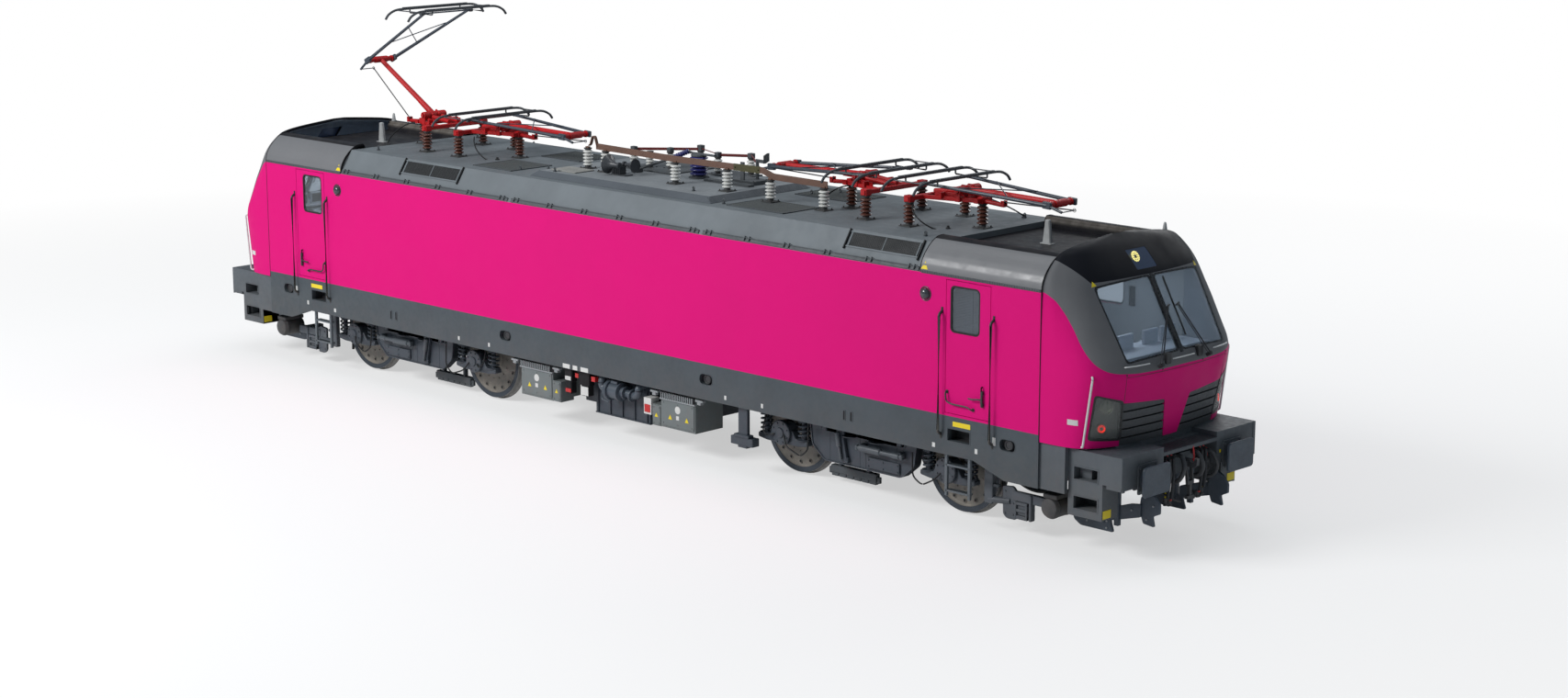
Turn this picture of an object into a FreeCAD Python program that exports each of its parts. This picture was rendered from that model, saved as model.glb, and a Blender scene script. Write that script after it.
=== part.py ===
"""Four-axle electric locomotive with two cabs and four roof pantographs.

Millimetres, +X to the leading cab, +Y left, +Z up. Heights in the tables are measured from the rail head;
save() lifts every shape by the flange depth, so the wheel flanges' tips lie at z = 0.
"""
import FreeCAD
import Part
import math
import os

V = FreeCAD.Vector

# ---------------------------------------------------------------- driving dimensions
FLANGE = 30.0                   # flange depth below the rail head
HALF_W = 1506.0                 # body half-width
WALL_T = 60.0                   # whole side wall
SILL_Z = 1466.0                 # top of the sill, foot of the side wall
SILL_LOW = 950.0                # lower edge of the sill
SILL_T = 80.0
GUTTER_Z = 3280.0               # top of the side wall
SEAM_CAB = 8100.0               # side wall meets the cab nose
NOSE_X = SEAM_CAB + 1100.0      # foremost line of the nose
OVERALL_X = NOSE_X + 290.0      # buffer faces, from the middle
SEAM_ROOF = 6110.0              # cab roof meets the middle roof
ROOF_Z = GUTTER_Z + 360.0       # flat of the middle roof
TRAY_Z = ROOF_Z - 80.0          # tray between the parapets of a cab roof
PARAPET_Z = ROOF_Z + 102.0
PARAPET_Y = HALF_W - 386.0      # outer edge of a parapet's top
NOSE_LOW = SILL_Z - 89.0        # lower edge of the nose, which the floor shelf carries
GAP = 0.3                       # seated pieces
RUN = 0.1                       # running fit, radial
CLEAR = 8.0                     # round a door leaf
BOGIE_X = 4800.0                # bogie pivots
AXLE_X = 1500.0                 # axles, from the bogie pivot
WHEEL_R = 625.0
WHEEL_IN = 680.0                # back of the wheel, from the middle
WHEEL_OUT = 815.0               # outer face of the tyre
JOURNAL_R = 75.0
PIN_R = 150.0                   # bogie pivot pin
BUFFER_Y = 885.0
BUFFER_Z = 1025.0


# ---------------------------------------------------------------- small makers
def box(x0, x1, y0, y1, z0, z1):
    return Part.makeBox(x1 - x0, y1 - y0, z1 - z0, V(x0, y0, z0))


def rod(a, b, r):
    a = V(*a)
    d = V(*b) - a
    return Part.makeCylinder(r, d.Length, a, d)


def prism(points, axis, lo, hi):
    """Polygon in the plane square to the axis, carried from lo to hi along it."""
    place = {"x": lambda p: V(lo, p[0], p[1]), "y": lambda p: V(p[0], lo, p[1]),
             "z": lambda p: V(p[0], p[1], lo)}[axis]
    way = {"x": V(1, 0, 0), "y": V(0, 1, 0), "z": V(0, 0, 1)}[axis]
    face = Part.Face(Part.makePolygon([place(p) for p in points] + [place(points[0])]))
    return face.extrude(way * (hi - lo))


def turned(profile, at, axis):
    """Profile of (radius, along) pairs turned about the axis through at."""
    wire = Part.makePolygon([V(r, 0, s) for r, s in profile + profile[:1]])
    solid = Part.Face(wire).revolve(V(0, 0, 0), V(0, 0, 1), 360)
    spin = {"z": FreeCAD.Rotation(), "y": FreeCAD.Rotation(V(1, 0, 0), -90),
            "x": FreeCAD.Rotation(V(0, 1, 0), 90)}[axis]
    solid.Placement = FreeCAD.Placement(V(*at), spin)
    return solid


def bar(points, r):
    """Round bar through the points, mitred by balls at the bends."""
    out = [rod(a, b, r) for a, b in zip(points, points[1:])]
    out += [Part.makeSphere(r, V(*p)) for p in points[1:-1]]
    return fuse(out)


def fuse(shapes):
    return shapes[0].multiFuse(shapes[1:]).removeSplitter() if len(shapes) > 1 else shapes[0]


def flip_x(shape):
    return shape.mirror(V(0, 0, 0), V(1, 0, 0))


def flip_y(shape):
    return shape.mirror(V(0, 0, 0), V(0, 1, 0))


def both_x(shapes):
    return shapes + [flip_x(s) for s in shapes]


def both_y(shapes):
    return shapes + [flip_y(s) for s in shapes]


def save(name, shapes):
    solids = [s for shape in shapes for s in shape.Solids]
    for s in solids:
        s.translate(V(0, 0, FLANGE))
    whole = solids[0] if len(solids) == 1 else Part.makeCompound(solids)
    bad = "" if whole.isValid() else "  NOT VALID"
    b = whole.BoundBox
    print("%-20s %2d solids x %.0f..%.0f y %.0f..%.0f z %.0f..%.0f%s" % (
        name, len(solids), b.XMin, b.XMax, b.YMin, b.YMax, b.ZMin, b.ZMax, bad))
    whole.exportStep("parts/" + name + ".step")


os.makedirs("parts", exist_ok=True)

# ---------------------------------------------------------------- cab nose surface
# plan outline of the nose as shares of its length and half-width: low part, roof part
#        low x, low y, roof x, roof y
PLAN = [(0.000, 1.000, 0.000, 1.000),
        (0.350, 1.000, 0.189, 0.978),
        (0.618, 0.998, 0.349, 0.941),
        (0.698, 0.933, 0.490, 0.870),
        (0.825, 0.800, 0.623, 0.802),
        (0.918, 0.693, 0.811, 0.707),
        (0.968, 0.533, 0.943, 0.543),
        (0.991, 0.267, 0.985, 0.272)]
# height, behind the foremost line, inside the half-width at the seam, share of the roof outline
LEVELS = [(NOSE_LOW, 195, 6, 0.00),
          (SILL_Z + 434, 85, 4, 0.00),
          (SILL_Z + 834, 0, 4, 0.00),
          (SILL_Z + 974, 35, 4, 0.03),
          (SILL_Z + 1484, 325, 7, 0.40),
          (GUTTER_Z, 508, 14, 0.85),
          (GUTTER_Z + 120, 570, 34, 1.00),
          (GUTTER_Z + 250, 680, 111, 1.00),
          (GUTTER_Z + 370, 795, 236, 1.00),
          (GUTTER_Z + 470, 900, 386, 1.00),
          (GUTTER_Z + 520, 975, 786, 1.00),
          (GUTTER_Z + 570, 1060, 1356, 1.00)]


def nose_outline(z, front, half, roof, inset, rear):
    pts = []
    for lx, ly, rx, ry in PLAN:
        share_x = lx + (rx - lx) * roof
        share_y = ly + (ry - ly) * roof
        pts.append((SEAM_CAB + share_x * (front - inset - SEAM_CAB), share_y * (half - inset)))
    pts[0] = (rear, pts[0][1])
    tip = [(front - inset, 0.0)]
    ring = pts + tip + [(x, -y) for x, y in reversed(pts)]
    return Part.makePolygon([V(x, y, z) for x, y in ring + ring[:1]])


def nose_body(inset, z_low, rear):
    rows = [(z, NOSE_X - back, HALF_W - narrow, roof) for z, back, narrow, roof in LEVELS]
    rows = [(z_low,) + rows[0][1:]] + rows[1:]
    rows = [r for r in rows if r[2] - inset > 60]
    wires = [nose_outline(z if k == 0 else z - inset, f, h, q, inset, rear)
             for k, (z, f, h, q) in enumerate(rows)]
    return Part.makeLoft(wires, True, True)


NOSE_T = 60.0
ROOF_T = 40.0
nose_outer = nose_body(0.0, NOSE_LOW, SEAM_CAB)
nose_room = nose_body(NOSE_T, NOSE_LOW - 5.0, SEAM_CAB - 5.0)
back_wall = box(SEAM_CAB - 10, SEAM_CAB + NOSE_T, -HALF_W, HALF_W, TRAY_Z - ROOF_T, PARAPET_Z + 200)
nose_shell = nose_outer.cut(nose_room.cut(back_wall))

# windscreen: two openings square to the sloping front
SCREEN_LOW = (NOSE_X - 40, SILL_Z + 1017)       # x, z on the middle line
SCREEN_TOP = (NOSE_X - 558, GUTTER_Z + 105)
slope = V(SCREEN_TOP[0] - SCREEN_LOW[0], 0, SCREEN_TOP[1] - SCREEN_LOW[1])
SCREEN_L = slope.Length
along = slope.normalize()
outward = V(along.z, 0, -along.x)
# y at the foot, y at the top of one pane's edges
PANE = [(28.0, 28.0), (HALF_W - 491, HALF_W - 471)]
SCREEN_DEEP = 260.0             # the cutting prism runs from here below the slope
SCREEN_PROUD = 60.0             # to here above it


def screen_prism(grow, depth0, depth1):
    foot = V(SCREEN_LOW[0], 0, SCREEN_LOW[1])
    ring = []
    for s, k in ((0.0 - grow, 0), (SCREEN_L + grow, 1)):
        pair = [PANE[0][k] - grow, PANE[1][k] + grow]
        ring.append([foot + along * s + V(0, y, 0) + outward * depth0 for y in pair])
    pts = [ring[0][0], ring[0][1], ring[1][1], ring[1][0]]
    face = Part.Face(Part.makePolygon(pts + pts[:1]))
    return face.extrude(outward * (depth1 - depth0))


for tool in both_y([screen_prism(0.0, -SCREEN_DEEP, SCREEN_PROUD)]):
    nose_shell = nose_shell.cut(tool)


def nose_layer(outer, inner):
    """The part of the nose's wall between two depths below its skin."""
    return nose_body(outer, NOSE_LOW, SEAM_CAB).cut(nose_body(inner, NOSE_LOW - 5, SEAM_CAB - 5))


glass_skin = nose_layer(6.0, 18.0)
panes = [glass_skin.common(t) for t in both_y([screen_prism(-GAP, -SCREEN_DEEP, SCREEN_PROUD)])]

# lamp units and grilles let into the nose: y0, y1, z0, z1 of the openings
LAMP = (HALF_W - 476, HALF_W - 106, SILL_Z - 11, SILL_Z + 519)
GRILLE = (150.0, HALF_W - 491, SILL_Z - 66, SILL_Z + 459)
SLATS = 5
SLAT_GAP = 24.0
TOP_LAMP = (-250.0, 250.0, GUTTER_Z + 140, GUTTER_Z + 400)
LET_IN_X = (NOSE_X - 700, NOSE_X + 100)         # reach of the prisms that cut these openings


def lamp_prism(grow):
    y0, y1, z0, z1 = LAMP
    pts = [(y0 - grow, z0 - grow), (y1 - 20 + grow, z0 - grow), (y1 + grow, z1 + grow),
           (y0 + 40 - grow, z1 - 40 + grow)]
    return prism(pts, "x", *LET_IN_X)


def grille_prism(grow):
    y0, y1, z0, z1 = GRILLE
    pts = [(y0 - grow, z0 - grow), (y1 - 60 + grow, z0 - grow), (y1 + grow, z1 + grow),
           (y0 + 140 - grow, z1 - 60 + grow)]
    return prism(pts, "x", *LET_IN_X)


def top_lamp_prism(grow):
    y0, y1, z0, z1 = TOP_LAMP
    return box(NOSE_X - 1000, NOSE_X - 400, y0 - grow, y1 + grow, z0 - grow, z1 + grow)


for tool in both_y([lamp_prism(0.0), grille_prism(0.0)]) + [top_lamp_prism(0.0)]:
    nose_shell = nose_shell.cut(tool)

lamp_skin = nose_layer(4.0, NOSE_T - 5)
lamps = [lamp_skin.common(t) for t in both_y([lamp_prism(-GAP)]) + [top_lamp_prism(-GAP)]]
pitch = (GRILLE[3] - GRILLE[2]) / SLATS
slat_boxes = []
for k in range(SLATS):
    slat_low = GRILLE[2] + k * pitch + SLAT_GAP / 2
    slat_boxes.append(box(LET_IN_X[0], LET_IN_X[1], 100, HALF_W, slat_low, slat_low + pitch - SLAT_GAP))
slat_layer = nose_layer(8.0, 42.0)
grille = fuse([nose_layer(40.0, NOSE_T)] + [slat_layer.common(b) for b in slat_boxes])
grille = grille.common(grille_prism(-GAP))
grilles = both_y([grille])

# bosses that carry the handrail at each nose corner: x, z
RAIL_BOSS_Y = HALF_W - 106.0
RAIL_BOSS = [(NOSE_X - 426, SILL_Z - 36), (NOSE_X - 293, SILL_Z + 834)]
BOSS_HALF = 20.0
for bx, bz in RAIL_BOSS:
    for boss in both_y([box(bx - BOSS_HALF, bx + BOSS_HALF, RAIL_BOSS_Y - 100, RAIL_BOSS_Y, bz - BOSS_HALF,
                            bz + BOSS_HALF)]):
        nose_shell = nose_shell.fuse(boss)
save("cab_noses", both_x([nose_shell]))
save("windscreens", both_x(panes))
save("lamp_units", both_x(lamps))
save("nose_grilles", both_x(grilles))

# ---------------------------------------------------------------- underframe: floor, sills, pivot pins
VALANCE_LOW = 775.0
FLOOR_LOW = 1366.0
SHELF_LOW = 1300.0              # under side of the floor below the cab noses
DROP_X = (SEAM_CAB - 1070, SEAM_CAB - 550)      # the sill's lower edge slopes down between these
sill_edge = [(SEAM_CAB, SILL_Z), (SEAM_CAB, VALANCE_LOW), (DROP_X[1], VALANCE_LOW), (DROP_X[0], SILL_LOW)]
sill_side = prism(sill_edge + [(-x, z) for x, z in reversed(sill_edge)], "y", HALF_W - SILL_T, HALF_W)
# jacking holes in the sill: x, half-length, half-height
JACK_Z = 1242.0
JACK = [(SEAM_CAB - 500, 130, 78), (2155.0, 130, 78)]
for x, a, b in JACK + [(-x, a, b) for x, a, b in JACK]:
    hole = box(x - a + b, x + a - b, HALF_W - SILL_T - 1, HALF_W + 1, JACK_Z - b, JACK_Z + b)
    ends = [rod((x + s * (a - b), HALF_W - SILL_T - 1, JACK_Z), (x + s * (a - b), HALF_W + 1, JACK_Z), b)
            for s in (-1, 1)]
    sill_side = sill_side.cut(fuse([hole] + ends))
# step recess below each door: x0, x1, z0, z1
RECESS = (SEAM_CAB - 1500, SEAM_CAB - 1120, SILL_Z - 326, SILL_Z - 160)
for s in (-1, 1):
    xs = sorted([s * RECESS[0], s * RECESS[1]])
    sill_side = sill_side.cut(box(xs[0], xs[1], HALF_W - SILL_T - 1, HALF_W + 1, RECESS[2], RECESS[3]))
floor = box(-SEAM_CAB, SEAM_CAB, -HALF_W + SILL_T, HALF_W - SILL_T, FLOOR_LOW, SILL_Z)
PIN_LOW = 430.0
pins = [rod((x, 0, PIN_LOW), (x, 0, FLOOR_LOW), PIN_R) for x in (-BOGIE_X, BOGIE_X)]
shelf = box(SEAM_CAB - 60, NOSE_X - 260, -HALF_W + 486, HALF_W - 486, SHELF_LOW, NOSE_LOW)
shelf_side = box(SEAM_CAB - 60, NOSE_X - 640, -HALF_W + 106, HALF_W - 106, SHELF_LOW, NOSE_LOW)
floor = fuse([floor] + both_x([shelf, shelf_side]))
save("floor_frame", [floor])
save("side_sills", both_y([sill_side]))
save("bogie_pins", pins)

# ---------------------------------------------------------------- headstocks: buffer boxes, step panels
BOX_Y = (560.0, HALF_W - 106.0)
BOX_X = (NOSE_X - 700, OVERALL_X - 160)
BOX_Z = (BUFFER_Z - 50, NOSE_LOW - 21)
BEAM_X = NOSE_X - 150           # front of the middle beam
BEAM_LOW = 930.0
side_box = box(BOX_X[0], BOX_X[1], BOX_Y[0], BOX_Y[1], BOX_Z[0], BOX_Z[1])
STEP_X = (BOX_X[0], BOX_X[0] + 535)
STEP_LOW = 505.0
STEP_IN = BOX_Y[1] - 320        # treads reach in to here
PANEL_T = 40.0
TREAD_Z = (575.0, 600.0)
panel = box(STEP_X[0], STEP_X[1], BOX_Y[1] - PANEL_T, BOX_Y[1], STEP_LOW, BOX_Z[0])
tread_low = box(STEP_X[0], STEP_X[1], STEP_IN, BOX_Y[1] - PANEL_T, TREAD_Z[0], TREAD_Z[1])
tread_back = box(STEP_X[0], STEP_X[0] + PANEL_T, STEP_IN, BOX_Y[1], STEP_LOW, BOX_Z[0])
# step windows in the panel, and in the box above it: low and top
WINDOW_LENGTH = (STEP_X[0] + 90, STEP_X[1] - 75)
for z0, z1 in [(BOX_Z[0], BOX_Z[0] + 170), (TREAD_Z[1], TREAD_Z[1] + 165)]:
    cut_out = box(WINDOW_LENGTH[0], WINDOW_LENGTH[1], BOX_Y[1] - 250, BOX_Y[1] + 10, z0 - 1, z1)
    panel = panel.cut(cut_out)
    side_box = side_box.cut(cut_out)
panel = panel.fuse(tread_low)
beam = box(SEAM_CAB + 5, BEAM_X, -BOX_Y[0], BOX_Y[0], BEAM_LOW, SHELF_LOW)
draw_box = box(BEAM_X, OVERALL_X - 250, -190, 190, BEAM_LOW, BEAM_LOW + 250)
walk = box(BEAM_X, BOX_X[1], -BOX_Y[0], BOX_Y[0], SHELF_LOW - 60, SHELF_LOW - 15)
valance = box(SEAM_CAB, BOX_X[0], HALF_W - 93, HALF_W - 33, VALANCE_LOW, NOSE_LOW)
valance_in = box(SEAM_CAB, BOX_X[0], BOX_Y[1] - 70, HALF_W - 93, BOX_Z[0] + 25, SHELF_LOW)
headstock = fuse([beam, draw_box, walk] + both_y([side_box, panel, tread_back, valance, valance_in]))
headstock = headstock.cut(floor)
save("headstocks", both_x([headstock]))

# ---------------------------------------------------------------- side walls with door openings
DOOR_X = (SEAM_CAB - 1540, SEAM_CAB - 810)
DOOR_Z = (SILL_Z + 42, GUTTER_Z - 45)
wall = box(-SEAM_CAB, SEAM_CAB, HALF_W - WALL_T, HALF_W, SILL_Z, GUTTER_Z)
for s in (-1, 1):
    xs = sorted([s * DOOR_X[0], s * DOOR_X[1]])
    wall = wall.cut(box(xs[0] - CLEAR, xs[1] + CLEAR, HALF_W - WALL_T - 1, HALF_W + 1, DOOR_Z[0] - CLEAR,
                        DOOR_Z[1] + CLEAR))
# door hinges on the inner face: lugs and pin on the wall, knuckle and strap on the leaf
HINGE_X = DOOR_X[0] + 2
HINGE_Y = HALF_W - WALL_T - 6
HINGE_Z = (DOOR_Z[0] + 142, (DOOR_Z[0] + DOOR_Z[1]) / 2, DOOR_Z[1] - 185)
LUG_IN_X = HINGE_X + 9          # the lugs reach back over the wall from here
LUG_BACK = 60.0
KNUCKLE_R = 10.0
KNUCKLE_H = 28.0                # half height
LUG_H = 18.0
HINGE_PIN_R = 5.0
for hz in HINGE_Z:
    pin_low = hz - KNUCKLE_H - LUG_H
    pin_top = hz + KNUCKLE_H + LUG_H
    hinge = [rod((HINGE_X, HINGE_Y, pin_low), (HINGE_X, HINGE_Y, pin_top), HINGE_PIN_R)]
    for z0 in (pin_low, hz + KNUCKLE_H + 2):
        hinge.append(box(HINGE_X - LUG_BACK, LUG_IN_X, HINGE_Y - 9, HALF_W - WALL_T, z0, z0 + LUG_H - 2))
    hinge = fuse(hinge)
    wall = fuse([wall, hinge, flip_x(hinge)])
save("side_walls", both_y([wall]))

# ---------------------------------------------------------------- doors: one leaf each, window cut
DOOR_T = 50.0
WINDOW_X = (DOOR_X[0] + 65, DOOR_X[1] - 170)
WINDOW_Z = (DOOR_Z[1] - 672, DOOR_Z[1] - 60)
WINDOW_R = 70.0


def round_box_y(x0, x1, z0, z1, y0, y1, r):
    b = box(x0, x1, y0, y1, z0, z1)
    return b.makeFillet(r, [e for e in b.Edges if abs(e.Vertexes[0].Y - e.Vertexes[1].Y) > 1])


leaf = box(DOOR_X[0], DOOR_X[1], HALF_W - DOOR_T, HALF_W, DOOR_Z[0], DOOR_Z[1])
leaf = leaf.cut(round_box_y(WINDOW_X[0], WINDOW_X[1], WINDOW_Z[0], WINDOW_Z[1], HALF_W - DOOR_T - 1,
                            HALF_W + 1, WINDOW_R))
HANDLE_X = DOOR_X[1] - 110
HANDLE_Z = (DOOR_Z[0] + 252, DOOR_Z[0] + 422)
HANDLE_OUT = HALF_W + 28
handle = bar([(HANDLE_X, HALF_W - 2, HANDLE_Z[1]), (HANDLE_X, HANDLE_OUT, HANDLE_Z[1]),
              (HANDLE_X, HANDLE_OUT, HANDLE_Z[0]), (HANDLE_X, HALF_W - 2, HANDLE_Z[0])], 9)
knuckles = []
for hz in HINGE_Z:
    knuckle = fuse([rod((HINGE_X, HINGE_Y, hz - KNUCKLE_H), (HINGE_X, HINGE_Y, hz + KNUCKLE_H), KNUCKLE_R),
                    box(HINGE_X, HINGE_X + 40, HINGE_Y, HALF_W - DOOR_T, hz - KNUCKLE_H, hz + KNUCKLE_H)])
    bore = rod((HINGE_X, HINGE_Y, hz - 60), (HINGE_X, HINGE_Y, hz + 60), HINGE_PIN_R + RUN)
    knuckles.append(knuckle.cut(bore))
leaf = fuse([leaf, handle] + knuckles)
save("door_front_left", [leaf])
save("door_front_right", [flip_y(leaf)])
save("door_rear_left", [flip_x(leaf)])
save("door_rear_right", [flip_x(flip_y(leaf))])

# ---------------------------------------------------------------- roofs
# outer half section of the cab roof, with the parapet and the tray's edge: inside the half-width, height
CAB_ROOF = [(0, GUTTER_Z), (14, GUTTER_Z + 95), (44, GUTTER_Z + 165), (101, GUTTER_Z + 250),
            (171, GUTTER_Z + 320), (236, GUTTER_Z + 375), (386, PARAPET_Z), (466, PARAPET_Z), (506, TRAY_Z)]
CAB_ROOF_IN = [(60, GUTTER_Z), (72, GUTTER_Z + 80), (96, GUTTER_Z + 140), (146, GUTTER_Z + 215),
               (170, TRAY_Z - ROOF_T)]


def across(rows, clearance=0.0):
    """A closed section from its half: rows of (inside the half-width, height), both sides."""
    half = [(HALF_W - inside - clearance, z - clearance) for inside, z in rows]
    half[0] = (half[0][0], rows[0][1])
    return half + [(-y, z) for y, z in reversed(half)]


cab_roof = prism(across(CAB_ROOF), "x", SEAM_ROOF, SEAM_CAB).cut(
    prism(across(CAB_ROOF_IN), "x", SEAM_ROOF - 1, SEAM_CAB + 1))
save("cab_roofs", both_x([cab_roof]))

SLOPE_TOP = HALF_W - 231.0
mid = [(HALF_W, GUTTER_Z), (SLOPE_TOP, ROOF_Z)]
mid_in = [(HALF_W - WALL_T, GUTTER_Z), (SLOPE_TOP - 40, ROOF_Z - ROOF_T)]
mid_ring = mid + [(-y, z) for y, z in reversed(mid)]
mid_ring_in = mid_in + [(-y, z) for y, z in reversed(mid_in)]
mid_roof = prism(mid_ring, "x", -SEAM_ROOF, SEAM_ROOF).cut(
    prism(mid_ring_in, "x", -SEAM_ROOF + ROOF_T, SEAM_ROOF - ROOF_T))
save("middle_roof", [mid_roof])

# hatch deck and walk plates on the flat of the roof: x0, x1, y0, y1, height
DECK = [(-1980, 1860, -1110, 900, 80)]
deck = [box(x0, x1, y0, y1, ROOF_Z, ROOF_Z + h) for x0, x1, y0, y1, h in DECK]
# mesh hatches: x0, x1, y0, y1, height
HATCHES = [(2100, 3210, -1040, -330, 12), (-3390, -2490, -1040, -230, 12), (2100, 3210, 330, 1040, 12),
           (-3390, -2490, 330, 1040, 12)]
for x0, x1, y0, y1, h in HATCHES:
    deck.append(box(x0, x1, y0, y1, ROOF_Z, ROOF_Z + h))
save("roof_deck", deck)
DECK_Z = ROOF_Z + 80.0

# ---------------------------------------------------------------- cab rooms: bulkhead, desk, seat
bulkhead = prism(across([(WALL_T, SILL_Z)] + CAB_ROOF_IN, GAP), "x", SEAM_ROOF + 270, SEAM_ROOF + 330)
save("cab_bulkheads", both_x([bulkhead]))
DESK_X = (SEAM_CAB - 20, NOSE_X - 340)
DESK_TOP = SILL_Z + 814
desk = prism([(DESK_X[0], SILL_Z), (SEAM_CAB + GAP, SILL_Z), (SEAM_CAB + GAP, NOSE_LOW),
              (DESK_X[1], NOSE_LOW), (DESK_X[1], DESK_TOP + 140), (DESK_X[1] - 440, DESK_TOP + 90),
              (DESK_X[0] - 30, DESK_TOP), (DESK_X[0], DESK_TOP - 130)], "y", -HALF_W + 526, HALF_W - 526)
knee_space = box(DESK_X[0] - 80, DESK_X[0] + 420, -420, 420, NOSE_LOW - 1, DESK_TOP - 150)
desk = desk.cut(knee_space)
save("cab_desks", both_x([desk]))
SEAT_X = SEAM_CAB - 450
SEAT_Z = SILL_Z + 464           # under side of the cushion
seat = fuse([box(SEAT_X - 230, SEAT_X + 250, -240, 240, SEAT_Z, SEAT_Z + 100),
             box(SEAT_X - 250, SEAT_X - 170, -220, 220, SEAT_Z + 100, SEAT_Z + 750),
             rod((SEAT_X, 0, SILL_Z + 20), (SEAT_X, 0, SEAT_Z + 5), 60),
             rod((SEAT_X, 0, SILL_Z), (SEAT_X, 0, SILL_Z + 25), 210)])
save("cab_seats", both_x([seat]))

# ---------------------------------------------------------------- under the floor: transformer and boxes
TANK_LOW = 305.0
TANK_Y = HALF_W - 266.0
GEAR_Y = HALF_W - 106.0         # outer faces of the boxes
tank = fuse([box(-430, 730, -TANK_Y, TANK_Y, TANK_LOW, FLOOR_LOW),
             box(-1150, 1080, -TANK_Y + 440, TANK_Y - 440, TANK_LOW, FLOOR_LOW)])
save("transformer", [tank])
# boxes beside it: x0, x1, inside the outer faces, z0, z1
GEAR = [(-1920, -1205, 540, 375, FLOOR_LOW), (-1205, -1030, 250, 380, 690),
        (1130, 1830, 540, 385, FLOOR_LOW), (950, 1130, 250, 380, 690)]
gear_boxes = []
for x0, x1, deep, z0, z1 in GEAR:
    gear_boxes += both_y([box(x0, x1, GEAR_Y - deep, GEAR_Y, z0, z1)])
save("equipment_boxes", gear_boxes)
# cooling pumps on the tank's faces: x0, x1, z, r
PUMP_Y = TANK_Y + 115
pumps = []
for x0, x1, z, r in [(-160, 260, 720, 90), (330, 620, 690, 90)]:
    pumps += both_y([fuse([rod((x0, PUMP_Y, z), (x1, PUMP_Y, z), r),
                           rod((x0 + 40, PUMP_Y, z), (x0 + 90, PUMP_Y, z), r + 22),
                           box(x0 + 60, x0 + 120, TANK_Y, PUMP_Y, z - 40, z + 40)])])
save("cooling_pumps", pumps)
save("converter_block", [box(-3900, 3900, -HALF_W + 656, HALF_W - 656, SILL_Z, GUTTER_Z - 30)])

# ---------------------------------------------------------------- ladders and handrails
LADDER_X = (RECESS[0] - 45, RECESS[1] - 35)
LADDER_Y = (HALF_W - 70, HALF_W - 30)
LADDER_LOW = 396.0
TREADS = (467.0, 808.0)
stiles = [box(x - 20, x + 20, LADDER_Y[0], LADDER_Y[1], LADDER_LOW, SILL_LOW) for x in LADDER_X]
rungs = [box(LADDER_X[0], LADDER_X[1], LADDER_Y[0] - 50, LADDER_Y[1], z - 14, z + 14) for z in TREADS]
ladder = fuse(stiles + rungs)
save("ladders", both_x(both_y([ladder])))
RAIL_OUT = HALF_W + 62
RAIL_Z = (SILL_Z - 296, GUTTER_Z - 420)
rails = []
for x in (DOOR_X[0] - 70, DOOR_X[1] + 60):
    rails.append(bar([(x, HALF_W, RAIL_Z[0]), (x, RAIL_OUT, RAIL_Z[0]), (x, RAIL_OUT, RAIL_Z[1]),
                      (x, HALF_W, RAIL_Z[1])], 16))
(low_x, low_z), (top_x, top_z) = RAIL_BOSS
NOSE_RAIL_Y = HALF_W - 35
nose_rail = bar([(low_x, RAIL_BOSS_Y, low_z), (low_x, NOSE_RAIL_Y, low_z), (top_x, NOSE_RAIL_Y, top_z),
                 (top_x, RAIL_BOSS_Y, top_z)], 14)
save("handrails", both_x(both_y(rails + [nose_rail])))

# ---------------------------------------------------------------- buffers, couplings, rail guards
head = box(OVERALL_X - 45, OVERALL_X, -270, 270, -190, 190)
head = head.makeFillet(60, [e for e in head.Edges if abs(e.Vertexes[0].X - e.Vertexes[1].X) > 1])
head.translate(V(0, BUFFER_Y, BUFFER_Z))
stem = rod((BOX_X[1], BUFFER_Y, BUFFER_Z), (OVERALL_X - 40, BUFFER_Y, BUFFER_Z), 110)
buffer_one = fuse([head, stem, rod((BOX_X[1], BUFFER_Y, BUFFER_Z), (BOX_X[1] + 60, BUFFER_Y, BUFFER_Z), 150)])
save("buffers", both_x(both_y([buffer_one])))

HOOK_Z = BUFFER_Z + 35
HOOK_X = OVERALL_X - 250        # root of the hook, on the draw box
HOOK_T = 60.0
HOOK_PIN_X = HOOK_X + 60
hook = prism([(HOOK_X, HOOK_Z - 45), (HOOK_X + 160, HOOK_Z - 55), (HOOK_X + 210, HOOK_Z - 20),
              (HOOK_X + 215, HOOK_Z + 60), (HOOK_X + 175, HOOK_Z + 70), (HOOK_X + 165, HOOK_Z + 15),
              (HOOK_X + 120, HOOK_Z + 10), (HOOK_X + 90, HOOK_Z + 45), (HOOK_X, HOOK_Z + 45)],
             "y", -HOOK_T / 2, HOOK_T / 2)
hook = hook.cut(rod((HOOK_PIN_X, -40, HOOK_Z), (HOOK_PIN_X, 40, HOOK_Z), 20))
save("draw_hooks", both_x([hook]))
SHACKLE_LOW = HOOK_Z - 260
SHACKLE_X = HOOK_X + 95         # middle of the screw below the shackle
links = prism([(HOOK_PIN_X - 18, HOOK_Z + 18), (HOOK_PIN_X + 18, HOOK_Z + 18),
               (SHACKLE_X + 18, SHACKLE_LOW - 18), (SHACKLE_X - 18, SHACKLE_LOW - 18)], "y", -64, 64)
links = links.cut(box(HOOK_PIN_X - 100, HOOK_PIN_X + 100, -42, 42, SHACKLE_LOW + 26, HOOK_Z + 60))
links = links.fuse(rod((HOOK_PIN_X, -60, HOOK_Z), (HOOK_PIN_X, 60, HOOK_Z), 20 - RUN))
tail = box(SHACKLE_X - 23, SHACKLE_X + 17, -22, 22, SHACKLE_LOW - 200, SHACKLE_LOW)
tail = tail.fuse(box(SHACKLE_X - 27, SHACKLE_X + 21, -70, 70, SHACKLE_LOW - 204, SHACKLE_LOW - 164))
save("screw_couplings", both_x([fuse([links, tail])]))
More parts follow.
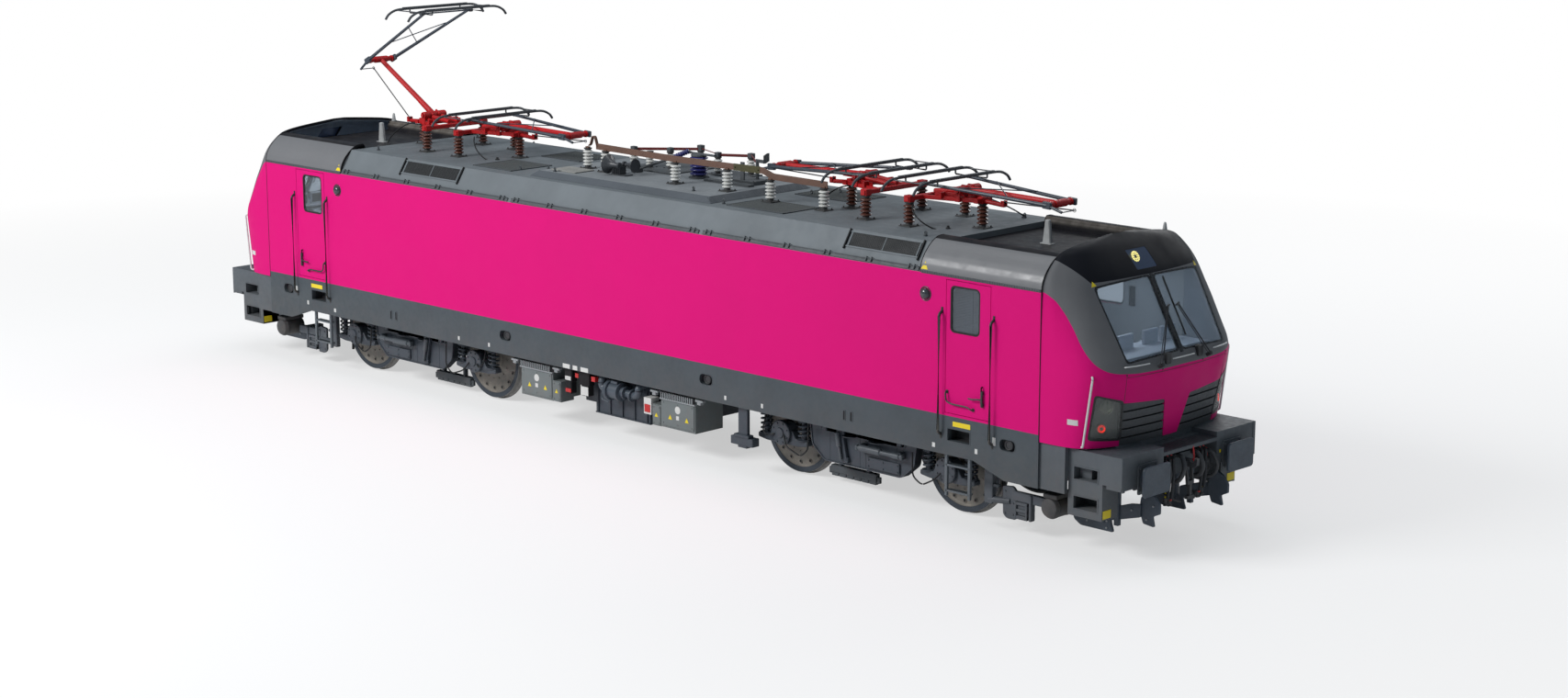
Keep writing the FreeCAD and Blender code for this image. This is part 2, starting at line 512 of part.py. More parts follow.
# brake and air hoses hang from a bar on the beam: y, height of the end
HOSES = [(300, 640), (380, 660)]
HOSE_X = OVERALL_X - 250
hose_set = [box(BEAM_X, HOSE_X + 5, 280, 400, SHELF_LOW - 150, SHELF_LOW - 70)]
for y, z in HOSES:
    hose_set.append(bar([(HOSE_X, y, SHELF_LOW - 120), (HOSE_X + 50, y, SHELF_LOW - 150),
                         (HOSE_X + 60, y, 900), (HOSE_X + 35, y, z)], 22))
save("brake_hoses", both_x(both_y([fuse(hose_set)])))
GUARD_Y = (735.0, 775.0)
arm = prism([(NOSE_X - 500, 540), (NOSE_X - 70, 640), (NOSE_X - 70, 480), (NOSE_X - 500, 370)], "y", 735, 765)
bracket = prism([(NOSE_X - 120, 420), (NOSE_X + 60, 420), (NOSE_X + 100, 640), (NOSE_X + 20, 800),
                 (NOSE_X - 100, 700), (NOSE_X - 150, 560)], "y", 695, 735)
blade = prism([(NOSE_X - 950, 330), (NOSE_X - 340, 330), (NOSE_X - 340, 210), (NOSE_X - 880, 190)],
              "y", *GUARD_Y)
hang = [box(NOSE_X - back - 70, NOSE_X - back, GUARD_Y[0], 800, 320, BOX_Z[0]) for back in (370, 600)]
guard = fuse([arm, bracket, blade] + hang)
save("rail_guards", both_x(both_y([guard])))

# ---------------------------------------------------------------- roof gear
# pantographs: sign of the end, shaft x, way of the knee (1 outward, -1 inward)
PANTOS = [("p1", -1, 5610.0, 1), ("p2", -1, 3770.0, -1), ("p3", 1, 3770.0, -1), ("p4", 1, 5610.0, 1)]
SHAFT_Z = 4130.0
ARM_LOW = 1550.0                # shaft to knee
ARM_TOP = 1930.0                # knee to head pivot
FRAME_Z = 4010.0
INS_R = 62.0
FOLDED = (-0.7, 3.0)            # lower and upper arm above level, degrees, folded
RAISED = (30.4, 27.0)           # the same, raised
ROD_X = 620.0                   # foot of the thrust rod beyond the shaft
ROD_Z = SHAFT_Z - 110.0
LEVER = (245.0, -52.0)          # rod's eye from the knee with the upper arm level: beyond, above
LEVER_PIN_R = 7.0
EYE_BORE_R = 20.0               # the eye hangs loose on the lever's pin
EYE_R = 27.0


def at(end, shaft, way, u, z):
    """Point u outward along the knee's way from the shaft, at height z."""
    return (end * (shaft + way * u), z)


def insulator(x, y, z0, z1, r, ribs):
    prof = [(0, 0), (r * 1.25, 0), (r * 1.25, 22), (r * 0.5, 24)]
    step = (z1 - z0 - 60) / ribs
    for k in range(ribs):
        s = 34 + k * step
        prof += [(r * 0.55, s), (r, s + step * 0.3), (r, s + step * 0.45), (r * 0.55, s + step * 0.8)]
    prof += [(r * 0.55, z1 - z0 - 20), (r * 0.8, z1 - z0 - 18), (r * 0.8, z1 - z0), (0, z1 - z0)]
    return turned(prof, (x, y, z0), "z")


frames = []
brown = []
for name, end, shaft, way in PANTOS:
    # feet: u from the shaft, y
    feet = [(-530.0, -570.0), (-530.0, 570.0), (260.0, 0.0)]
    pts = []
    for u, y in feet:
        x, z = at(end, shaft, way, u, ROOF_Z)
        brown.append(insulator(x, y, ROOF_Z, FRAME_Z - 45, INS_R, 7))
        pts.append((x, y))
    pieces = [rod((pts[0][0], -600, FRAME_Z), (pts[0][0], 600, FRAME_Z), 45)]
    for x, y in pts[:2]:
        side = 1 if y > 0 else -1
        pieces.append(rod((x, side * 320, FRAME_Z), (pts[2][0], side * 90, FRAME_Z), 38))
    x2 = pts[2][0]
    pieces.append(rod((x2, -130, FRAME_Z), (x2, 130, FRAME_Z), 45))
    foot_x, foot_z = at(end, shaft, way, ROD_X, ROD_Z)
    pieces.append(rod((x2, 0, FRAME_Z), (foot_x - end * way * 26, 0, FRAME_Z), 34))
    cheek_x = end * shaft
    for side in (-1, 1):
        lo = sorted([cheek_x - 45, cheek_x + 45])
        ys = sorted([side * 205, side * 225])
        pieces.append(box(lo[0], lo[1], ys[0], ys[1], FRAME_Z - 20, SHAFT_Z + 50))
    ys = (-225, 225)
    pieces.append(box(cheek_x - 40, cheek_x + 40, ys[0], ys[1], FRAME_Z - 30, FRAME_Z + 10))
    for side in (-1, 1):
        ys = sorted([side * 24, side * 38])
        pieces.append(box(foot_x - 28, foot_x + 28, ys[0], ys[1], ROD_Z - 42, ROD_Z + 20))
    pieces.append(box(foot_x - 28, foot_x + 28, -38, 38, ROD_Z - 42, ROD_Z - 24))
    frame = fuse(pieces)
    frame = frame.cut(rod((cheek_x, -400, SHAFT_Z), (cheek_x, 400, SHAFT_Z), 30 + RUN))
    frame = frame.cut(rod((foot_x, -60, ROD_Z), (foot_x, 60, ROD_Z), 10 + RUN))
    for x, y in pts:
        pad = rod((x, y, FRAME_Z - 45), (x, y, FRAME_Z - 20), 70)
        frame = frame.fuse(pad)
    frames.append(frame)
save("pantograph_frames", frames)
save("pantograph_insulators", brown)


def swing(shape, x, z, degrees):
    out = shape.copy()
    out.rotate(V(x, 0, z), V(0, 1, 0), degrees)
    return out


# each pantograph's links are drawn lying level, knee on +X, then turned, mirrored and set on the shaft
lower = fuse([rod((0, 0, 0), (ARM_LOW, 0, 0), 45), rod((0, -190, 0), (0, 190, 0), 62),
              rod((0, -240, 0), (0, 240, 0), 30), rod((ARM_LOW, -225, 0), (ARM_LOW, 225, 0), 50)])
lower = lower.cut(rod((ARM_LOW, -400, 0), (ARM_LOW, 400, 0), 22 + RUN))
tubes = []
for side in (-1, 1):
    tubes.append(rod((0, side * 262, 0), (-ARM_TOP, side * 440, 0), 20))
    tubes.append(box(-70, 70, min(side * 236, side * 282), max(side * 236, side * 282), -45, 45))
tubes.append(rod((0, -270, 0), (0, 270, 0), 22))
tubes.append(rod((-ARM_TOP, -455, 0), (-ARM_TOP, 455, 0), 18))
tubes.append(rod((-700, -326, 21), (-1350, 386, 21), 7))
tubes.append(rod((-700, 326, 21), (-1350, -386, 21), 7))
tubes.append(bar([(0, -259, 0), (LEVER[0], -259, LEVER[1])], 18))
tubes.append(rod((LEVER[0], -270, LEVER[1]), (LEVER[0], 20, LEVER[1]), LEVER_PIN_R))
upper = fuse(tubes)
strips = []
for u in (-280.0, 280.0):
    strips.append(bar([(u, -975, -65), (u, -900, 20), (u, -760, 62), (u, 760, 62), (u, 900, 20),
                       (u, 975, -65)], 17))
    strips.append(box(u - 22, u + 22, -620, 620, 55, 88))
for side in (-1, 1):
    y = side * 505
    strips.append(rod((-280, y, 62), (-280, y, 0), 12))
    strips.append(rod((280, y, 62), (280, y, 0), 12))
    strips.append(rod((-292, y, 0), (292, y, 0), 14))
hub = [rod((0, s * 472, 0), (0, s * 520, 0), 30) for s in (-1, 1)]
head_all = fuse(strips + hub)
head_all = head_all.cut(rod((0, -600, 0), (0, 600, 0), 10 + RUN))
spindle = rod((-ARM_TOP, -512, 0), (-ARM_TOP, 512, 0), 10)
upper = upper.fuse(spindle)

made = {}
for name, end, shaft, way in PANTOS:
    low_deg, top_deg = RAISED if name == "p1" else FOLDED
    a = math.radians(low_deg)
    b = math.radians(top_deg)
    knee = (ARM_LOW * math.cos(a), SHAFT_Z + ARM_LOW * math.sin(a))
    tip = (knee[0] - ARM_TOP * math.cos(b), knee[1] + ARM_TOP * math.sin(b))
    eye = (knee[0] + LEVER[0] * math.cos(b) + LEVER[1] * math.sin(b),
           knee[1] - LEVER[0] * math.sin(b) + LEVER[1] * math.cos(b))
    made[name] = (knee, tip, eye)
    arm_low = swing(lower, 0, 0, -low_deg)
    arm_low.translate(V(0, 0, SHAFT_Z))
    arm_top = swing(upper, 0, 0, top_deg)
    arm_top.translate(V(knee[0], 0, knee[1]))
    pan = head_all.copy()
    pan.translate(V(tip[0], 0, tip[1]))
    thrust = rod((ROD_X, 0, ROD_Z), (eye[0], 0, eye[1]), 9)
    ends = [rod((ROD_X, -22, ROD_Z), (ROD_X, 22, ROD_Z), 20),
            rod((eye[0], -16, eye[1]), (eye[0], 16, eye[1]), EYE_R)]
    thrust = fuse([thrust] + ends).cut(rod((eye[0], -30, eye[1]), (eye[0], 30, eye[1]), EYE_BORE_R))
    thrust = thrust.fuse(rod((ROD_X, -38, ROD_Z), (ROD_X, 38, ROD_Z), 10))
    for key, shape in (("lower_arm", arm_low), ("upper_arm", arm_top), ("head", pan), ("thrust_rod", thrust)):
        if way < 0:
            shape = flip_x(shape)
        shape.translate(V(shaft, 0, 0))
        if end < 0:
            shape = flip_x(shape)
        save(key + "_" + name, [shape])
    print(name, "knee", knee, "tip", tip, "eye", eye)


def roof_height(x, y):
    """Top of whatever plate covers the roof at this place."""
    under = [h for x0, x1, y0, y1, h in DECK + HATCHES if x0 < x < x1 and y0 < y < y1]
    return ROOF_Z + max(under + [0.0])


# white insulators under the bus bar: x, y
BUS_H = 310.0
BUS = [(-1050, -430), (535, -520), (1566, -490), (2374, -440), (3377, -415), (-1500, -380)]
white = []
for x, y in BUS:
    z0 = roof_height(x, y)
    white.append(insulator(x, y, z0, z0 + BUS_H, 62, 6))
for x, y in [(-1030, 120), (-840, 270), (-560, 420), (-300, 800), (330, 540), (760, 800)]:
    white.append(insulator(x, y, DECK_Z, DECK_Z + 260, 55, 5))
save("bus_insulators", white)
BAR_R = 30.0
feet = [(x, y, roof_height(x, y) + BUS_H) for x, y in sorted(BUS)]
segments = [bar([(x, y, z + BAR_R + 10) for x, y, z in feet], BAR_R)]
segments += [rod((x, y, z), (x, y, z + BAR_R), 36) for x, y, z in feet]
save("bus_bar", [fuse(segments)])
blades = [rod((-1030, 120, DECK_Z + 285), (-300, 800, DECK_Z + 285), 18),
          rod((330, 540, DECK_Z + 285), (760, 800, DECK_Z + 285), 18)]
blades += [rod((x, y, DECK_Z + 260), (x, y, DECK_Z + 290), 35)
           for x, y in [(-1030, 120), (-300, 800), (330, 540), (760, 800)]]
blades.append(box(1000, 1500, 100, 420, DECK_Z, DECK_Z + 60))
save("switch_gear", [fuse(blades[:1] + blades[2:4]), fuse(blades[1:2] + blades[4:6]), blades[6]])
save("arrester", [insulator(361, 120, DECK_Z, DECK_Z + 340, 105, 5)])
horn = []
for y in (-540, -440):
    horn.append(turned([(0, 0), (90, 0), (40, 90), (25, 420), (0, 430)], (-420, y, DECK_Z + 95), "x").mirror(
        V(-420, y, DECK_Z + 95), V(1, 0, 0)))
horns = [fuse([box(-800, -760, -570, -410, DECK_Z, DECK_Z + 100),
               box(-640, -610, -570, -410, DECK_Z, DECK_Z + 100)] + horn)]
save("horns", horns)
FIN_X = SEAM_ROOF + 860
FIN_TOP = ROOF_Z + 240
fin = prism([(FIN_X - 70, TRAY_Z), (FIN_X + 70, TRAY_Z), (FIN_X + 40, FIN_TOP), (FIN_X - 30, FIN_TOP)],
            "y", -25, 25)
cone = turned([(0, 0), (36, 0), (20, 120), (0, 130)], (SEAM_CAB - 60, PARAPET_Y - 40, PARAPET_Z), "z")
save("aerials", both_x([fin, cone]))

# ---------------------------------------------------------------- bogies
SIDE_Y = (1020.0, 1160.0)
# half outline of the side frame: along from the pivot, height
SIDE = [(0, 370), (700, 370), (930, 560), (980, 900), (2040, 900), (2040, 1010), (1960, 1060),
        (1020, 1080), (820, 960), (740, 790), (0, 780)]
side_ring = SIDE + [(-u, z) for u, z in reversed(SIDE[1:-1])]
side = prism(side_ring, "y", SIDE_Y[0], SIDE_Y[1])
spring_parts = []
frame_parts = [side]
for ax in (-AXLE_X, AXLE_X):
    frame_parts.append(rod((ax, 1000, WHEEL_R), (ax, 1190, WHEEL_R), 165))
    frame_parts.append(box(ax - 460, ax + 460, SIDE_Y[0], SIDE_Y[1], 470, 555))
    for u in (-360, 360):
        frame_parts.append(rod((ax + u, 1090, 550), (ax + u, 1090, 905), 68))
for u in (-250, 250):
    frame_parts.append(rod((u, 1090, 775), (u, 1090, FLOOR_LOW - GAP), 120))
frame_parts.append(rod((-380, 1240, 700), (430, 1240, 700), 48))
frame_parts.append(box(-360, -300, 1155, 1240, 660, 740))
frame_parts.append(box(330, 390, 1155, 1240, 660, 740))
frame_parts.append(box(-560, -500, 690, 1025, 420, 480))
frame_parts.append(box(500, 560, 690, 1025, 420, 480))
frame_parts.append(box(-550, 550, 712, 788, 130, 210))
frame_parts.append(box(-550, -510, 712, 788, 205, 440))
frame_parts.append(box(510, 550, 712, 788, 205, 440))
half_frame = fuse(frame_parts)
transom = box(-300, 300, -1025, 1025, 430, 760)
# traction motors beside the axles, carried by the transom
motor_parts = []
for s in (-1, 1):
    xs = sorted([s * 290, s * 500])
    motor_parts.append(rod((s * 800, -560, 640), (s * 800, 480, 640), 330))
    motor_parts.append(box(xs[0], xs[1], -420, 420, 500, 740))
bogie = fuse([half_frame, flip_y(half_frame), transom] + motor_parts)
bogie = bogie.cut(rod((0, 0, 300), (0, 0, 900), PIN_R + RUN))
for ax in (-AXLE_X, AXLE_X):
    bogie = bogie.cut(rod((ax, -1160, WHEEL_R), (ax, 1160, WHEEL_R), JOURNAL_R + RUN))
bogie_front = bogie.copy()
bogie_front.translate(V(BOGIE_X, 0, 0))
bogie_rear = bogie.copy()
bogie_rear.translate(V(-BOGIE_X, 0, 0))
save("bogie_frame_front", [bogie_front])
save("bogie_frame_rear", [bogie_rear])

# wheelset: half profile (radius, along Y)
wheel = [(95, 600), (95, 655), (170, 660), (200, 700), (520, 715), (545, WHEEL_IN), (WHEEL_R + 24, WHEEL_IN),
         (WHEEL_R + FLANGE, WHEEL_IN + 10), (WHEEL_R + FLANGE, WHEEL_IN + 25), (WHEEL_R + 8, WHEEL_IN + 42),
         (WHEEL_R, WHEEL_IN + 55), (WHEEL_R, WHEEL_OUT - 6), (WHEEL_R - 6, WHEEL_OUT), (555, WHEEL_OUT),
         (535, 790), (520, 778), (210, 800), (180, 830), (95, 830), (JOURNAL_R, 850), (JOURNAL_R, 1150)]
half_set = turned([(0, 0)] + [(85, 0), (85, 600)] + wheel + [(0, 1150)], (0, 0, 0), "y")
wheelset = fuse([half_set, flip_y(half_set)])
for name, x in [("front_outer", BOGIE_X + AXLE_X), ("front_inner", BOGIE_X - AXLE_X),
                ("rear_inner", -BOGIE_X + AXLE_X), ("rear_outer", -BOGIE_X - AXLE_X)]:
    one = wheelset.copy()
    one.translate(V(x, 0, WHEEL_R))
    save("wheelset_" + name, [one])
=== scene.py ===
"""Looks of the electric locomotive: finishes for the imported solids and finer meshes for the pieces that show.

Metres, in the row's own frame: +X to the leading cab, +Y to the left side, +Z up, wheel flanges on z = 0.
"""

import math

import bpy
import numpy as np
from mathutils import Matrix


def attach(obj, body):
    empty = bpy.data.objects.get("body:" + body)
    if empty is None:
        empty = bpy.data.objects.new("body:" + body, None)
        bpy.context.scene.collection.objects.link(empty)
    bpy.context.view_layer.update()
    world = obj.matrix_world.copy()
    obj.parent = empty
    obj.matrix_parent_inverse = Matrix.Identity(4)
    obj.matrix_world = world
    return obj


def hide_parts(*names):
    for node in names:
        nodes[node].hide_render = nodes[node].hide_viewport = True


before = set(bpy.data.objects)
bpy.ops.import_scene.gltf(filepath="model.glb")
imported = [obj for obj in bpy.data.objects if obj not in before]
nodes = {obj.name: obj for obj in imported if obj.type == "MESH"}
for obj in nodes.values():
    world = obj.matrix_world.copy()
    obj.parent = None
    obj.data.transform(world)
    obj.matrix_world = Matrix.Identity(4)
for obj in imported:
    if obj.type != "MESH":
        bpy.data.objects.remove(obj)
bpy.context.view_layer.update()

# ------------------------------------------------------------------ the stand
# A plain pale floor under the wheels, a large soft lamp over the near side, weaker fill lamps elsewhere,
# and the camera ahead of the leading cab's right corner, a little above roof height.
camera = bpy.data.objects.new("camera", bpy.data.cameras.new("camera"))
bpy.context.scene.collection.objects.link(camera)
CAMERA_AT = (29.357, -27.873, 9.782)
CAMERA_AIM = (2.207, 0.0, 1.487)
camera.location = CAMERA_AT
ahead, aside, above = np.subtract(CAMERA_AT, CAMERA_AIM)
drop = math.atan2(above, math.hypot(ahead, aside))
camera.rotation_euler = (math.pi / 2 - drop, 0.0, math.atan2(ahead, -aside))
camera.data.lens = 63.98
camera.data.sensor_width = 36.0
camera.data.clip_end = 500.0
bpy.context.scene.camera = camera
bpy.context.scene.view_settings.view_transform = "Standard"


def area_lamp(name, place, aim, size, power):
    """A soft rectangular lamp at a place, turned to face its aim."""
    data = bpy.data.lights.new(name, "AREA")
    data.shape = "RECTANGLE"
    data.size, data.size_y = size
    data.energy = power
    lamp = bpy.data.objects.new(name, data)
    away = np.subtract(place, aim)
    lamp.location = place
    flat = math.hypot(away[0], away[1])
    lamp.rotation_euler = (math.atan2(flat, away[2]), 0.0, math.atan2(away[1], away[0]) + math.pi / 2)
    bpy.context.scene.collection.objects.link(lamp)


area_lamp("key_lamp", (-9.0, -26.0, 20.0), (0.0, 0.0, 2.0), (16.0, 8.0), 8650.0)
area_lamp("top_lamp", (-2.0, 2.0, 30.0), (0.0, 0.0, 2.0), (26.0, 10.0), 2100.0)
area_lamp("front_lamp", (32.0, -10.0, 10.0), (6.0, 0.0, 2.0), (10.0, 8.0), 30.0)
area_lamp("back_lamp", (0.0, 24.0, 14.0), (0.0, 0.0, 2.0), (20.0, 8.0), 1800.0)
area_lamp("cab_lamp_front", (7.65, 0.0, 3.42), (7.65, 0.01, 2.0), (0.6, 1.6), 26.0)
area_lamp("cab_lamp_rear", (-7.65, 0.0, 3.42), (-7.65, 0.01, 2.0), (0.6, 1.6), 26.0)

world = bpy.data.worlds.new("studio")
bpy.context.scene.world = world
world.use_nodes = True
sky = world.node_tree
for node in list(sky.nodes):
    sky.nodes.remove(node)
out = sky.nodes.new("ShaderNodeOutputWorld")
seen = sky.nodes.new("ShaderNodeBackground")
lit = sky.nodes.new("ShaderNodeBackground")
mix = sky.nodes.new("ShaderNodeMixShader")
path = sky.nodes.new("ShaderNodeLightPath")
through = sky.nodes.new("ShaderNodeMath")
through.operation = "MAXIMUM"
seen.inputs["Color"].default_value = (1.0, 1.0, 1.0, 1.0)
seen.inputs["Strength"].default_value = 1.0
lit.inputs["Color"].default_value = (0.74, 0.87, 1.0, 1.0)
lit.inputs["Strength"].default_value = 0.27
sky.links.new(path.outputs["Is Camera Ray"], through.inputs[0])
sky.links.new(path.outputs["Is Transmission Ray"], through.inputs[1])
sky.links.new(through.outputs["Value"], mix.inputs["Fac"])
sky.links.new(lit.outputs["Background"], mix.inputs[1])
sky.links.new(seen.outputs["Background"], mix.inputs[2])
sky.links.new(mix.outputs["Shader"], out.inputs["Surface"])

floor_mesh = bpy.data.meshes.new("floor")
FLOOR_HALF = 220.0
floor_corners = [(x * FLOOR_HALF, y * FLOOR_HALF, 0) for x, y in ((-1, -1), (1, -1), (1, 1), (-1, 1))]
floor_mesh.from_pydata(floor_corners, [], [(0, 1, 2, 3)])
floor = bpy.data.objects.new("floor", floor_mesh)
bpy.context.scene.collection.objects.link(floor)
floor_paint = bpy.data.materials.new("floor_paint")
floor_paint.use_nodes = True
ground = floor_paint.node_tree
matt = ground.nodes["Principled BSDF"]
matt.inputs["Base Color"].default_value = (0.9, 0.9, 0.9, 1)
matt.inputs["Roughness"].default_value = 0.95
matt.inputs["Specular IOR Level"].default_value = 0.0
white = ground.nodes.new("ShaderNodeEmission")
blend = ground.nodes.new("ShaderNodeMixShader")
spot = ground.nodes.new("ShaderNodeTexCoord")
away = ground.nodes.new("ShaderNodeVectorMath")
away.operation = "LENGTH"
fade = ground.nodes.new("ShaderNodeMapRange")
for key, value in (("From Min", 9.0), ("From Max", 26.0), ("To Min", 0.55), ("To Max", 1.0)):
    fade.inputs[key].default_value = value
eye = ground.nodes.new("ShaderNodeLightPath")
both = ground.nodes.new("ShaderNodeMath")
both.operation = "MULTIPLY"
ground.links.new(spot.outputs["Object"], away.inputs[0])
ground.links.new(away.outputs["Value"], fade.inputs["Value"])
ground.links.new(fade.outputs["Result"], both.inputs[0])
glimpse = ground.nodes.new("ShaderNodeMath")
glimpse.operation = "MAXIMUM"
ground.links.new(eye.outputs["Is Camera Ray"], glimpse.inputs[0])
ground.links.new(eye.outputs["Is Transmission Ray"], glimpse.inputs[1])
ground.links.new(glimpse.outputs["Value"], both.inputs[1])
ground.links.new(both.outputs["Value"], blend.inputs["Fac"])
ground.links.new(matt.outputs["BSDF"], blend.inputs[1])
ground.links.new(white.outputs["Emission"], blend.inputs[2])
ground.links.new(blend.outputs["Shader"], ground.nodes["Material Output"].inputs["Surface"])
floor_mesh.materials.append(floor_paint)

# ------------------------------------------------------------------ cab noses
# Each cab front is one moulded shell, painted magenta below and grey above, with a black band over the
# windscreen. It is bonded to the body at a dark seam and opened for the screens, the lamps and the cooling
# air.
#        height, front on the middle line, half-width at the seam, share of the roof's outline
NOSE_RINGS = np.array([(1.407, 9.005, 1.500, 0.00), (1.930, 9.115, 1.502, 0.00), (2.330, 9.200, 1.502, 0.00),
                       (2.470, 9.165, 1.502, 0.03), (2.980, 8.875, 1.499, 0.40), (3.310, 8.692, 1.492, 0.85),
                       (3.430, 8.630, 1.472, 1.00), (3.560, 8.520, 1.395, 1.00), (3.680, 8.405, 1.270, 1.00),
                       (3.780, 8.300, 1.120, 1.00), (3.830, 8.225, 0.720, 1.00), (3.880, 8.140, 0.150, 1.00)])
#        low part: share of the length, of the half-width; roof part: the same
NOSE_OUTLINE = np.array([
    (0.000, 1.000, 0.000, 1.000), (0.270, 0.999, 0.189, 0.980), (0.452, 0.989, 0.349, 0.938),
    (0.602, 0.965, 0.531, 0.882), (0.712, 0.915, 0.700, 0.805), (0.805, 0.836, 0.800, 0.725),
    (0.883, 0.730, 0.880, 0.620), (0.940, 0.602, 0.945, 0.450), (0.985, 0.290, 0.985, 0.220),
    (1.000, 0.000, 1.000, 0.000)])
NOSE_SEAM = 8.106
NOSE_LENGTH = 1.1
NOSE_HALF_WIDTH = 1.5


def rounded(knots, rows, at, spread):
    """Straight runs between the rows, corners rounded: the mean of the run read at eleven places within the
    spread. Past both ends the run goes on in line with its last leg."""
    long = np.concatenate([[2 * knots[0] - knots[1]], knots, [2 * knots[-1] - knots[-2]]])
    wide = np.vstack([2 * rows[0] - rows[1], rows, 2 * rows[-1] - rows[-2]])
    places = at[:, None] + np.linspace(-spread, spread, 11)[None, :]
    return np.stack([np.interp(places, long, column).mean(1) for column in wide.T], 1)


def nose_surface(rings, columns, low=0.0, high=1.0):
    """Rings up the nose, each a plan outline from the right seam round to the left one. A ring is the low
    outline and the roof outline mixed in its share, scaled to its own length and half-width."""
    run = np.concatenate([[0], np.cumsum(np.hypot(np.diff(NOSE_RINGS[:, 0]), np.diff(NOSE_RINGS[:, 1])))])
    run /= run[-1]
    level = rounded(run, NOSE_RINGS, np.linspace(low, high, rings), 0.022)
    leg = np.hypot(np.diff(NOSE_OUTLINE[:, 0]) * NOSE_LENGTH, np.diff(NOSE_OUTLINE[:, 1]) * NOSE_HALF_WIDTH)
    turn = np.concatenate([[0], np.cumsum(leg)])
    turn /= turn[-1]
    knots = np.concatenate([turn - 1, (1 - turn[::-1])[1:]])
    both = np.vstack([NOSE_OUTLINE * (1, -1, 1, -1), (NOSE_OUTLINE[::-1])[1:]])
    outline = rounded(knots, both, np.linspace(-1, 1, columns), 0.035)
    share = level[:, 3:4]
    x = outline[None, :, 0] * (1 - share) + outline[None, :, 2] * share
    y = outline[None, :, 1] * (1 - share) + outline[None, :, 3] * share
    points = np.empty((rings, columns, 3))
    points[:, :, 0] = NOSE_SEAM + np.maximum(x, 0) * (level[:, 1:2] - NOSE_SEAM)
    points[:, :, 1] = y * level[:, 2:3]
    points[:, :, 2] = level[:, 0:1]
    return points


def inward(surface, depth):
    """The surface moved along its own normals: the cross product of its two running directions."""
    across = np.gradient(surface, axis=1)
    up = np.gradient(surface, axis=0)
    normal = np.cross(across, up)
    normal /= np.maximum(np.linalg.norm(normal, axis=2, keepdims=True), 1e-12)
    return surface - normal * depth


def grid(points, wrap=False):
    """Quads over a grid of points, facing along (second direction) x (first direction)."""
    rows, columns = points.shape[:2]
    last = columns if wrap else columns - 1
    i = np.arange(rows - 1)[:, None] * columns
    j = np.arange(last)[None, :]
    k = (j + 1) % columns
    quads = np.stack([i + j, i + k, i + columns + k, i + columns + j], 2).reshape(-1, 4)
    return points.reshape(-1, 3), quads.ravel(), np.full(len(quads), 4)


def joined(*parts):
    """Several pieces' points, corner lists and corner counts laid end to end as one."""
    starts = np.cumsum([0] + [len(p[0]) for p in parts])
    return (np.concatenate([p[0] for p in parts]), np.concatenate([p[1] + s for p, s in zip(parts, starts)]),
        np.concatenate([p[2] for p in parts]))


def turned_over(part):
    """The same faces with their corners in the opposite order."""
    points, corners, counts = part
    start = np.repeat(np.concatenate([[0], np.cumsum(counts)[:-1]]), counts)
    place = np.arange(len(corners)) - start
    return points, corners[start + np.repeat(counts, counts) - 1 - place], counts


def slab(outer, inner):
    """A closed plate between two grids of the same size: the outer skin, the inner one turned over, and a
    rim."""
    rows, columns = outer.shape[:2]
    index = np.arange(rows * columns).reshape(rows, columns)
    edge = np.concatenate([index[0, :-1], index[:-1, -1], index[-1, :0:-1], index[:0:-1, 0]])
    after = np.roll(edge, -1)
    deep = rows * columns
    rim = np.stack([after, edge, edge + deep, after + deep], 1)
    skins = joined(grid(outer), turned_over(grid(inner)))
    return skins[0], np.concatenate([skins[1], rim.ravel()]), np.concatenate([skins[2], np.full(len(rim), 4)])


def other_end(part):
    """The same piece at the other end of the locomotive."""
    points, corners, counts = turned_over(part)
    return points * (-1, 1, 1), corners, counts


def other_side(part):
    """The same piece on the other side."""
    points, corners, counts = turned_over(part)
    return points * (1, -1, 1), corners, counts


def both_ends(part):
    """The piece and its twin at the other end."""
    return joined(part, other_end(part))


def both_sides(part):
    """The piece and its twin on the other side."""
    return joined(part, other_side(part))


def at_corners(part):
    """The piece on both sides of both ends."""
    return both_ends(both_sides(part))


def mesh_of(name, part):
    """A Blender mesh from points, corners and counts."""
    points, corners, counts = part
    mesh = bpy.data.meshes.new(name)
    mesh.vertices.add(len(points))
    mesh.vertices.foreach_set("co", np.ascontiguousarray(points, np.float32).ravel())
    mesh.loops.add(len(corners))
    mesh.loops.foreach_set("vertex_index", np.ascontiguousarray(corners, np.int32))
    mesh.polygons.add(len(counts))
    mesh.polygons.foreach_set("loop_start", np.concatenate([[0], np.cumsum(counts)[:-1]]).astype(np.int32))
    mesh.update(calc_edges=True)
    mesh.validate()
    return mesh


def piece(name, part, finish, body="locomotive", stands_for=(), crease=35.0):
    """One named piece: its mesh, shaded smooth up to the crease angle, its finish, and what it rides on."""
    mesh = mesh_of(name, part)
    mesh.polygons.foreach_set("use_smooth", np.ones(len(mesh.polygons), bool))
    mesh.set_sharp_from_angle(angle=math.radians(crease))
    mesh.materials.append(finish)
    made = bpy.data.objects.new(name, mesh)
    bpy.context.scene.collection.objects.link(made)
    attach(made, body)
    for node in ([stands_for] if isinstance(stands_for, str) else stands_for):
        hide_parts(node)
    return made


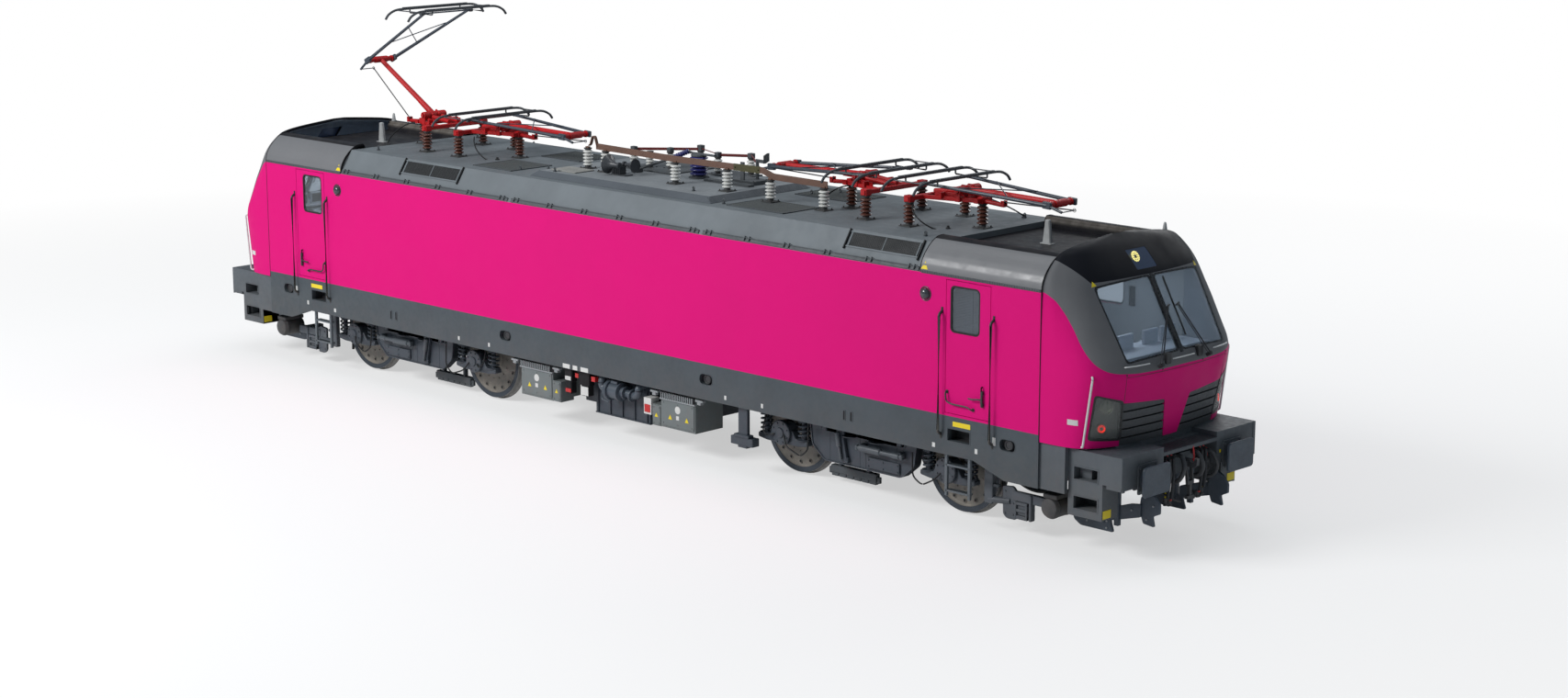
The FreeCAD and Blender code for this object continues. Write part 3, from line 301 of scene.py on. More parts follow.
def carved(part, cutter, way):
    """One closed piece less another, or what they share, by Blender's exact Boolean."""
    block = bpy.data.objects.new("block", mesh_of("block", part))
    tool = bpy.data.objects.new("tool", mesh_of("tool", cutter))
    for made in (block, tool):
        bpy.context.scene.collection.objects.link(made)
    cut = block.modifiers.new("cut", "BOOLEAN")
    cut.solver = "EXACT"
    cut.operation = way
    cut.object = tool
    result = block.evaluated_get(bpy.context.evaluated_depsgraph_get()).to_mesh()
    points = np.empty(len(result.vertices) * 3)
    result.vertices.foreach_get("co", points)
    corners = np.empty(len(result.loops), int)
    result.loops.foreach_get("vertex_index", corners)
    counts = np.empty(len(result.polygons), int)
    result.polygons.foreach_get("loop_total", counts)
    for made in (block, tool):
        bpy.data.objects.remove(made)
    return points.reshape(-1, 3), corners, counts


def rounded_outline(corners, radius, steps=6):
    """A flat outline with its corners rounded: at each corner a bend from one edge's point to the next
    one's, (1-t)^2 A + 2t(1-t) C + t^2 B, A and B lying a radius away from corner C."""
    c = np.asarray(corners, float)
    back = np.roll(c, 1, 0) - c
    on = np.roll(c, -1, 0) - c
    a = c + back / np.linalg.norm(back, axis=1, keepdims=True) * radius
    b = c + on / np.linalg.norm(on, axis=1, keepdims=True) * radius
    t = np.linspace(0, 1, steps)[None, :, None]
    bend = (1 - t) ** 2 * a[:, None] + 2 * t * (1 - t) * c[:, None] + t ** 2 * b[:, None]
    return bend.reshape(-1, c.shape[1])


def extruded(outline, along):
    """A flat outline of points carried along a straight way, closed at both ends. It runs anticlockwise
    when seen from the far end of that way."""
    n = len(outline)
    points = np.concatenate([outline, outline + np.asarray(along)])
    k = np.arange(n)
    after = (k + 1) % n
    sides = np.stack([k, after, after + n, k + n], 1).ravel()
    corners = np.concatenate([sides, k[::-1], k + n])
    return points, corners, np.concatenate([np.full(n, 4), [n, n]])


def upright(outline, axis, place, depth):
    """A flat outline of pairs set square to an axis at a place, then carried a depth along it."""
    flat = np.asarray(outline, float)
    order = {"x": (1, 2), "y": (2, 0), "z": (0, 1)}[axis]
    if axis == "y":
        flat = flat[:, ::-1]
    area = 0.5 * np.sum(flat[:, 0] * np.roll(flat[:, 1], -1) - np.roll(flat[:, 0], -1) * flat[:, 1])
    if area < 0:
        flat = flat[::-1]
    points = np.zeros((len(flat), 3))
    points[:, order[0]] = flat[:, 0]
    points[:, order[1]] = flat[:, 1]
    at = "xyz".index(axis)
    points[:, at] = place
    way = np.zeros(3)
    way[at] = depth
    return extruded(points, way)


# the windscreen opening: the slope it lies in, and one pane's corners as (y, way up the slope)
SCREEN_FOOT = np.array((9.16, 0.0, 2.513))
SCREEN_HEAD = np.array((8.642, 0.0, 3.415))
slope = (SCREEN_HEAD - SCREEN_FOOT) / np.linalg.norm(SCREEN_HEAD - SCREEN_FOOT)
facing = np.array((slope[2], 0.0, -slope[0]))
slope_length = np.linalg.norm(SCREEN_HEAD - SCREEN_FOOT)
PANE = [(0.03, 0.0), (1.01, 0.0), (1.062, slope_length), (0.03, slope_length)]


def slope_block(corners, below=-0.28, above=0.08):
    """A flat outline of (y, way up the slope) carried from below the screen's slope to above it."""
    flat = np.asarray(corners, float)
    points = SCREEN_FOOT + flat[:, 1:2] * slope + flat[:, 0:1] * np.array((0.0, 1.0, 0.0)) + facing * below
    return extruded(points, facing * (above - below))


def grown(corners, grow):
    """An opening's corners, each moved away from their middle by the same width both ways."""
    corners = np.array(corners)
    return corners + np.sign(corners - np.mean(corners, 0)) * grow


def screen_block(grow, below, above):
    """The pane's outline, grown, carried from below the slope to above it."""
    return slope_block(rounded_outline(grown(PANE, grow), 0.055), below, above)


# the lamp opening lies square to the nose's corner: (way round the corner, height)
CORNER = np.array((0.6, 0.8, 0.0))
CORNER_OUT = np.array((0.8, -0.6, 0.0))
LAMP_CORNERS = [(4.16, 1.515), (4.612, 1.48), (4.612, 2.0), (4.222, 2.1)]
LAMP_REACH = (7.2, 8.6)


def lamp_block(grow):
    """The lamp's outline on the right corner, grown, carried outward along the corner's facing."""
    near, far = LAMP_REACH
    flat = rounded_outline(grown(LAMP_CORNERS, grow), 0.05)
    points = flat[:, 0:1] * CORNER + flat[:, 1:2] * np.array((0.0, 0.0, 1.0)) + CORNER_OUT * near
    return extruded(points, CORNER_OUT * (far - near))


def rectangle(a0, a1, b0, b1):
    """A rectangle's four corners, anticlockwise from its low one."""
    return [(a0, b0), (a1, b0), (a1, b1), (a0, b1)]


# the air grille left of the middle and the upper lamp's window: (y, height), and how far along each is cut
GRILLE_CORNERS = [(0.14, 1.388), (0.962, 1.392), (1.04, 1.972), (0.262, 1.916)]
GRILLE_REACH = (8.6, 9.4)
TOP_WINDOW = rectangle(-0.205, 0.205, 3.478, 3.705)
TOP_WINDOW_FAR = 8.8


def grille_block(grow):
    """The grille's outline, grown, carried along the length."""
    near, far = GRILLE_REACH
    return upright(rounded_outline(grown(GRILLE_CORNERS, grow), 0.02, 4), "x", near, far - near)


def top_window_block(grow, near):
    """The upper lamp's window, grown, carried along the length."""
    return upright(rounded_outline(grown(TOP_WINDOW, grow), 0.02, 4), "x", near, TOP_WINDOW_FAR - near)


def opened(part, grow, below, window_near):
    """A nose skin cut open for the screens and the upper lamp, then for the grilles, then for the lamps."""
    screens = joined(both_sides(screen_block(grow, below, 0.1)), top_window_block(0.0, window_near))
    for opening in (screens, both_sides(grille_block(0.0)), both_sides(lamp_block(0.0))):
        part = carved(part, opening, "DIFFERENCE")
    return part


NOSE_WALL = 0.045
skin = nose_surface(110, 190)
shell = opened(slab(skin, inward(skin, NOSE_WALL)), 0.0, -0.3, 8.25)


def plain_finish(name):
    """An empty material: its tree, its shader and the point on the piece."""
    finish = bpy.data.materials.new(name)
    finish.use_nodes = True
    tree = finish.node_tree
    shader = tree.nodes["Principled BSDF"]
    place = tree.nodes.new("ShaderNodeTexCoord").outputs["Object"]
    return finish, tree, shader, place


def noise(tree, place, scale, detail=4.0, rough=0.55):
    """Cloudy noise over the piece, so many blotches to the metre."""
    made = tree.nodes.new("ShaderNodeTexNoise")
    made.inputs["Scale"].default_value = scale
    made.inputs["Detail"].default_value = detail
    made.inputs["Roughness"].default_value = rough
    tree.links.new(place, made.inputs["Vector"])
    return made.outputs["Fac"]


def spread_to(tree, value, low, high, from_low=0.0, from_high=1.0):
    """A value read between two ends and laid out between two others."""
    made = tree.nodes.new("ShaderNodeMapRange")
    made.inputs["From Min"].default_value = from_low
    made.inputs["From Max"].default_value = from_high
    made.inputs["To Min"].default_value = low
    made.inputs["To Max"].default_value = high
    tree.links.new(value, made.inputs["Value"])
    return made.outputs["Result"]


def sum_of(tree, way, a, b):
    """Two values, or a value and a number, put together by a Math node."""
    made = tree.nodes.new("ShaderNodeMath")
    made.operation = way
    for socket, value in zip(made.inputs, (a, b)):
        if isinstance(value, (int, float)):
            socket.default_value = value
        else:
            tree.links.new(value, socket)
    return made.outputs["Value"]


def mixed(tree, share, a, b):
    """Two colours, each a socket or three numbers, mixed in a share."""
    made = tree.nodes.new("ShaderNodeMix")
    made.data_type = "RGBA"
    colours = [s for s in made.inputs if s.type == "RGBA"]
    for socket, value in zip(colours, (a, b)):
        if isinstance(value, tuple):
            socket.default_value = (*value, 1.0)
        else:
            tree.links.new(value, socket)
    if isinstance(share, float):
        made.inputs[0].default_value = share
    else:
        tree.links.new(share, made.inputs[0])
    return [s for s in made.outputs if s.type == "RGBA"][0]


def axes(tree, place):
    """The three measures of a place on the piece."""
    made = tree.nodes.new("ShaderNodeSeparateXYZ")
    tree.links.new(place, made.inputs[0])
    return made.outputs


def weathered(tree, shader, place, colour, gloss, mottle=0.05, blotch=1.4, grain=90.0, bump=0.0006, dirt=0.0,
        dirt_low=0.9, dirt_top=1.9, dirt_colour=(0.16, 0.13, 0.1)):
    """A finish that isn't quite even: blotches in the colour, streaks in the gloss, a fine grain, and brown
    dust that grows towards the rails."""
    cloud = noise(tree, place, blotch)
    fine = noise(tree, place, grain, 3.0)
    shade = mixed(tree, spread_to(tree, cloud, 0.0, mottle * 4, 0.35, 0.7), colour, (0.02, 0.02, 0.022))
    if dirt:
        height = axes(tree, place)[2]
        low = spread_to(tree, height, 1.0, 0.0, dirt_low, dirt_top)
        patchy = spread_to(tree, noise(tree, place, 5.5, 6.0, 0.7), 0.25, 1.0, 0.35, 0.65)
        share = sum_of(tree, "MULTIPLY", sum_of(tree, "MULTIPLY", low, patchy), dirt)
        shade = mixed(tree, share, shade, dirt_colour)
    tree.links.new(shade, shader.inputs["Base Color"])
    tree.links.new(spread_to(tree, noise(tree, place, blotch * 6), gloss * 0.8, gloss * 1.25, 0.3, 0.7),
        shader.inputs["Roughness"])
    relief = tree.nodes.new("ShaderNodeBump")
    relief.inputs["Strength"].default_value = 0.35
    relief.inputs["Distance"].default_value = bump
    tree.links.new(fine, relief.inputs["Height"])
    tree.links.new(relief.outputs["Normal"], shader.inputs["Normal"])
    return shade


MAGENTA = (0.64, 0.0065, 0.166)
SHELL_GREY = (0.15, 0.152, 0.158)
BAND_BLACK = (0.012, 0.013, 0.017)
nose_paint, tree, shader, place = plain_finish("nose_paint")
x, y, z = axes(tree, place)
length_way = sum_of(tree, "ABSOLUTE", x, 0.0)
across_way = sum_of(tree, "ABSOLUTE", y, 0.0)
# the grey pillar's lower edge: its height over the length, high at the seam and level across the front
edge = tree.nodes.new("ShaderNodeFloatCurve")
line = edge.mapping.curves[0]
EDGE_LINE = [(8.1, 3.315), (8.16, 3.3), (8.255, 3.235), (8.37, 3.12), (8.515, 2.935), (8.67, 2.69), (8.795,
    2.535), (8.905, 2.435), (9.0, 2.375), (9.08, 2.352), (9.2, 2.35)]
for k, (at, height) in enumerate(EDGE_LINE):
    spot = ((at - 8.1) / 1.1, (height - 2.3) / 1.1)
    if k in (0, len(EDGE_LINE) - 1):
        line.points[0 if k == 0 else 1].location = spot
    else:
        line.points.new(*spot)
edge.mapping.update()
tree.links.new(sum_of(tree, "DIVIDE", sum_of(tree, "SUBTRACT", length_way, 8.1), 1.1), edge.inputs["Value"])
line_height = sum_of(tree, "ADD", sum_of(tree, "MULTIPLY", edge.outputs["Value"], 1.1), 2.3)
grey_part = spread_to(tree, sum_of(tree, "SUBTRACT", z, line_height), 0.0, 1.0, -0.003, 0.003)
band_half = sum_of(tree, "ADD", sum_of(tree, "MULTIPLY", sum_of(tree, "SUBTRACT", z, 3.42), 0.72), 1.075)
inside_band = spread_to(tree, sum_of(tree, "SUBTRACT", band_half, across_way), 0.0, 1.0, -0.003, 0.003)
above_screen = spread_to(tree, z, 0.0, 1.0, 3.414, 3.42)
black_part = sum_of(tree, "MULTIPLY", inside_band, above_screen)
weathered(tree, shader, place, MAGENTA, 0.42, 0.01, 0.7, 60.0, 0.0001)
shader.inputs["Specular IOR Level"].default_value = 0.05
magenta = shader.inputs["Base Color"].links[0].from_socket
grey = mixed(tree, spread_to(tree, noise(tree, place, 2.0), 0.0, 0.12, 0.35, 0.7), SHELL_GREY, (0.02, 0.02,
    0.02))
two = mixed(tree, grey_part, magenta, grey)
tree.links.new(mixed(tree, black_part, two, BAND_BLACK), shader.inputs["Base Color"])
piece("nose_shells", both_ends(shell), nose_paint, stands_for="cab_noses", crease=25.0)

# ------------------------------------------------------------------ windscreens
# Two bonded panes of laminated glass, let in flush behind a black printed edge. Each follows the nose's own
# curve from the middle post to the pillar at its corner.
sheet_out = inward(skin, 0.01)
panes = carved(slab(sheet_out, inward(skin, 0.018)), both_sides(screen_block(0.012, -0.28, 0.08)),
    "INTERSECT")
screen_glass, tree, shader, place = plain_finish("screen_glass")
shader.inputs["Base Color"].default_value = (0.62, 0.7, 0.78, 1.0)
shader.inputs["Transmission Weight"].default_value = 0.92
shader.inputs["IOR"].default_value = 1.12
tree.links.new(spread_to(tree, noise(tree, place, 3.0), 0.03, 0.09, 0.3, 0.7), shader.inputs["Roughness"])
piece("windscreen_panes", both_ends(panes), screen_glass, stands_for="windscreens",
    crease=25.0)

# ------------------------------------------------------------------ wipers
# Two wipers hang from pivots below the screens: a driven arm with a steadying rod beside it, and a long
# rubber blade that stands upright on the glass by the middle post.
def frames_along(route):
    """Two directions square to a route at every point, kept from turning by carrying the first one
    along."""
    way = np.gradient(route, axis=0)
    way /= np.maximum(np.linalg.norm(way, axis=1, keepdims=True), 1e-12)
    start = np.array((0.0, 0.0, 1.0)) if abs(way[0, 2]) < 0.9 else np.array((1.0, 0.0, 0.0))
    first = start - way * (way @ start)[:, None]
    first /= np.maximum(np.linalg.norm(first, axis=1, keepdims=True), 1e-9)
    return first, np.cross(way, first)


def bend_route(stops, radius=0.03, steps=5):
    """A route through the stops with each bend eased: (1-t)^2 A + 2t(1-t) C + t^2 B round every inner
    stop."""
    c = np.asarray(stops, float)
    if len(c) < 3:
        return c
    back = c[:-2] - c[1:-1]
    on = c[2:] - c[1:-1]
    long_back = np.linalg.norm(back, axis=1, keepdims=True)
    long_on = np.linalg.norm(on, axis=1, keepdims=True)
    a = c[1:-1] + back / long_back * np.minimum(radius, long_back * 0.45)
    b = c[1:-1] + on / long_on * np.minimum(radius, long_on * 0.45)
    t = np.linspace(0, 1, steps)[None, :, None]
    bends = (1 - t) ** 2 * a[:, None] + 2 * t * (1 - t) * c[1:-1, None] + t ** 2 * b[:, None]
    return np.vstack([c[:1], bends.reshape(-1, 3), c[-1:]])


def capped(rings):
    """Rings of points skinned each to the next, with a flat cap over the first and the last."""
    points, corners, counts = grid(rings, wrap=True)
    n = rings.shape[1]
    k = np.arange(n)
    return points, np.concatenate([corners, k[::-1], k + len(points) - n]), np.concatenate([counts, [n, n]])


def tube(route, radius, sides=10):
    """A round bar carried along a route: C(s) + r(cos a N(s) + sin a B(s)), with a flat cap at each end."""
    route = np.asarray(route, float)
    first, second = frames_along(route)
    angle = np.linspace(0, 2 * math.pi, sides, endpoint=False)
    ring = np.cos(angle)[None, :, None] * first[:, None] + np.sin(angle)[None, :, None] * second[:, None]
    wide = np.broadcast_to(np.asarray(radius, float), (len(route),))[:, None, None]
    return capped(route[:, None] + ring * wide)


def on_screen(y, way_up, lift):
    """A point over the glass: y across, a way up the slope, lifted square to it."""
    spot = SCREEN_FOOT + slope * way_up + facing * lift
    return (spot[0], y, spot[2])


def paint(name, colour, gloss, specular=0.5, metal=0.0, **more):
    """A weathered paint: its own colour and gloss."""
    made, tree, shader, place = plain_finish(name)
    shader.inputs["Specular IOR Level"].default_value = specular
    shader.inputs["Metallic"].default_value = metal
    weathered(tree, shader, place, colour, gloss, **more)
    return made


wiper_black = paint("wiper_black", (0.02, 0.02, 0.022), 0.5, mottle=0.02, blotch=8.0, grain=200.0,
    bump=0.0003)
wiper_parts = []
for pivot, elbow, top, low in [(-0.53, 0.0, -0.085, -0.08), (0.47, 0.2, 0.155, 0.145)]:
    wiper_parts += [tube([on_screen(pivot, -0.13, -0.03), on_screen(pivot, -0.13, 0.045)], 0.026, 14),
        tube(bend_route([on_screen(pivot, -0.13, 0.035), on_screen(elbow, 0.58, 0.06)]), 0.009, 8),
        tube(bend_route([on_screen(pivot - 0.05, -0.12, 0.035), on_screen(elbow - 0.03, 0.56, 0.062)]), 0.006,
        8), tube([on_screen(elbow - 0.04, 0.565, 0.06), on_screen(elbow + 0.02, 0.585, 0.06)], 0.014, 8),
        tube([on_screen(elbow, 0.58, 0.052), on_screen((top + low) / 2, 0.56, 0.036)], 0.007, 8),
        tube([on_screen(low, 0.17, 0.03), on_screen(top, 0.97, 0.034)], [0.008, 0.011], 6),
        tube([on_screen(low, 0.18, 0.018), on_screen(top, 0.96, 0.02)], 0.005, 6)]
piece("wipers", both_ends(joined(*wiper_parts)), wiper_black, crease=40)

# ------------------------------------------------------------------ nose lamps
# Each headlamp is a clear moulded cover in a dark rubber frame over a grey reflector tray, with a white
# lamp above and a red ring below. The upper lamp is a ring of small emitters behind its own window.
def square_to(axis):
    """An axis made one long, and two directions square to it and to each other."""
    axis = np.asarray(axis, float) / np.linalg.norm(axis)
    first = np.cross(axis, (0.0, 0.0, 1.0) if abs(axis[2]) < 0.9 else (1.0, 0.0, 0.0))
    first /= np.linalg.norm(first)
    return axis, first, np.cross(axis, first)


def dome(centre, axis, radius, height, rings=8, sides=28):
    """A shallow round cap: radius r sin a, rise h cos a, turned about the axis, closed by a flat back."""
    axis, first, second = square_to(axis)
    a = np.linspace(math.pi / 2, 0.02, rings)
    turn = np.linspace(0, 2 * math.pi, sides, endpoint=False)
    flat = np.sin(a)[:, None, None] * radius * (np.cos(turn)[None, :, None] * first + np.sin(turn)[None, :,
        None] * second)
    return capped(np.asarray(centre) + flat + (np.cos(a) * height)[:, None, None] * axis)


def ring_of(centre, axis, radius, thick, around=40, sides=12):
    """A torus: the thick circle carried round the wide one, (R + r cos b) out and r sin b along."""
    axis, first, second = square_to(axis)
    a = np.linspace(0, 2 * math.pi, around + 1)
    b = np.linspace(0, 2 * math.pi, sides, endpoint=False)
    out = np.cos(a)[:, None, None] * first + np.sin(a)[:, None, None] * second
    points = np.asarray(centre) + out * (radius + thick * np.cos(b))[None, :,
        None] + axis * (thick * np.sin(b))[None, :, None]
    whole = grid(points[:-1], wrap=True)
    n = around * sides
    k = np.arange(sides)
    close = np.stack([n - sides + k, n - sides + (k + 1) % sides, (k + 1) % sides, k], 1)
    return whole[0], np.concatenate([whole[1], close.ravel()]), np.concatenate([whole[2], np.full(sides, 4)])


cover = carved(slab(inward(skin, 0.004), inward(skin, 0.01)), lamp_block(-0.022), "INTERSECT")
tray = carved(slab(inward(skin, 0.075), inward(skin, 0.085)), lamp_block(0.03), "INTERSECT")
rubber = carved(slab(inward(skin, -0.004), inward(skin, 0.08)), lamp_block(0.003), "INTERSECT")
rubber = carved(rubber, lamp_block(-0.022), "DIFFERENCE")
top_cover = carved(slab(inward(skin, 0.003), inward(skin, 0.01)), top_window_block(-0.001, 8.2), "INTERSECT")
lamp_glass, tree, shader, place = plain_finish("lamp_glass")
shader.inputs["Base Color"].default_value = (0.2, 0.21, 0.2, 1.0)
shader.inputs["Alpha"].default_value = 0.3
tree.links.new(spread_to(tree, noise(tree, place, 3.0), 0.05, 0.12, 0.3, 0.7), shader.inputs["Roughness"])
piece("lamp_covers", at_corners(cover), lamp_glass, stands_for="lamp_units", crease=25)
lamp_tray = paint("lamp_tray", (0.16, 0.17, 0.15), 0.28, mottle=0.05, blotch=6.0, grain=150.0, bump=0.0004)
piece("lamp_trays", at_corners(tray), lamp_tray)
lamp_rubber = paint("lamp_rubber", (0.013, 0.014, 0.015), 0.45, mottle=0.02, blotch=6.0, grain=150.0,
    bump=0.0004)
piece("lamp_frames", at_corners(rubber), lamp_rubber, crease=30)
top_glass = paint("top_window_glass", (0.04, 0.062, 0.12), 0.1, mottle=0.02, blotch=5.0, grain=90.0,
    bump=0.0001)
piece("top_lamp_windows", both_ends(top_cover), top_glass, crease=25)
# the lamps themselves: middle, facing, radius
LAMPS = [((8.932, -1.218, 1.93), 0.088), ((8.872, -1.23, 1.655), 0.06)]
reflector = paint("reflector", (0.24, 0.25, 0.2), 0.3, metal=1.0, mottle=0.03, blotch=9.0, grain=260.0,
    bump=0.0004)
bowls = [joined(dome(np.array(at) - CORNER_OUT * 0.035, CORNER_OUT, r, 0.022),
    ring_of(np.array(at) - CORNER_OUT * 0.03, CORNER_OUT, r, 0.007)) for at, r in LAMPS]
piece("lamp_bowls", at_corners(joined(*bowls)), reflector, crease=40)


def bead_ring(centre, axis, radius, count, size):
    """Small round lamps set evenly round a circle."""
    axis, first, second = square_to(axis)
    a = np.linspace(0, 2 * math.pi, count, endpoint=False)
    spots = np.asarray(centre) + radius * (np.cos(a)[:, None] * first + np.sin(a)[:, None] * second)
    return joined(*[dome(s, axis, size, size * 0.5, 4, 10) for s in spots])


def glowing(name, colour, strength):
    """A lit lamp's face: plain colour that gives its own light, with a fine prism pattern in its gloss."""
    made, tree, shader, place = plain_finish(name)
    shader.inputs["Base Color"].default_value = (*colour, 1.0)
    shader.inputs["Emission Color"].default_value = (*colour, 1.0)
    shader.inputs["Emission Strength"].default_value = strength
    tree.links.new(spread_to(tree, noise(tree, place, 120.0), 0.15, 0.35, 0.3, 0.7),
        shader.inputs["Roughness"])
    return made


red_lamp = glowing("red_lamp", (0.85, 0.03, 0.012), 0.8)
yellow_lamp = glowing("yellow_lamp", (0.9, 0.8, 0.28), 0.7)
at, r = LAMPS[1]
piece("tail_lamps", at_corners(joined(bead_ring(np.array(at) - CORNER_OUT * 0.012, CORNER_OUT, r * 0.62, 12,
    0.015), ring_of(np.array(at) - CORNER_OUT * 0.016, CORNER_OUT, r * 0.6, 0.014))), red_lamp)
TOP_LAMP_AT = (8.47, -0.105, 3.625)
TOP_LAMP_FACE = (0.86, 0.0, 0.51)
piece("top_lamps", both_ends(joined(bead_ring(TOP_LAMP_AT, TOP_LAMP_FACE, 0.062, 14, 0.014),
    bead_ring(TOP_LAMP_AT, TOP_LAMP_FACE, 0.036, 8, 0.012))), yellow_lamp)

# ------------------------------------------------------------------ nose grilles
# Cooling air goes in through five dark slats on each side of the magenta middle. A fine dark mesh lies
# close behind them.
slat_skin = slab(inward(skin, 0.006), inward(skin, 0.032))
back_skin = slab(inward(skin, 0.034), inward(skin, 0.042))
SLAT_COUNT = 5
SLAT_FOOT = 1.388
SLAT_HEAD = 1.972
SLAT_STEP = (SLAT_HEAD - SLAT_FOOT) / SLAT_COUNT
bars = []
for k in range(SLAT_COUNT):
    foot = SLAT_FOOT + k * SLAT_STEP
    bars.append(upright(rectangle(0.05, 1.2, foot + 0.011, foot + SLAT_STEP - 0.011), "x", 8.7, 0.6))
slats = carved(carved(slat_skin, grille_block(-0.002), "INTERSECT"), joined(*bars), "INTERSECT")
mesh_back = carved(back_skin, grille_block(-0.001), "INTERSECT")
slat_grey = paint("slat_grey", (0.043, 0.049, 0.055), 0.5, mottle=0.06, blotch=5.0, grain=160.0, bump=0.0006)
piece("nose_slats", at_corners(slats), slat_grey, stands_for="nose_grilles")
mesh_black = paint("mesh_black", (0.008, 0.008, 0.009), 0.7, mottle=0.02, blotch=5.0, grain=300.0, bump=0.001)
piece("nose_grille_backs", at_corners(mesh_back), mesh_black)

# ------------------------------------------------------------------ screen and nose trim
# The panes' edges are printed black and a black post parts them. Below them run pale grab bars and the
# wipers' motor boxes; inside, the nose is lined with grey moulding.
thin = slab(inward(skin, 0.003), inward(skin, 0.011))
border = carved(thin, both_sides(screen_block(0.006, -0.28, 0.08)), "INTERSECT")
border = carved(border, both_sides(screen_block(-0.026, -0.3, 0.1)), "DIFFERENCE")
raised = slab(inward(skin, -0.006), inward(skin, 0.006))
post = carved(raised, slope_block(rectangle(-0.03, 0.03, -0.02, slope_length + 0.01)), "INTERSECT")
print_black = paint("print_black", (0.01, 0.011, 0.013), 0.28, mottle=0.02, blotch=6.0, grain=150.0,
    bump=0.0001)
piece("screen_borders", both_ends(joined(border, post)), print_black, crease=25)
mark = carved(slab(inward(skin, -0.002), inward(skin, 0.004)), slope_block([(-1.085, slope_length + 0.006),
    (-1.01, slope_length + 0.006), (-1.045, slope_length + 0.075)], -0.4, 0.1), "INTERSECT")
mark_yellow = paint("mark_yellow", (0.8, 0.62, 0.015), 0.4, mottle=0.03, blotch=6.0, grain=150.0, bump=0.0001)
piece("screen_marks", at_corners(mark), mark_yellow, crease=25)
lining_skin = skin[4:, :]
lining = slab(inward(lining_skin, NOSE_WALL + 0.0005), inward(lining_skin, NOSE_WALL + 0.008))
lining = opened(lining, 0.004, -0.34, 8.2)
lining_grey = paint("lining_grey", (0.135, 0.168, 0.215), 0.65, mottle=0.04, blotch=3.0, grain=240.0,
    bump=0.0008)
piece("nose_linings", both_ends(lining), lining_grey, crease=30)


def on_nose(y, z, out=0.0):
    """The nose's skin at a place across and a height, or a little outside it along the skin's own
    normal."""
    row = int(np.argmin(np.abs(skin[:, 0, 2] - z)))
    column = int(np.argmin(np.abs(skin[row, :, 1] - y)))
    return inward(skin, -out)[row, column]


bar_parts = []
for y0, y1 in [(-1.05, -0.66), (-0.19, 0.22), (0.7, 1.04)]:
    inner = [on_nose(y, 2.425, 0.034) for y in np.linspace(y0 + 0.012, y1 - 0.012, 7)]
    bar_parts.append(tube(bend_route([on_nose(y0, 2.425, -0.004)] + inner + [on_nose(y1, 2.425, -0.004)],
        0.015, 4), 0.009, 10))
bar_pale = paint("bar_pale", (0.55, 0.56, 0.56), 0.35, mottle=0.03, blotch=9.0, grain=200.0, bump=0.0002)
piece("nose_grab_bars", both_ends(joined(*bar_parts)), bar_pale, crease=40)
catch_parts = [dome(on_nose(y, 2.318, -0.002), (1, 0, 0.1), 0.013, 0.01, 4, 12) for y in (-1.02, -0.42, 0.42,
    1.02)]
box_outline = rounded_outline(rectangle(-0.048, 0.048, -0.068, 0.068), 0.014, 3)
for y in (-0.325, 0.338):
    spot = on_nose(y, 2.455, 0.0)
    catch_parts.append(upright(box_outline + (y, spot[2]), "x", spot[0] - 0.03, 0.075))
piece("nose_boxes", both_ends(joined(*catch_parts)), wiper_black, crease=35)
seam_stops = [(-1.0, 1.985), (-1.03, 2.3)] + [(y, 2.312) for y in np.linspace(-1.0, 1.0, 15)]
seam_stops += [(1.03, 2.3), (1.0, 1.985)]
seam_line = [on_nose(y, z, 0.0005) for y, z in seam_stops]
piece("nose_panel_seams", both_ends(tube(seam_line, 0.0035, 6)), wiper_black, crease=60)

# ------------------------------------------------------------------ roof panels
# The middle roof is folded sheet: two slopes and a flat, each slope with a framed air grille near both ends
# and a clamped strip along its foot.
def block_table():
    """A chamfered block's 24 corners and 26 faces for a unit cube: each cube corner gives one point on each
    of the three faces that meet there; faces, edge strips and corner triangles join them, turned to face
    outward."""
    corner = np.array([(i & 1, i >> 1 & 1, i >> 2 & 1) for i in range(8)])
    faces = []
    for a in range(3):
        b, c = (a + 1) % 3, (a + 2) % 3
        for side in (0, 1):
            ring = [sum(bit << axis for axis, bit in ((a, side), (b, p), (c, q))) for p, q in ((0, 0), (1, 0),
                (1, 1), (0, 1))]
            faces.append([a * 8 + k for k in (ring if side else ring[::-1])])
            for other in (0, 1):
                k0 = (side << b) | (other << c)
                k1 = k0 | (1 << a)
                strip = [b * 8 + k0, b * 8 + k1, c * 8 + k1, c * 8 + k0]
                faces.append(strip if side == other else strip[::-1])
    for k in range(8):
        odd = (k & 1) ^ (k >> 1 & 1) ^ (k >> 2 & 1)
        faces.append([k, 8 + k, 16 + k] if odd else [16 + k, 8 + k, k])
    return corner, faces


BLOCK_CORNERS, BLOCK_FACES = block_table()


def blocks(rows, bevel=0.004):
    """Chamfered blocks, one for each row of x0, x1, y0, y1, z0, z1: on each face the corners are drawn in
    by the bevel in that face's own two directions."""
    rows = np.atleast_2d(np.asarray(rows, float))
    low = np.minimum(rows[:, 0::2], rows[:, 1::2])
    high = np.maximum(rows[:, 0::2], rows[:, 1::2])
    sign = BLOCK_CORNERS * 2.0 - 1.0
    full = np.where(BLOCK_CORNERS[None] == 1, high[:, None], low[:, None])
    drawn = np.minimum(bevel, (high - low).min(1) * 0.3)[:, None, None] * sign[None]
    points = np.stack([full - drawn * (np.arange(3) != a) for a in range(3)], 1).reshape(len(rows), 24, 3)
    counts = np.array([len(f) for f in BLOCK_FACES])
    corners = np.concatenate([np.array(f) for f in BLOCK_FACES])
    start = np.arange(len(rows))[:, None] * 24
    return points.reshape(-1, 3), (corners[None] + start).ravel(), np.tile(counts, len(rows))


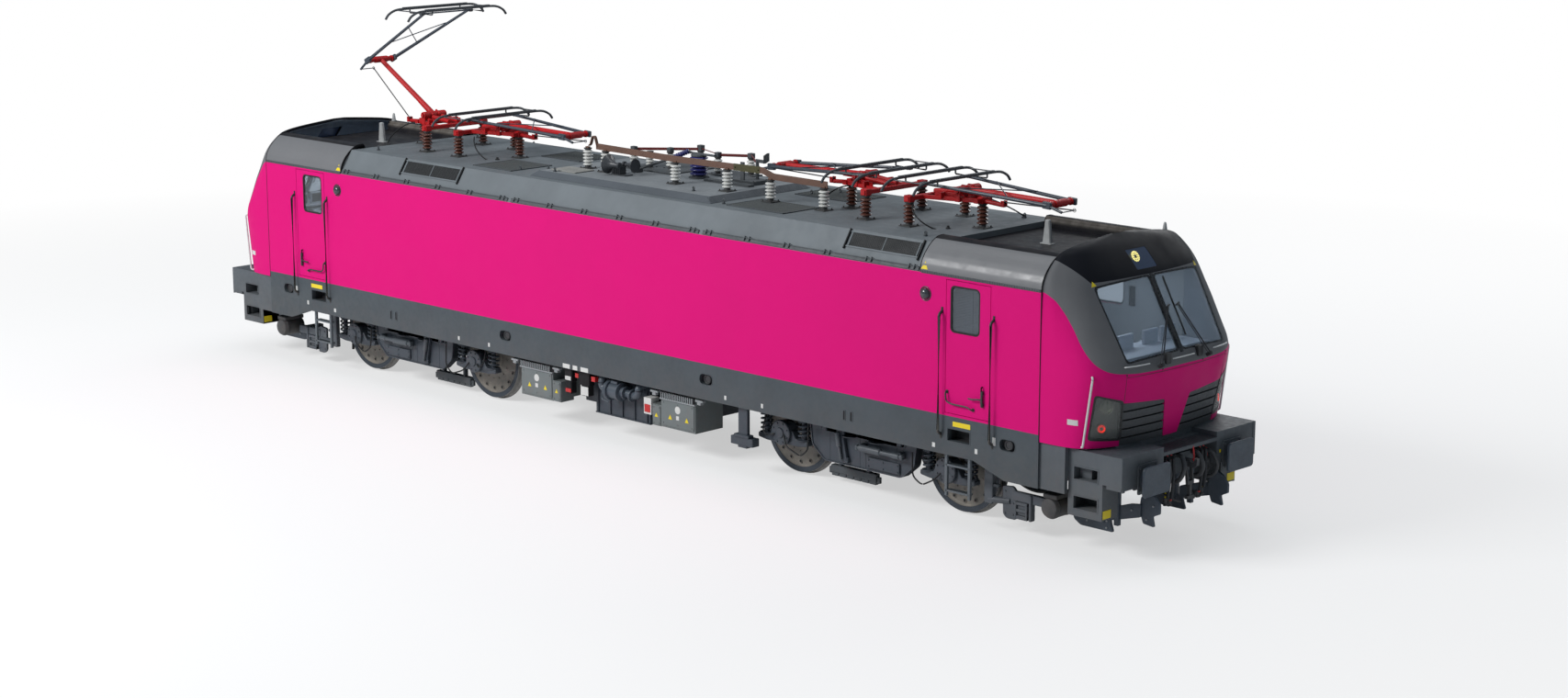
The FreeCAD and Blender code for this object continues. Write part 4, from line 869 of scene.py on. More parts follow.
def swept(route, section, up=(0.0, 0.0, 1.0)):
    """A flat section of (sideways, upward) pairs carried along a route and kept upright, with flat ends."""
    route = np.asarray(route, float)
    section = np.asarray(section, float)
    way = np.gradient(route, axis=0)
    way /= np.linalg.norm(way, axis=1, keepdims=True)
    side = np.cross(way, np.asarray(up, float))
    side /= np.maximum(np.linalg.norm(side, axis=1, keepdims=True), 1e-9)
    top = np.cross(side, way)
    return capped(route[:, None] + section[None, :, 0:1] * side[:, None] + section[None, :, 1:2] * top[:,
        None])


def beam(a, b, width, height, bevel=0.006):
    """A straight bar of rectangular section with eased corners, from one point to another."""
    w, h, e = width / 2, height / 2, bevel
    section = [(w, -h + e), (w, h - e), (w - e, h), (-w + e, h), (-w, h - e), (-w, -h + e), (-w + e, -h),
        (w - e, -h)]
    return swept([a, b], section)


def dressed(names, finish):
    """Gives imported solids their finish."""
    for name in names:
        mesh = nodes[name].data
        mesh.materials.clear()
        mesh.materials.append(finish)


roof_grey = paint("roof_grey", (0.138, 0.157, 0.17), 0.55, 0.35, mottle=0.05, blotch=1.1, bump=0.0005)
strip_grey = paint("strip_grey", (0.07, 0.08, 0.088), 0.55, 0.4, mottle=0.06)
vent_and_shade_black = paint("vent_and_shade_black", (0.012, 0.013, 0.014), 0.6, 0.3)
dressed(["middle_roof"], roof_grey)
ROOF_TOP = 3.67
FOOT = np.array((0.0, -1.506, 3.31))
CREST = np.array((0.0, -1.275, 3.67))
climb = (CREST - FOOT) / np.linalg.norm(CREST - FOOT)
roof_out = np.array((0.0, -climb[2], climb[1]))


def on_slope(part):
    """A piece drawn flat, x along the roof, y up the slope from its foot, z out of it, laid on the right
    slope."""
    points, corners, counts = part
    frame_of = np.array([(1.0, 0.0, 0.0), tuple(climb), tuple(roof_out)])
    return FOOT + points @ frame_of, corners, counts


strips = []
for x0, x1 in [(-6.08, -2.05), (-1.97, 2.02), (2.1, 6.08)]:
    strips.append(blocks([(x0, x1, 0.006, 0.062, 0.0, 0.016), (x0, x1, 0.05, 0.062, 0.0, 0.03)], 0.003))
clamp_x = np.concatenate([np.linspace(x0 + 0.12, x1 - 0.12, 6) for x0, x1 in [(-6.08, -2.05), (-1.97, 2.02),
    (2.1, 6.08)]])
for x in clamp_x:
    strips.append(blocks([(x - 0.055, x - 0.035, 0.012, 0.08, 0.012, 0.04), (x + 0.035, x + 0.055, 0.012,
        0.08, 0.012, 0.04)], 0.003))
piece("roof_strips", both_sides(on_slope(joined(*strips))), strip_grey, crease=30)
# the framed grilles: their run along the roof
VENTS = [(4.7, 6.0), (-4.69, -3.3)]
VENT_UP = (0.195, 0.385)
frame_bars = []
lattice = []
vent_shade_backs = []
end_bars = []
for x0, x1 in VENTS:
    low, top = VENT_UP
    frame_bars.append(blocks([(x0, x1, low - 0.022, low, -0.002, 0.012), (x0, x1, top, top + 0.022, -0.002,
        0.012), (x0 + 0.04, x0 + 0.062, low, top, -0.002, 0.012), (x1 - 0.062, x1 - 0.04, low, top, -0.002,
        0.012), ((x0 + x1) / 2 - 0.008, (x0 + x1) / 2 + 0.008, low, top, -0.002, 0.009)], 0.003))
    end_bars.append(blocks([(x0 - 0.008, x0 + 0.012, low - 0.055, top + 0.045, 0.0, 0.03), (x1 - 0.012,
        x1 + 0.008, low - 0.055, top + 0.045, 0.0, 0.03)], 0.003))
    # a black plate under each grille's lattice: painted shade for the opening behind it
    vent_shade_backs.append(blocks([(x0 + 0.05, x1 - 0.05, low, top, -0.001, 0.002)], 0.001))
    for lean in (-1, 1):
        starts = np.arange(x0 + 0.06 - 0.19, x1 - 0.06, 0.034)
        starts = starts if lean > 0 else starts + 0.19
        a0 = np.clip(starts, x0 + 0.06, x1 - 0.06)
        a1 = np.clip(starts + lean * 0.19, x0 + 0.06, x1 - 0.06)
        v0 = low + np.abs(a0 - starts)
        v1 = top - np.abs(starts + lean * 0.19 - a1)
        for p0, p1, q0, q1 in zip(a0, a1, v0, v1):
            if q1 - q0 > 0.02:
                lattice.append(beam((p0, q0, 0.005), (p1, q1, 0.005), 0.006, 0.004, 0.001))
piece("vent_frames", both_sides(on_slope(joined(*frame_bars))), roof_grey, crease=30)
vent_mesh = paint("vent_mesh", (0.033, 0.036, 0.038), 0.5, 0.35)
piece("vent_meshes", both_sides(on_slope(joined(*lattice))), vent_mesh, crease=30)
piece("vent_ends_and_shade_backs", both_sides(on_slope(joined(*(end_bars + vent_shade_backs)))), vent_and_shade_black,
    crease=30)

# ------------------------------------------------------------------ roof deck
# A raised hatch with sloping edges covers the middle of the roof; framed mesh hatches lie flat beyond its
# ends, and forged lifting eyes stand at the corners.
DECK_BOX = (-1.98, 1.86, -1.11, 0.9)
DECK_TOP = 3.75


def sloped_plate(x0, x1, y0, y1, z0, z1, slope_in):
    """A plate whose four sides lean in: the top outline is the bottom one drawn in by a fixed width."""
    ring = np.array(rectangle(x0, x1, y0, y1))
    inner = np.array(rectangle(x0 + slope_in, x1 - slope_in, y0 + slope_in, y1 - slope_in))
    points = np.vstack([np.column_stack([ring, [z0] * 4]), np.column_stack([inner, [z1] * 4])])
    k = np.arange(4)
    sides = np.stack([k, (k + 1) % 4, (k + 1) % 4 + 4, k + 4], 1).ravel()
    return points, np.concatenate([sides, k[::-1], k + 4]), np.full(6, 4)


def spots_of(part, places):
    """The same small piece at many places."""
    places = np.asarray(places, float)
    points, corners, counts = part
    many = (points[None] + places[:, None]).reshape(-1, 3)
    start = np.arange(len(places))[:, None] * len(points)
    return many, (corners[None] + start).ravel(), np.tile(counts, len(places))


deck_grey = paint("deck_grey", (0.205, 0.222, 0.236), 0.6, 0.3, mottle=0.06, blotch=1.6, bump=0.0006)
ribbed = paint("deck_edge_grey", (0.082, 0.094, 0.108), 0.6, 0.3, mottle=0.06)
x0, x1, y0, y1 = DECK_BOX
piece("deck_plate", sloped_plate(x0, x1, y0, y1, ROOF_TOP, DECK_TOP, 0.1), deck_grey,
    stands_for="roof_deck", crease=20)
rib_y = np.arange(y0 + 0.03, y1 - 0.02, 0.045)
edge_ribs = [beam((x1 + 0.004, v, ROOF_TOP + 0.003), (x1 - 0.098, v, DECK_TOP + 0.001), 0.018, 0.006, 0.002)
    for v in rib_y]
edge_ribs.append(beam((x1 - 0.103, y0 + 0.1, DECK_TOP), (x1 - 0.103, y1 - 0.1, DECK_TOP), 0.012, 0.01, 0.003))
skirt = np.array([(x0, y0, ROOF_TOP), (x1, y0, ROOF_TOP), (x1 - 0.1, y0 + 0.1, DECK_TOP), (x0 + 0.1, y0 + 0.1,
    DECK_TOP)])
ramp = np.array([(x1, y0, ROOF_TOP), (x1, y1, ROOF_TOP), (x1 - 0.1, y1 - 0.1, DECK_TOP), (x1 - 0.1, y0 + 0.1,
    DECK_TOP)])
edge_ribs += [extruded(skirt, (0, -0.0025, 0.0025)), extruded(ramp, (0.0025, 0, 0.0025))]
piece("deck_ribs", joined(*edge_ribs), ribbed, crease=30)
mesh_olive = paint("mesh_olive", (0.062, 0.068, 0.058), 0.65, 0.3, mottle=0.1, blotch=9.0, grain=420.0,
    bump=0.003)
HATCHES = [(2.1, 3.21, -1.04, -0.33), (-3.39, -2.49, -1.04, -0.23), (2.1, 3.21, 0.33, 1.04), (-3.39, -2.49,
    0.33, 1.04)]
hatch_bars = []
hatch_mesh = []
hatch_grid = []
for x0, x1, y0, y1 in HATCHES:
    hatch_mesh.append((x0 + 0.01, x1 - 0.01, y0 + 0.01, y1 - 0.01, ROOF_TOP, ROOF_TOP + 0.008))
    hatch_bars += [(x0, x1, y0, y0 + 0.018, ROOF_TOP, ROOF_TOP + 0.014), (x0, x1, y1 - 0.018, y1, ROOF_TOP,
        ROOF_TOP + 0.014), (x0, x0 + 0.018, y0, y1, ROOF_TOP, ROOF_TOP + 0.014), (x1 - 0.018, x1, y0, y1,
        ROOF_TOP, ROOF_TOP + 0.014)]
    for v in np.arange(y0 + 0.05, y1 - 0.03, 0.045):
        hatch_grid.append((x0 + 0.018, x1 - 0.018, v - 0.004, v + 0.004, ROOF_TOP + 0.006, ROOF_TOP + 0.012))
piece("hatch_meshes", blocks(hatch_mesh, 0.001), mesh_olive, crease=30)
piece("hatch_frames", blocks(hatch_bars + hatch_grid, 0.002), strip_grey, crease=30)
EYES = [(5.76, -1.01, ROOF_TOP), (-2.5, -0.85, ROOF_TOP), (-2.29, -0.48, ROOF_TOP), (1.99, -0.98, ROOF_TOP),
    (1.22, -0.82, DECK_TOP), (-1.6, -0.95, DECK_TOP), (-5.76, -1.01, ROOF_TOP)]
EYES += [(-x, -y, ROOF_TOP) for x, y, h in EYES[1:3]] + [(5.76, 1.01, ROOF_TOP), (-5.76, 1.01, ROOF_TOP)]
eye = joined(ring_of((0, 0, 0.042), (0.3, 1, 0), 0.022, 0.009, 20, 8), tube([(0, 0, -0.002), (0, 0, 0.018)],
    0.026, 12))
piece("lifting_eyes", spots_of(eye, EYES), strip_grey, crease=40)

# ------------------------------------------------------------------ pantographs
# Four single-arm current collectors: a red welded frame on three brown insulators, a red lower arm, a dark
# braced upper arm steered by a thin rod, and a head with two carbon strips ending in bent horns.
PANTOS = [("p1", -1, 5.61, 1), ("p2", -1, 3.77, -1), ("p3", 1, 3.77, -1), ("p4", 1, 5.61, 1)]
SHAFT_Z = 4.16
ARM_LOW = 1.55
ARM_TOP = 1.93
FRAME_Z = 4.04
FOLDED = (-0.7, 3.0)
RAISED = (30.4, 27.0)
ROD_FOOT = (0.62, 4.05)
LEVER = (0.245, -0.052)


def turned(part, degrees, axis, about=(0.0, 0.0, 0.0)):
    """The piece turned about an axis through a point."""
    points, corners, counts = part
    a = math.radians(degrees)
    c, s = math.cos(a), math.sin(a)
    turn = {"x": [[1, 0, 0], [0, c, -s], [0, s, c]], "y": [[c, 0, s], [0, 1, 0], [-s, 0, c]],
        "z": [[c, -s, 0], [s, c, 0], [0, 0, 1]]}[axis]
    return (points - about) @ np.array(turn).T + about, corners, counts


def moved(part, by):
    """The piece set over by a way."""
    return part[0] + np.asarray(by, float), part[1], part[2]


def stood(part, end, shaft, way):
    """A piece drawn with the shaft at x = 0 and the knee on +x, set on its own shaft and turned to its
    end."""
    if way < 0:
        part = other_end(part)
    part = moved(part, (shaft, 0, 0))
    return other_end(part) if end < 0 else part


def lathed(profile, centre, axis, sides=24):
    """A profile of (radius, way along) pairs turned about an axis through a point: C + s A + r (cos N + sin
    B)."""
    profile = np.asarray(profile, float)
    axis, first, second = square_to(axis)
    a = np.linspace(0, 2 * math.pi, sides, endpoint=False)
    around = np.cos(a)[:, None] * first + np.sin(a)[:, None] * second
    return capped(np.asarray(centre) + profile[:, 1, None, None] * axis + profile[:, 0, None,
        None] * around[None])


def ribbed_post(height, core, rim, ribs):
    """A ceramic insulator's body: radius core + (rim - core) (0.5 - 0.5 cos 2 pi n s)^0.5 over the height
    s."""
    s = np.linspace(0, 1, ribs * 12 + 1)
    r = core + (rim - core) * (0.5 - 0.5 * np.cos(2 * math.pi * ribs * s)) ** 0.5
    return np.column_stack([r, s * height])


def bolt(axis, radius=0.011, height=0.008):
    """A six-sided bolt head standing on the origin along an axis."""
    a = np.linspace(0, 2 * math.pi, 6, endpoint=False)
    way = {"x": (1, 0, 0), "y": (0, 1, 0), "z": (0, 0, 1)}[axis[-1]]
    side = -1.0 if axis[0] == "-" else 1.0
    return tube([np.multiply(way, -0.003 * side), np.multiply(way, height * side)], radius, 6)


def insulator(height, rim, ribs):
    """The ribbed body, and apart from it the metal feet and caps."""
    body = lathed(ribbed_post(height - 0.07, rim * 0.48, rim, ribs) + (0.0, 0.04), (0, 0, 0), (0, 0, 1))
    foot = lathed([(rim * 1.0, 0.0), (rim * 1.0, 0.016), (rim * 0.62, 0.022), (rim * 0.58, 0.044)], (0, 0, 0),
        (0, 0, 1))
    cap = lathed([(rim * 0.56, height - 0.036), (rim * 0.62, height - 0.02), (rim * 0.8, height - 0.012),
        (rim * 0.8, height)], (0, 0, 0), (0, 0, 1))
    plate = blocks([(-rim * 1.25, rim * 1.25, -rim * 1.25, rim * 1.25, 0.0, 0.012)], 0.003)
    nuts = spots_of(bolt("z", 0.01, 0.016), [(a * rim, b * rim, 0.014) for a in (-1, 1) for b in (-1, 1)])
    return body, joined(foot, cap, plate, nuts)


brown_glaze = paint("brown_glaze", (0.105, 0.038, 0.026), 0.22, 0.6, mottle=0.05, blotch=12.0, bump=0.0002)
foot_grey = paint("foot_grey", (0.055, 0.055, 0.055), 0.5, 0.4, mottle=0.06)
frame_red = paint("frame_red", (0.46, 0.009, 0.011), 0.4, 0.3, mottle=0.05, blotch=4.0)
arm_dark = paint("arm_dark", (0.042, 0.053, 0.07), 0.38, 0.5, mottle=0.04)
rod_dark = paint("rod_dark", (0.03, 0.031, 0.034), 0.45, 0.5)
strip_carbon = paint("strip_carbon", (0.055, 0.06, 0.068), 0.42, 0.5, mottle=0.05, blotch=10.0)
brown_body, brown_metal = insulator(0.325, 0.079, 5)
FEET = [(-0.53, -0.57), (-0.53, 0.57), (0.26, 0.0)]
feet_at = []
frame_parts = []
for name, end, shaft, way in PANTOS:
    for u, v in FEET:
        feet_at.append((end * (shaft + way * u), v, ROOF_TOP))
    high = FRAME_Z
    parts = [beam((-0.53, -0.64, high), (-0.53, 0.64, high), 0.072, 0.062), beam((0.26, -0.15, high),
        (0.26, 0.15, high), 0.072, 0.062)]
    for side in (-1, 1):
        parts += [beam((-0.56, side * 0.33, high), (0.29, side * 0.085, high), 0.056, 0.056),
            beam((-0.05, side * 0.16, high + 0.03), (-0.36, side * 0.25, high + 0.03), 0.012, 0.1),
            blocks([(-0.045, 0.045, side * 0.203, side * 0.222, high - 0.03, SHAFT_Z - 0.04)], 0.008),
            ring_of((0, side * 0.212, SHAFT_Z), (0, 1, 0), 0.045, 0.013, 20, 8), blocks([(-0.585, -0.475,
            side * 0.515, side * 0.625, high - 0.045, high + 0.045)], 0.006), blocks([(-0.25, -0.21,
            side * 0.2, side * 0.3, high, high + 0.085)], 0.005), blocks([(0.592, 0.648, side * 0.024,
            side * 0.04, 4.006, 4.072)], 0.003)]
    parts += [blocks([(-0.04, 0.04, -0.225, 0.225, high - 0.03, high + 0.012), (0.215, 0.305, -0.062, 0.062,
        high - 0.045, high + 0.045), (0.588, 0.652, -0.04, 0.04, 3.988, 4.008)], 0.006),
        tube([(0.26, 0, high - 0.008), (0.6, 0, high - 0.03)], 0.03, 14), tube([(-0.5, -0.09, high + 0.055),
        (-0.1, -0.09, high + 0.095)], 0.034, 16), tube([(-0.5, 0.09, high + 0.055), (-0.1, 0.09,
        high + 0.095)], 0.034, 16), tube([(-0.16, 0.0, high + 0.05), (-0.03, 0.0, high + 0.06)], 0.052, 18)]
    frame_parts.append(stood(joined(*parts), end, shaft, way))
piece("pantograph_insulator_bodies", spots_of(brown_body, feet_at), brown_glaze,
    stands_for="pantograph_insulators", crease=40)
piece("pantograph_insulator_feet", spots_of(brown_metal, feet_at), foot_grey, crease=35)
piece("pantograph_frames_red", joined(*frame_parts), frame_red,
    stands_for="pantograph_frames", crease=35)
for name, end, shaft, way in PANTOS:
    low_deg, top_deg = RAISED if name == "p1" else FOLDED
    a, b = math.radians(low_deg), math.radians(top_deg)
    knee = (ARM_LOW * math.cos(a), 0.0, SHAFT_Z + ARM_LOW * math.sin(a))
    tip = (knee[0] - ARM_TOP * math.cos(b), 0.0, knee[2] + ARM_TOP * math.sin(b))
    eye_at = (knee[0] + LEVER[0] * math.cos(b) + LEVER[1] * math.sin(b), 0.0, knee[2] - LEVER[0] * math.sin(b)
        + LEVER[1] * math.cos(b))
    lower = joined(tube([(0.03, 0, 0), (ARM_LOW - 0.02, 0, 0)], [0.044, 0.036], 18), tube([(0, -0.195, 0),
        (0, 0.195, 0)], 0.058, 24), tube([(0, -0.24, 0), (0, 0.24, 0)], 0.029, 16), tube([(ARM_LOW, -0.225,
        0), (ARM_LOW, 0.225, 0)], 0.04, 22), tube([(ARM_LOW, -0.229, 0), (ARM_LOW, -0.205, 0)], 0.05, 22),
        tube([(ARM_LOW, 0.205, 0), (ARM_LOW, 0.229, 0)], 0.05, 22), tube([(ARM_LOW, -0.12, 0), (ARM_LOW, 0.12,
        0)], 0.052, 22), swept([(0.04, 0.0, -0.045), (0.42, 0.0, -0.03)], [(0.008, -0.02), (0.008, 0.02),
        (-0.008, 0.02), (-0.008, -0.02)]), blocks([(-0.062, 0.062, -0.085, -0.045, -0.062, 0.062), (-0.062,
        0.062, 0.045, 0.085, -0.062, 0.062)], 0.02))
    lower = stood(moved(turned(lower, -low_deg, "y"), (0, 0, SHAFT_Z)), end, shaft, way)
    piece("lower_arm_%s_red" % name, lower, frame_red, "lower_arm_" + name, "lower_arm_"
        + name, 35)
    upper_parts = []
    for side in (-1, 1):
        upper_parts += [tube([(0, side * 0.262, 0), (-ARM_TOP, side * 0.44, 0)], [0.027, 0.021], 14),
            blocks([(-0.07, 0.07, side * 0.236, side * 0.284, -0.046, 0.046)], 0.01),
            tube([(-0.62, side * 0.318, 0.022), (-1.38, -side * 0.388, 0.022)], 0.008, 8),
            tube([(-ARM_TOP, side * 0.425, 0), (-ARM_TOP, side * 0.458, 0)], 0.024, 14)]
    upper_parts += [tube([(0, -0.27, 0), (0, 0.27, 0)], 0.024, 16), tube([(-ARM_TOP, -0.512, 0), (-ARM_TOP,
        0.512, 0)], 0.012, 12), tube(bend_route([(0, -0.259, 0), (LEVER[0] * 0.5, -0.259, LEVER[1] * 0.5),
        (LEVER[0], -0.259, LEVER[1])]), 0.019, 12), tube([(LEVER[0], -0.272, LEVER[1]), (LEVER[0], 0.022,
        LEVER[1])], 0.0075, 10)]
    upper = stood(moved(turned(joined(*upper_parts), top_deg, "y"), knee), end, shaft, way)
    piece("upper_arm_%s_dark" % name, upper, arm_dark, "upper_arm_" + name, "upper_arm_"
        + name, 40)
    head_parts = []
    for u in (-0.28, 0.28):
        bow = bend_route([(u, -0.985, -0.075), (u, -0.93, 0.0), (u, -0.78, 0.066), (u, 0.78, 0.066), (u, 0.93,
            0.0), (u, 0.985, -0.075)], 0.13, 7)
        head_parts += [tube(bow, 0.019, 12), swept([(u, -0.64, 0.078), (u, 0.64, 0.078)], [(0.021, -0.02),
            (0.021, 0.012), (0.014, 0.016), (-0.014, 0.016), (-0.021, 0.012), (-0.021, -0.02)])]
    for side in (-1, 1):
        y = side * 0.505
        head_parts += [tube(bend_route([(-0.28, y, 0.06), (-0.28, y, 0.0), (0.28, y, 0.0), (0.28, y, 0.06)],
            0.02), 0.012, 10), tube([(0, side * 0.47, 0), (0, side * 0.52, 0)], 0.03, 18),
            tube([(-0.28, side * 0.76, 0.052), (0.28, side * 0.76, 0.052)], 0.009, 8)]
    head = stood(moved(joined(*head_parts), tip), end, shaft, way)
    piece("head_%s_strips" % name, head, strip_carbon, "head_" + name, "head_" + name, 35)
    rod_parts = [tube([(ROD_FOOT[0], 0, ROD_FOOT[1]), (eye_at[0], 0, eye_at[2])], 0.009, 10),
        tube([(ROD_FOOT[0], -0.022, ROD_FOOT[1]), (ROD_FOOT[0], 0.022, ROD_FOOT[1])], 0.02, 16),
        ring_of(eye_at, (0, 1, 0), 0.0235, 0.004, 24, 8), tube([(ROD_FOOT[0], -0.04, ROD_FOOT[1]),
        (ROD_FOOT[0], 0.04, ROD_FOOT[1])], 0.01, 12)]
    rod_made = stood(joined(*rod_parts), end, shaft, way)
    piece("thrust_rod_%s_dark" % name, rod_made, rod_dark, "thrust_rod_" + name,
        "thrust_rod_" + name, 40)

# ------------------------------------------------------------------ cab roofs
# A grey moulding closes each cab from gutter to gutter. Its sides curve up to a black band, then low
# parapets stand on both sides of a black tray; dark joints part it from the nose and from the middle roof.
#                 inside the half-width, height
CAB_ROOF_ROWS = np.array([(0.000, 3.310), (0.006, 3.365), (0.020, 3.425), (0.052, 3.492), (0.101, 3.560),
                          (0.168, 3.630), (0.246, 3.690), (0.330, 3.732), (0.386, 3.742), (0.462, 3.742),
                          (0.480, 3.728), (0.506, 3.590)])
HALF_WIDTH = 1.506
bend = np.linspace(0, 1, 46)
way_round = np.concatenate([[0], np.cumsum(np.hypot(*np.diff(CAB_ROOF_ROWS, axis=0).T))])
way_round /= way_round[-1]
half_profile = rounded(way_round, CAB_ROOF_ROWS, bend, 0.012)
half_profile[0] = CAB_ROOF_ROWS[0]
half_profile[-1] = CAB_ROOF_ROWS[-1]


def roof_section(inset):
    """The whole section from gutter to gutter, each half read from the rows and drawn in by an inset."""
    y = np.concatenate([half_profile[:, 0] - HALF_WIDTH, (HALF_WIDTH - half_profile[:, 0])[::-1]])
    z = np.concatenate([half_profile[:, 1], half_profile[::-1, 1]])
    return np.column_stack([y * (1 - inset / HALF_WIDTH), z - inset])


def roof_run(x0, x1, steps, inset):
    """The section repeated from one place along the roof to another."""
    points = np.empty((steps, 92, 3))
    points[:, :, 0] = np.linspace(x0, x1, steps)[:, None]
    points[:, :, 1:] = roof_section(inset)[None]
    return points


cab_shell = slab(roof_run(6.114, 8.096, 3, 0.0)[:, ::-1], roof_run(6.114, 8.096, 3, 0.04)[:, ::-1])
cab_roof_paint, tree, shader, place = plain_finish("cab_roof_paint")
x, y, z = axes(tree, place)
across_way = sum_of(tree, "ABSOLUTE", y, 0.0)
weathered(tree, shader, place, SHELL_GREY, 0.38, 0.008, 1.2, 80.0, 0.00005)
side_colour = shader.inputs["Base Color"].links[0].from_socket
top_part = spread_to(tree, across_way, 1.0, 0.0, 1.212, 1.218)
inner_face = sum_of(tree, "MULTIPLY", spread_to(tree, y, 0.0, 1.0, 0.99, 1.0), spread_to(tree, y, 1.0, 0.0,
    1.04, 1.044))
dusty = mixed(tree, spread_to(tree, noise(tree, place, 7.0, 6.0), 0.0, 1.0, 0.35, 0.7), (0.085, 0.075, 0.066),
    (0.16, 0.145, 0.13))
tray_black = mixed(tree, spread_to(tree, noise(tree, place, 3.0, 5.0), 0.0, 0.5, 0.4, 0.75), (0.016, 0.016,
    0.019), (0.05, 0.046, 0.044))
top_colour = mixed(tree, inner_face, tray_black, dusty)
tree.links.new(mixed(tree, top_part, side_colour, top_colour), shader.inputs["Base Color"])
tree.links.new(spread_to(tree, top_part, 0.5, 0.05), shader.inputs["Specular IOR Level"])
piece("cab_roof_shells", both_ends(cab_shell), cab_roof_paint, stands_for="cab_roofs",
    crease=40)
seams = [slab(roof_run(x0, x1, 2, -0.003)[:, ::-1], roof_run(x0, x1, 2, 0.02)[:, ::-1]) for x0, x1 in ((8.096,
    8.106), (6.104, 6.114))]
seams.append(both_sides(blocks([(8.096, 8.106, -1.509, -1.48, 1.402, 3.312)], 0.001)))
seam_and_shade_black = paint("seam_and_shade_black", (0.01, 0.01, 0.011), 0.6, 0.2)
piece("body_seams", both_ends(joined(*seams)), seam_and_shade_black, crease=30)
strip = [blocks([(6.12, 8.09, -1.512, -1.49, 3.3, 3.338)], 0.004)]
tooth_x = np.arange(6.14, 8.07, 0.04)
strip.append(blocks([(t, t + 0.018, -1.517, -1.492, 3.305, 3.333) for t in tooth_x], 0.002))
piece("cab_gutters", at_corners(joined(*strip)), strip_grey, crease=30)

# ------------------------------------------------------------------ side walls and doors
# Smooth steel walls painted magenta outside and lined grey inside, with one plug-in door leaf near each
# corner: a rubber-set window, a lever handle at its leading edge and a bent grab bar low on its trailing
# side.
side_magenta, tree, shader, place = plain_finish("side_magenta")
shader.inputs["Specular IOR Level"].default_value = 0.05
weathered(tree, shader, place, MAGENTA, 0.42, 0.01, 0.7, 60.0, 0.0001)
outside = shader.inputs["Base Color"].links[0].from_socket
across_way = sum_of(tree, "ABSOLUTE", axes(tree, place)[1], 0.0)
lined = mixed(tree, spread_to(tree, across_way, 0.0, 1.0, 1.462, 1.466), (0.2, 0.225, 0.25), outside)
tree.links.new(mixed(tree, spread_to(tree, across_way, 0.0, 1.0, 1.5085, 1.5095), lined, (0.012, 0.013,
    0.013)), shader.inputs["Base Color"])
DOORS = ["door_%s_%s" % (e, s) for e in ("front", "rear") for s in ("left", "right")]
dressed(["side_walls"] + DOORS, side_magenta)
seal_outer = rounded_outline(rectangle(6.628, 7.117, 2.596, 3.202), 0.075)
seal_inner = rounded_outline(rectangle(6.648, 7.097, 2.616, 3.182), 0.06)


def closed_grid(rings):
    """Quads over a grid that closes on itself both ways."""
    rows, columns = rings.shape[:2]
    i = np.arange(rows)[:, None] * columns
    j = np.arange(columns)[None, :]
    down = (i + columns) % (rows * columns)
    k = (j + 1) % columns
    quads = np.stack([i + j, i + k, down + k, down + j], 2).reshape(-1, 4)
    return rings.reshape(-1, 3), quads.ravel(), np.full(len(quads), 4)


def framed(outer, inner, axis, near, far):
    """A flat frame between two outlines of as many points, from near to far along an axis, closed all
    round."""
    order = {"x": (1, 2), "y": (0, 2)}[axis]
    rings = np.zeros((4, len(outer), 3))
    for row, (line, at) in enumerate(((outer, near), (outer, far), (inner, far), (inner, near))):
        rings[row][:, order[0]] = np.asarray(line)[:, 0]
        rings[row][:, order[1]] = np.asarray(line)[:, 1]
        rings[row][:, "xyz".index(axis)] = at
    return closed_grid(rings)


seal = framed(seal_outer, seal_inner, "y", -1.504, -1.47)
pane = upright(rounded_outline(rectangle(6.64, 7.105, 2.608, 3.19), 0.066), "y", -1.49, 0.006)
lever = joined(blocks([(7.168, 7.206, -1.54, -1.507, 1.7, 1.76), (7.168, 7.206, -1.54, -1.507, 1.86, 1.915),
    (7.172, 7.202, -1.546, -1.52, 1.705, 1.905)], 0.006), tube(bend_route([(7.185, -1.535, 1.8),
    (7.12, -1.556, 1.8), (7.06, -1.556, 1.788), (6.985, -1.556, 1.79)], 0.03), 0.011, 10))
loop = joined(tube(bend_route([(6.59, -1.504, 1.815), (6.59, -1.545, 1.815), (6.6, -1.545, 1.7),
    (6.68, -1.545, 1.672), (6.96, -1.545, 1.672), (7.03, -1.545, 1.64), (7.03, -1.504, 1.64)], 0.05, 6),
    0.011, 10), tube([(6.59, -1.504, 1.815), (6.59, -1.514, 1.815)], 0.024, 14), tube([(7.03, -1.504, 1.64),
    (7.03, -1.514, 1.64)], 0.024, 14))
seal_black = paint("seal_black", (0.016, 0.017, 0.018), 0.55, 0.3)
rail_black = paint("rail_black", (0.02, 0.026, 0.026), 0.4, 0.5, mottle=0.05, blotch=6.0, dirt=0.3,
    dirt_low=1.1, dirt_top=2.0)
cab_glass, tree, shader, place = plain_finish("cab_glass")
shader.inputs["Base Color"].default_value = (0.43, 0.46, 0.49, 1.0)
shader.inputs["Transmission Weight"].default_value = 0.9
shader.inputs["IOR"].default_value = 1.14
tree.links.new(spread_to(tree, noise(tree, place, 4.0), 0.03, 0.1, 0.3, 0.7), shader.inputs["Roughness"])
for name in DOORS:
    for kind, part, finish, slot in (("seal", seal, seal_black, "dark_plastic"), ("pane", pane, cab_glass,
            "screen_glass"), ("handles", joined(lever, loop), rail_black, "dark_plastic")):
        if "left" in name:
            part = other_side(part)
        if "rear" in name:
            part = other_end(part)
        piece("%s_%s" % (name, kind), part, finish, name, crease=35)

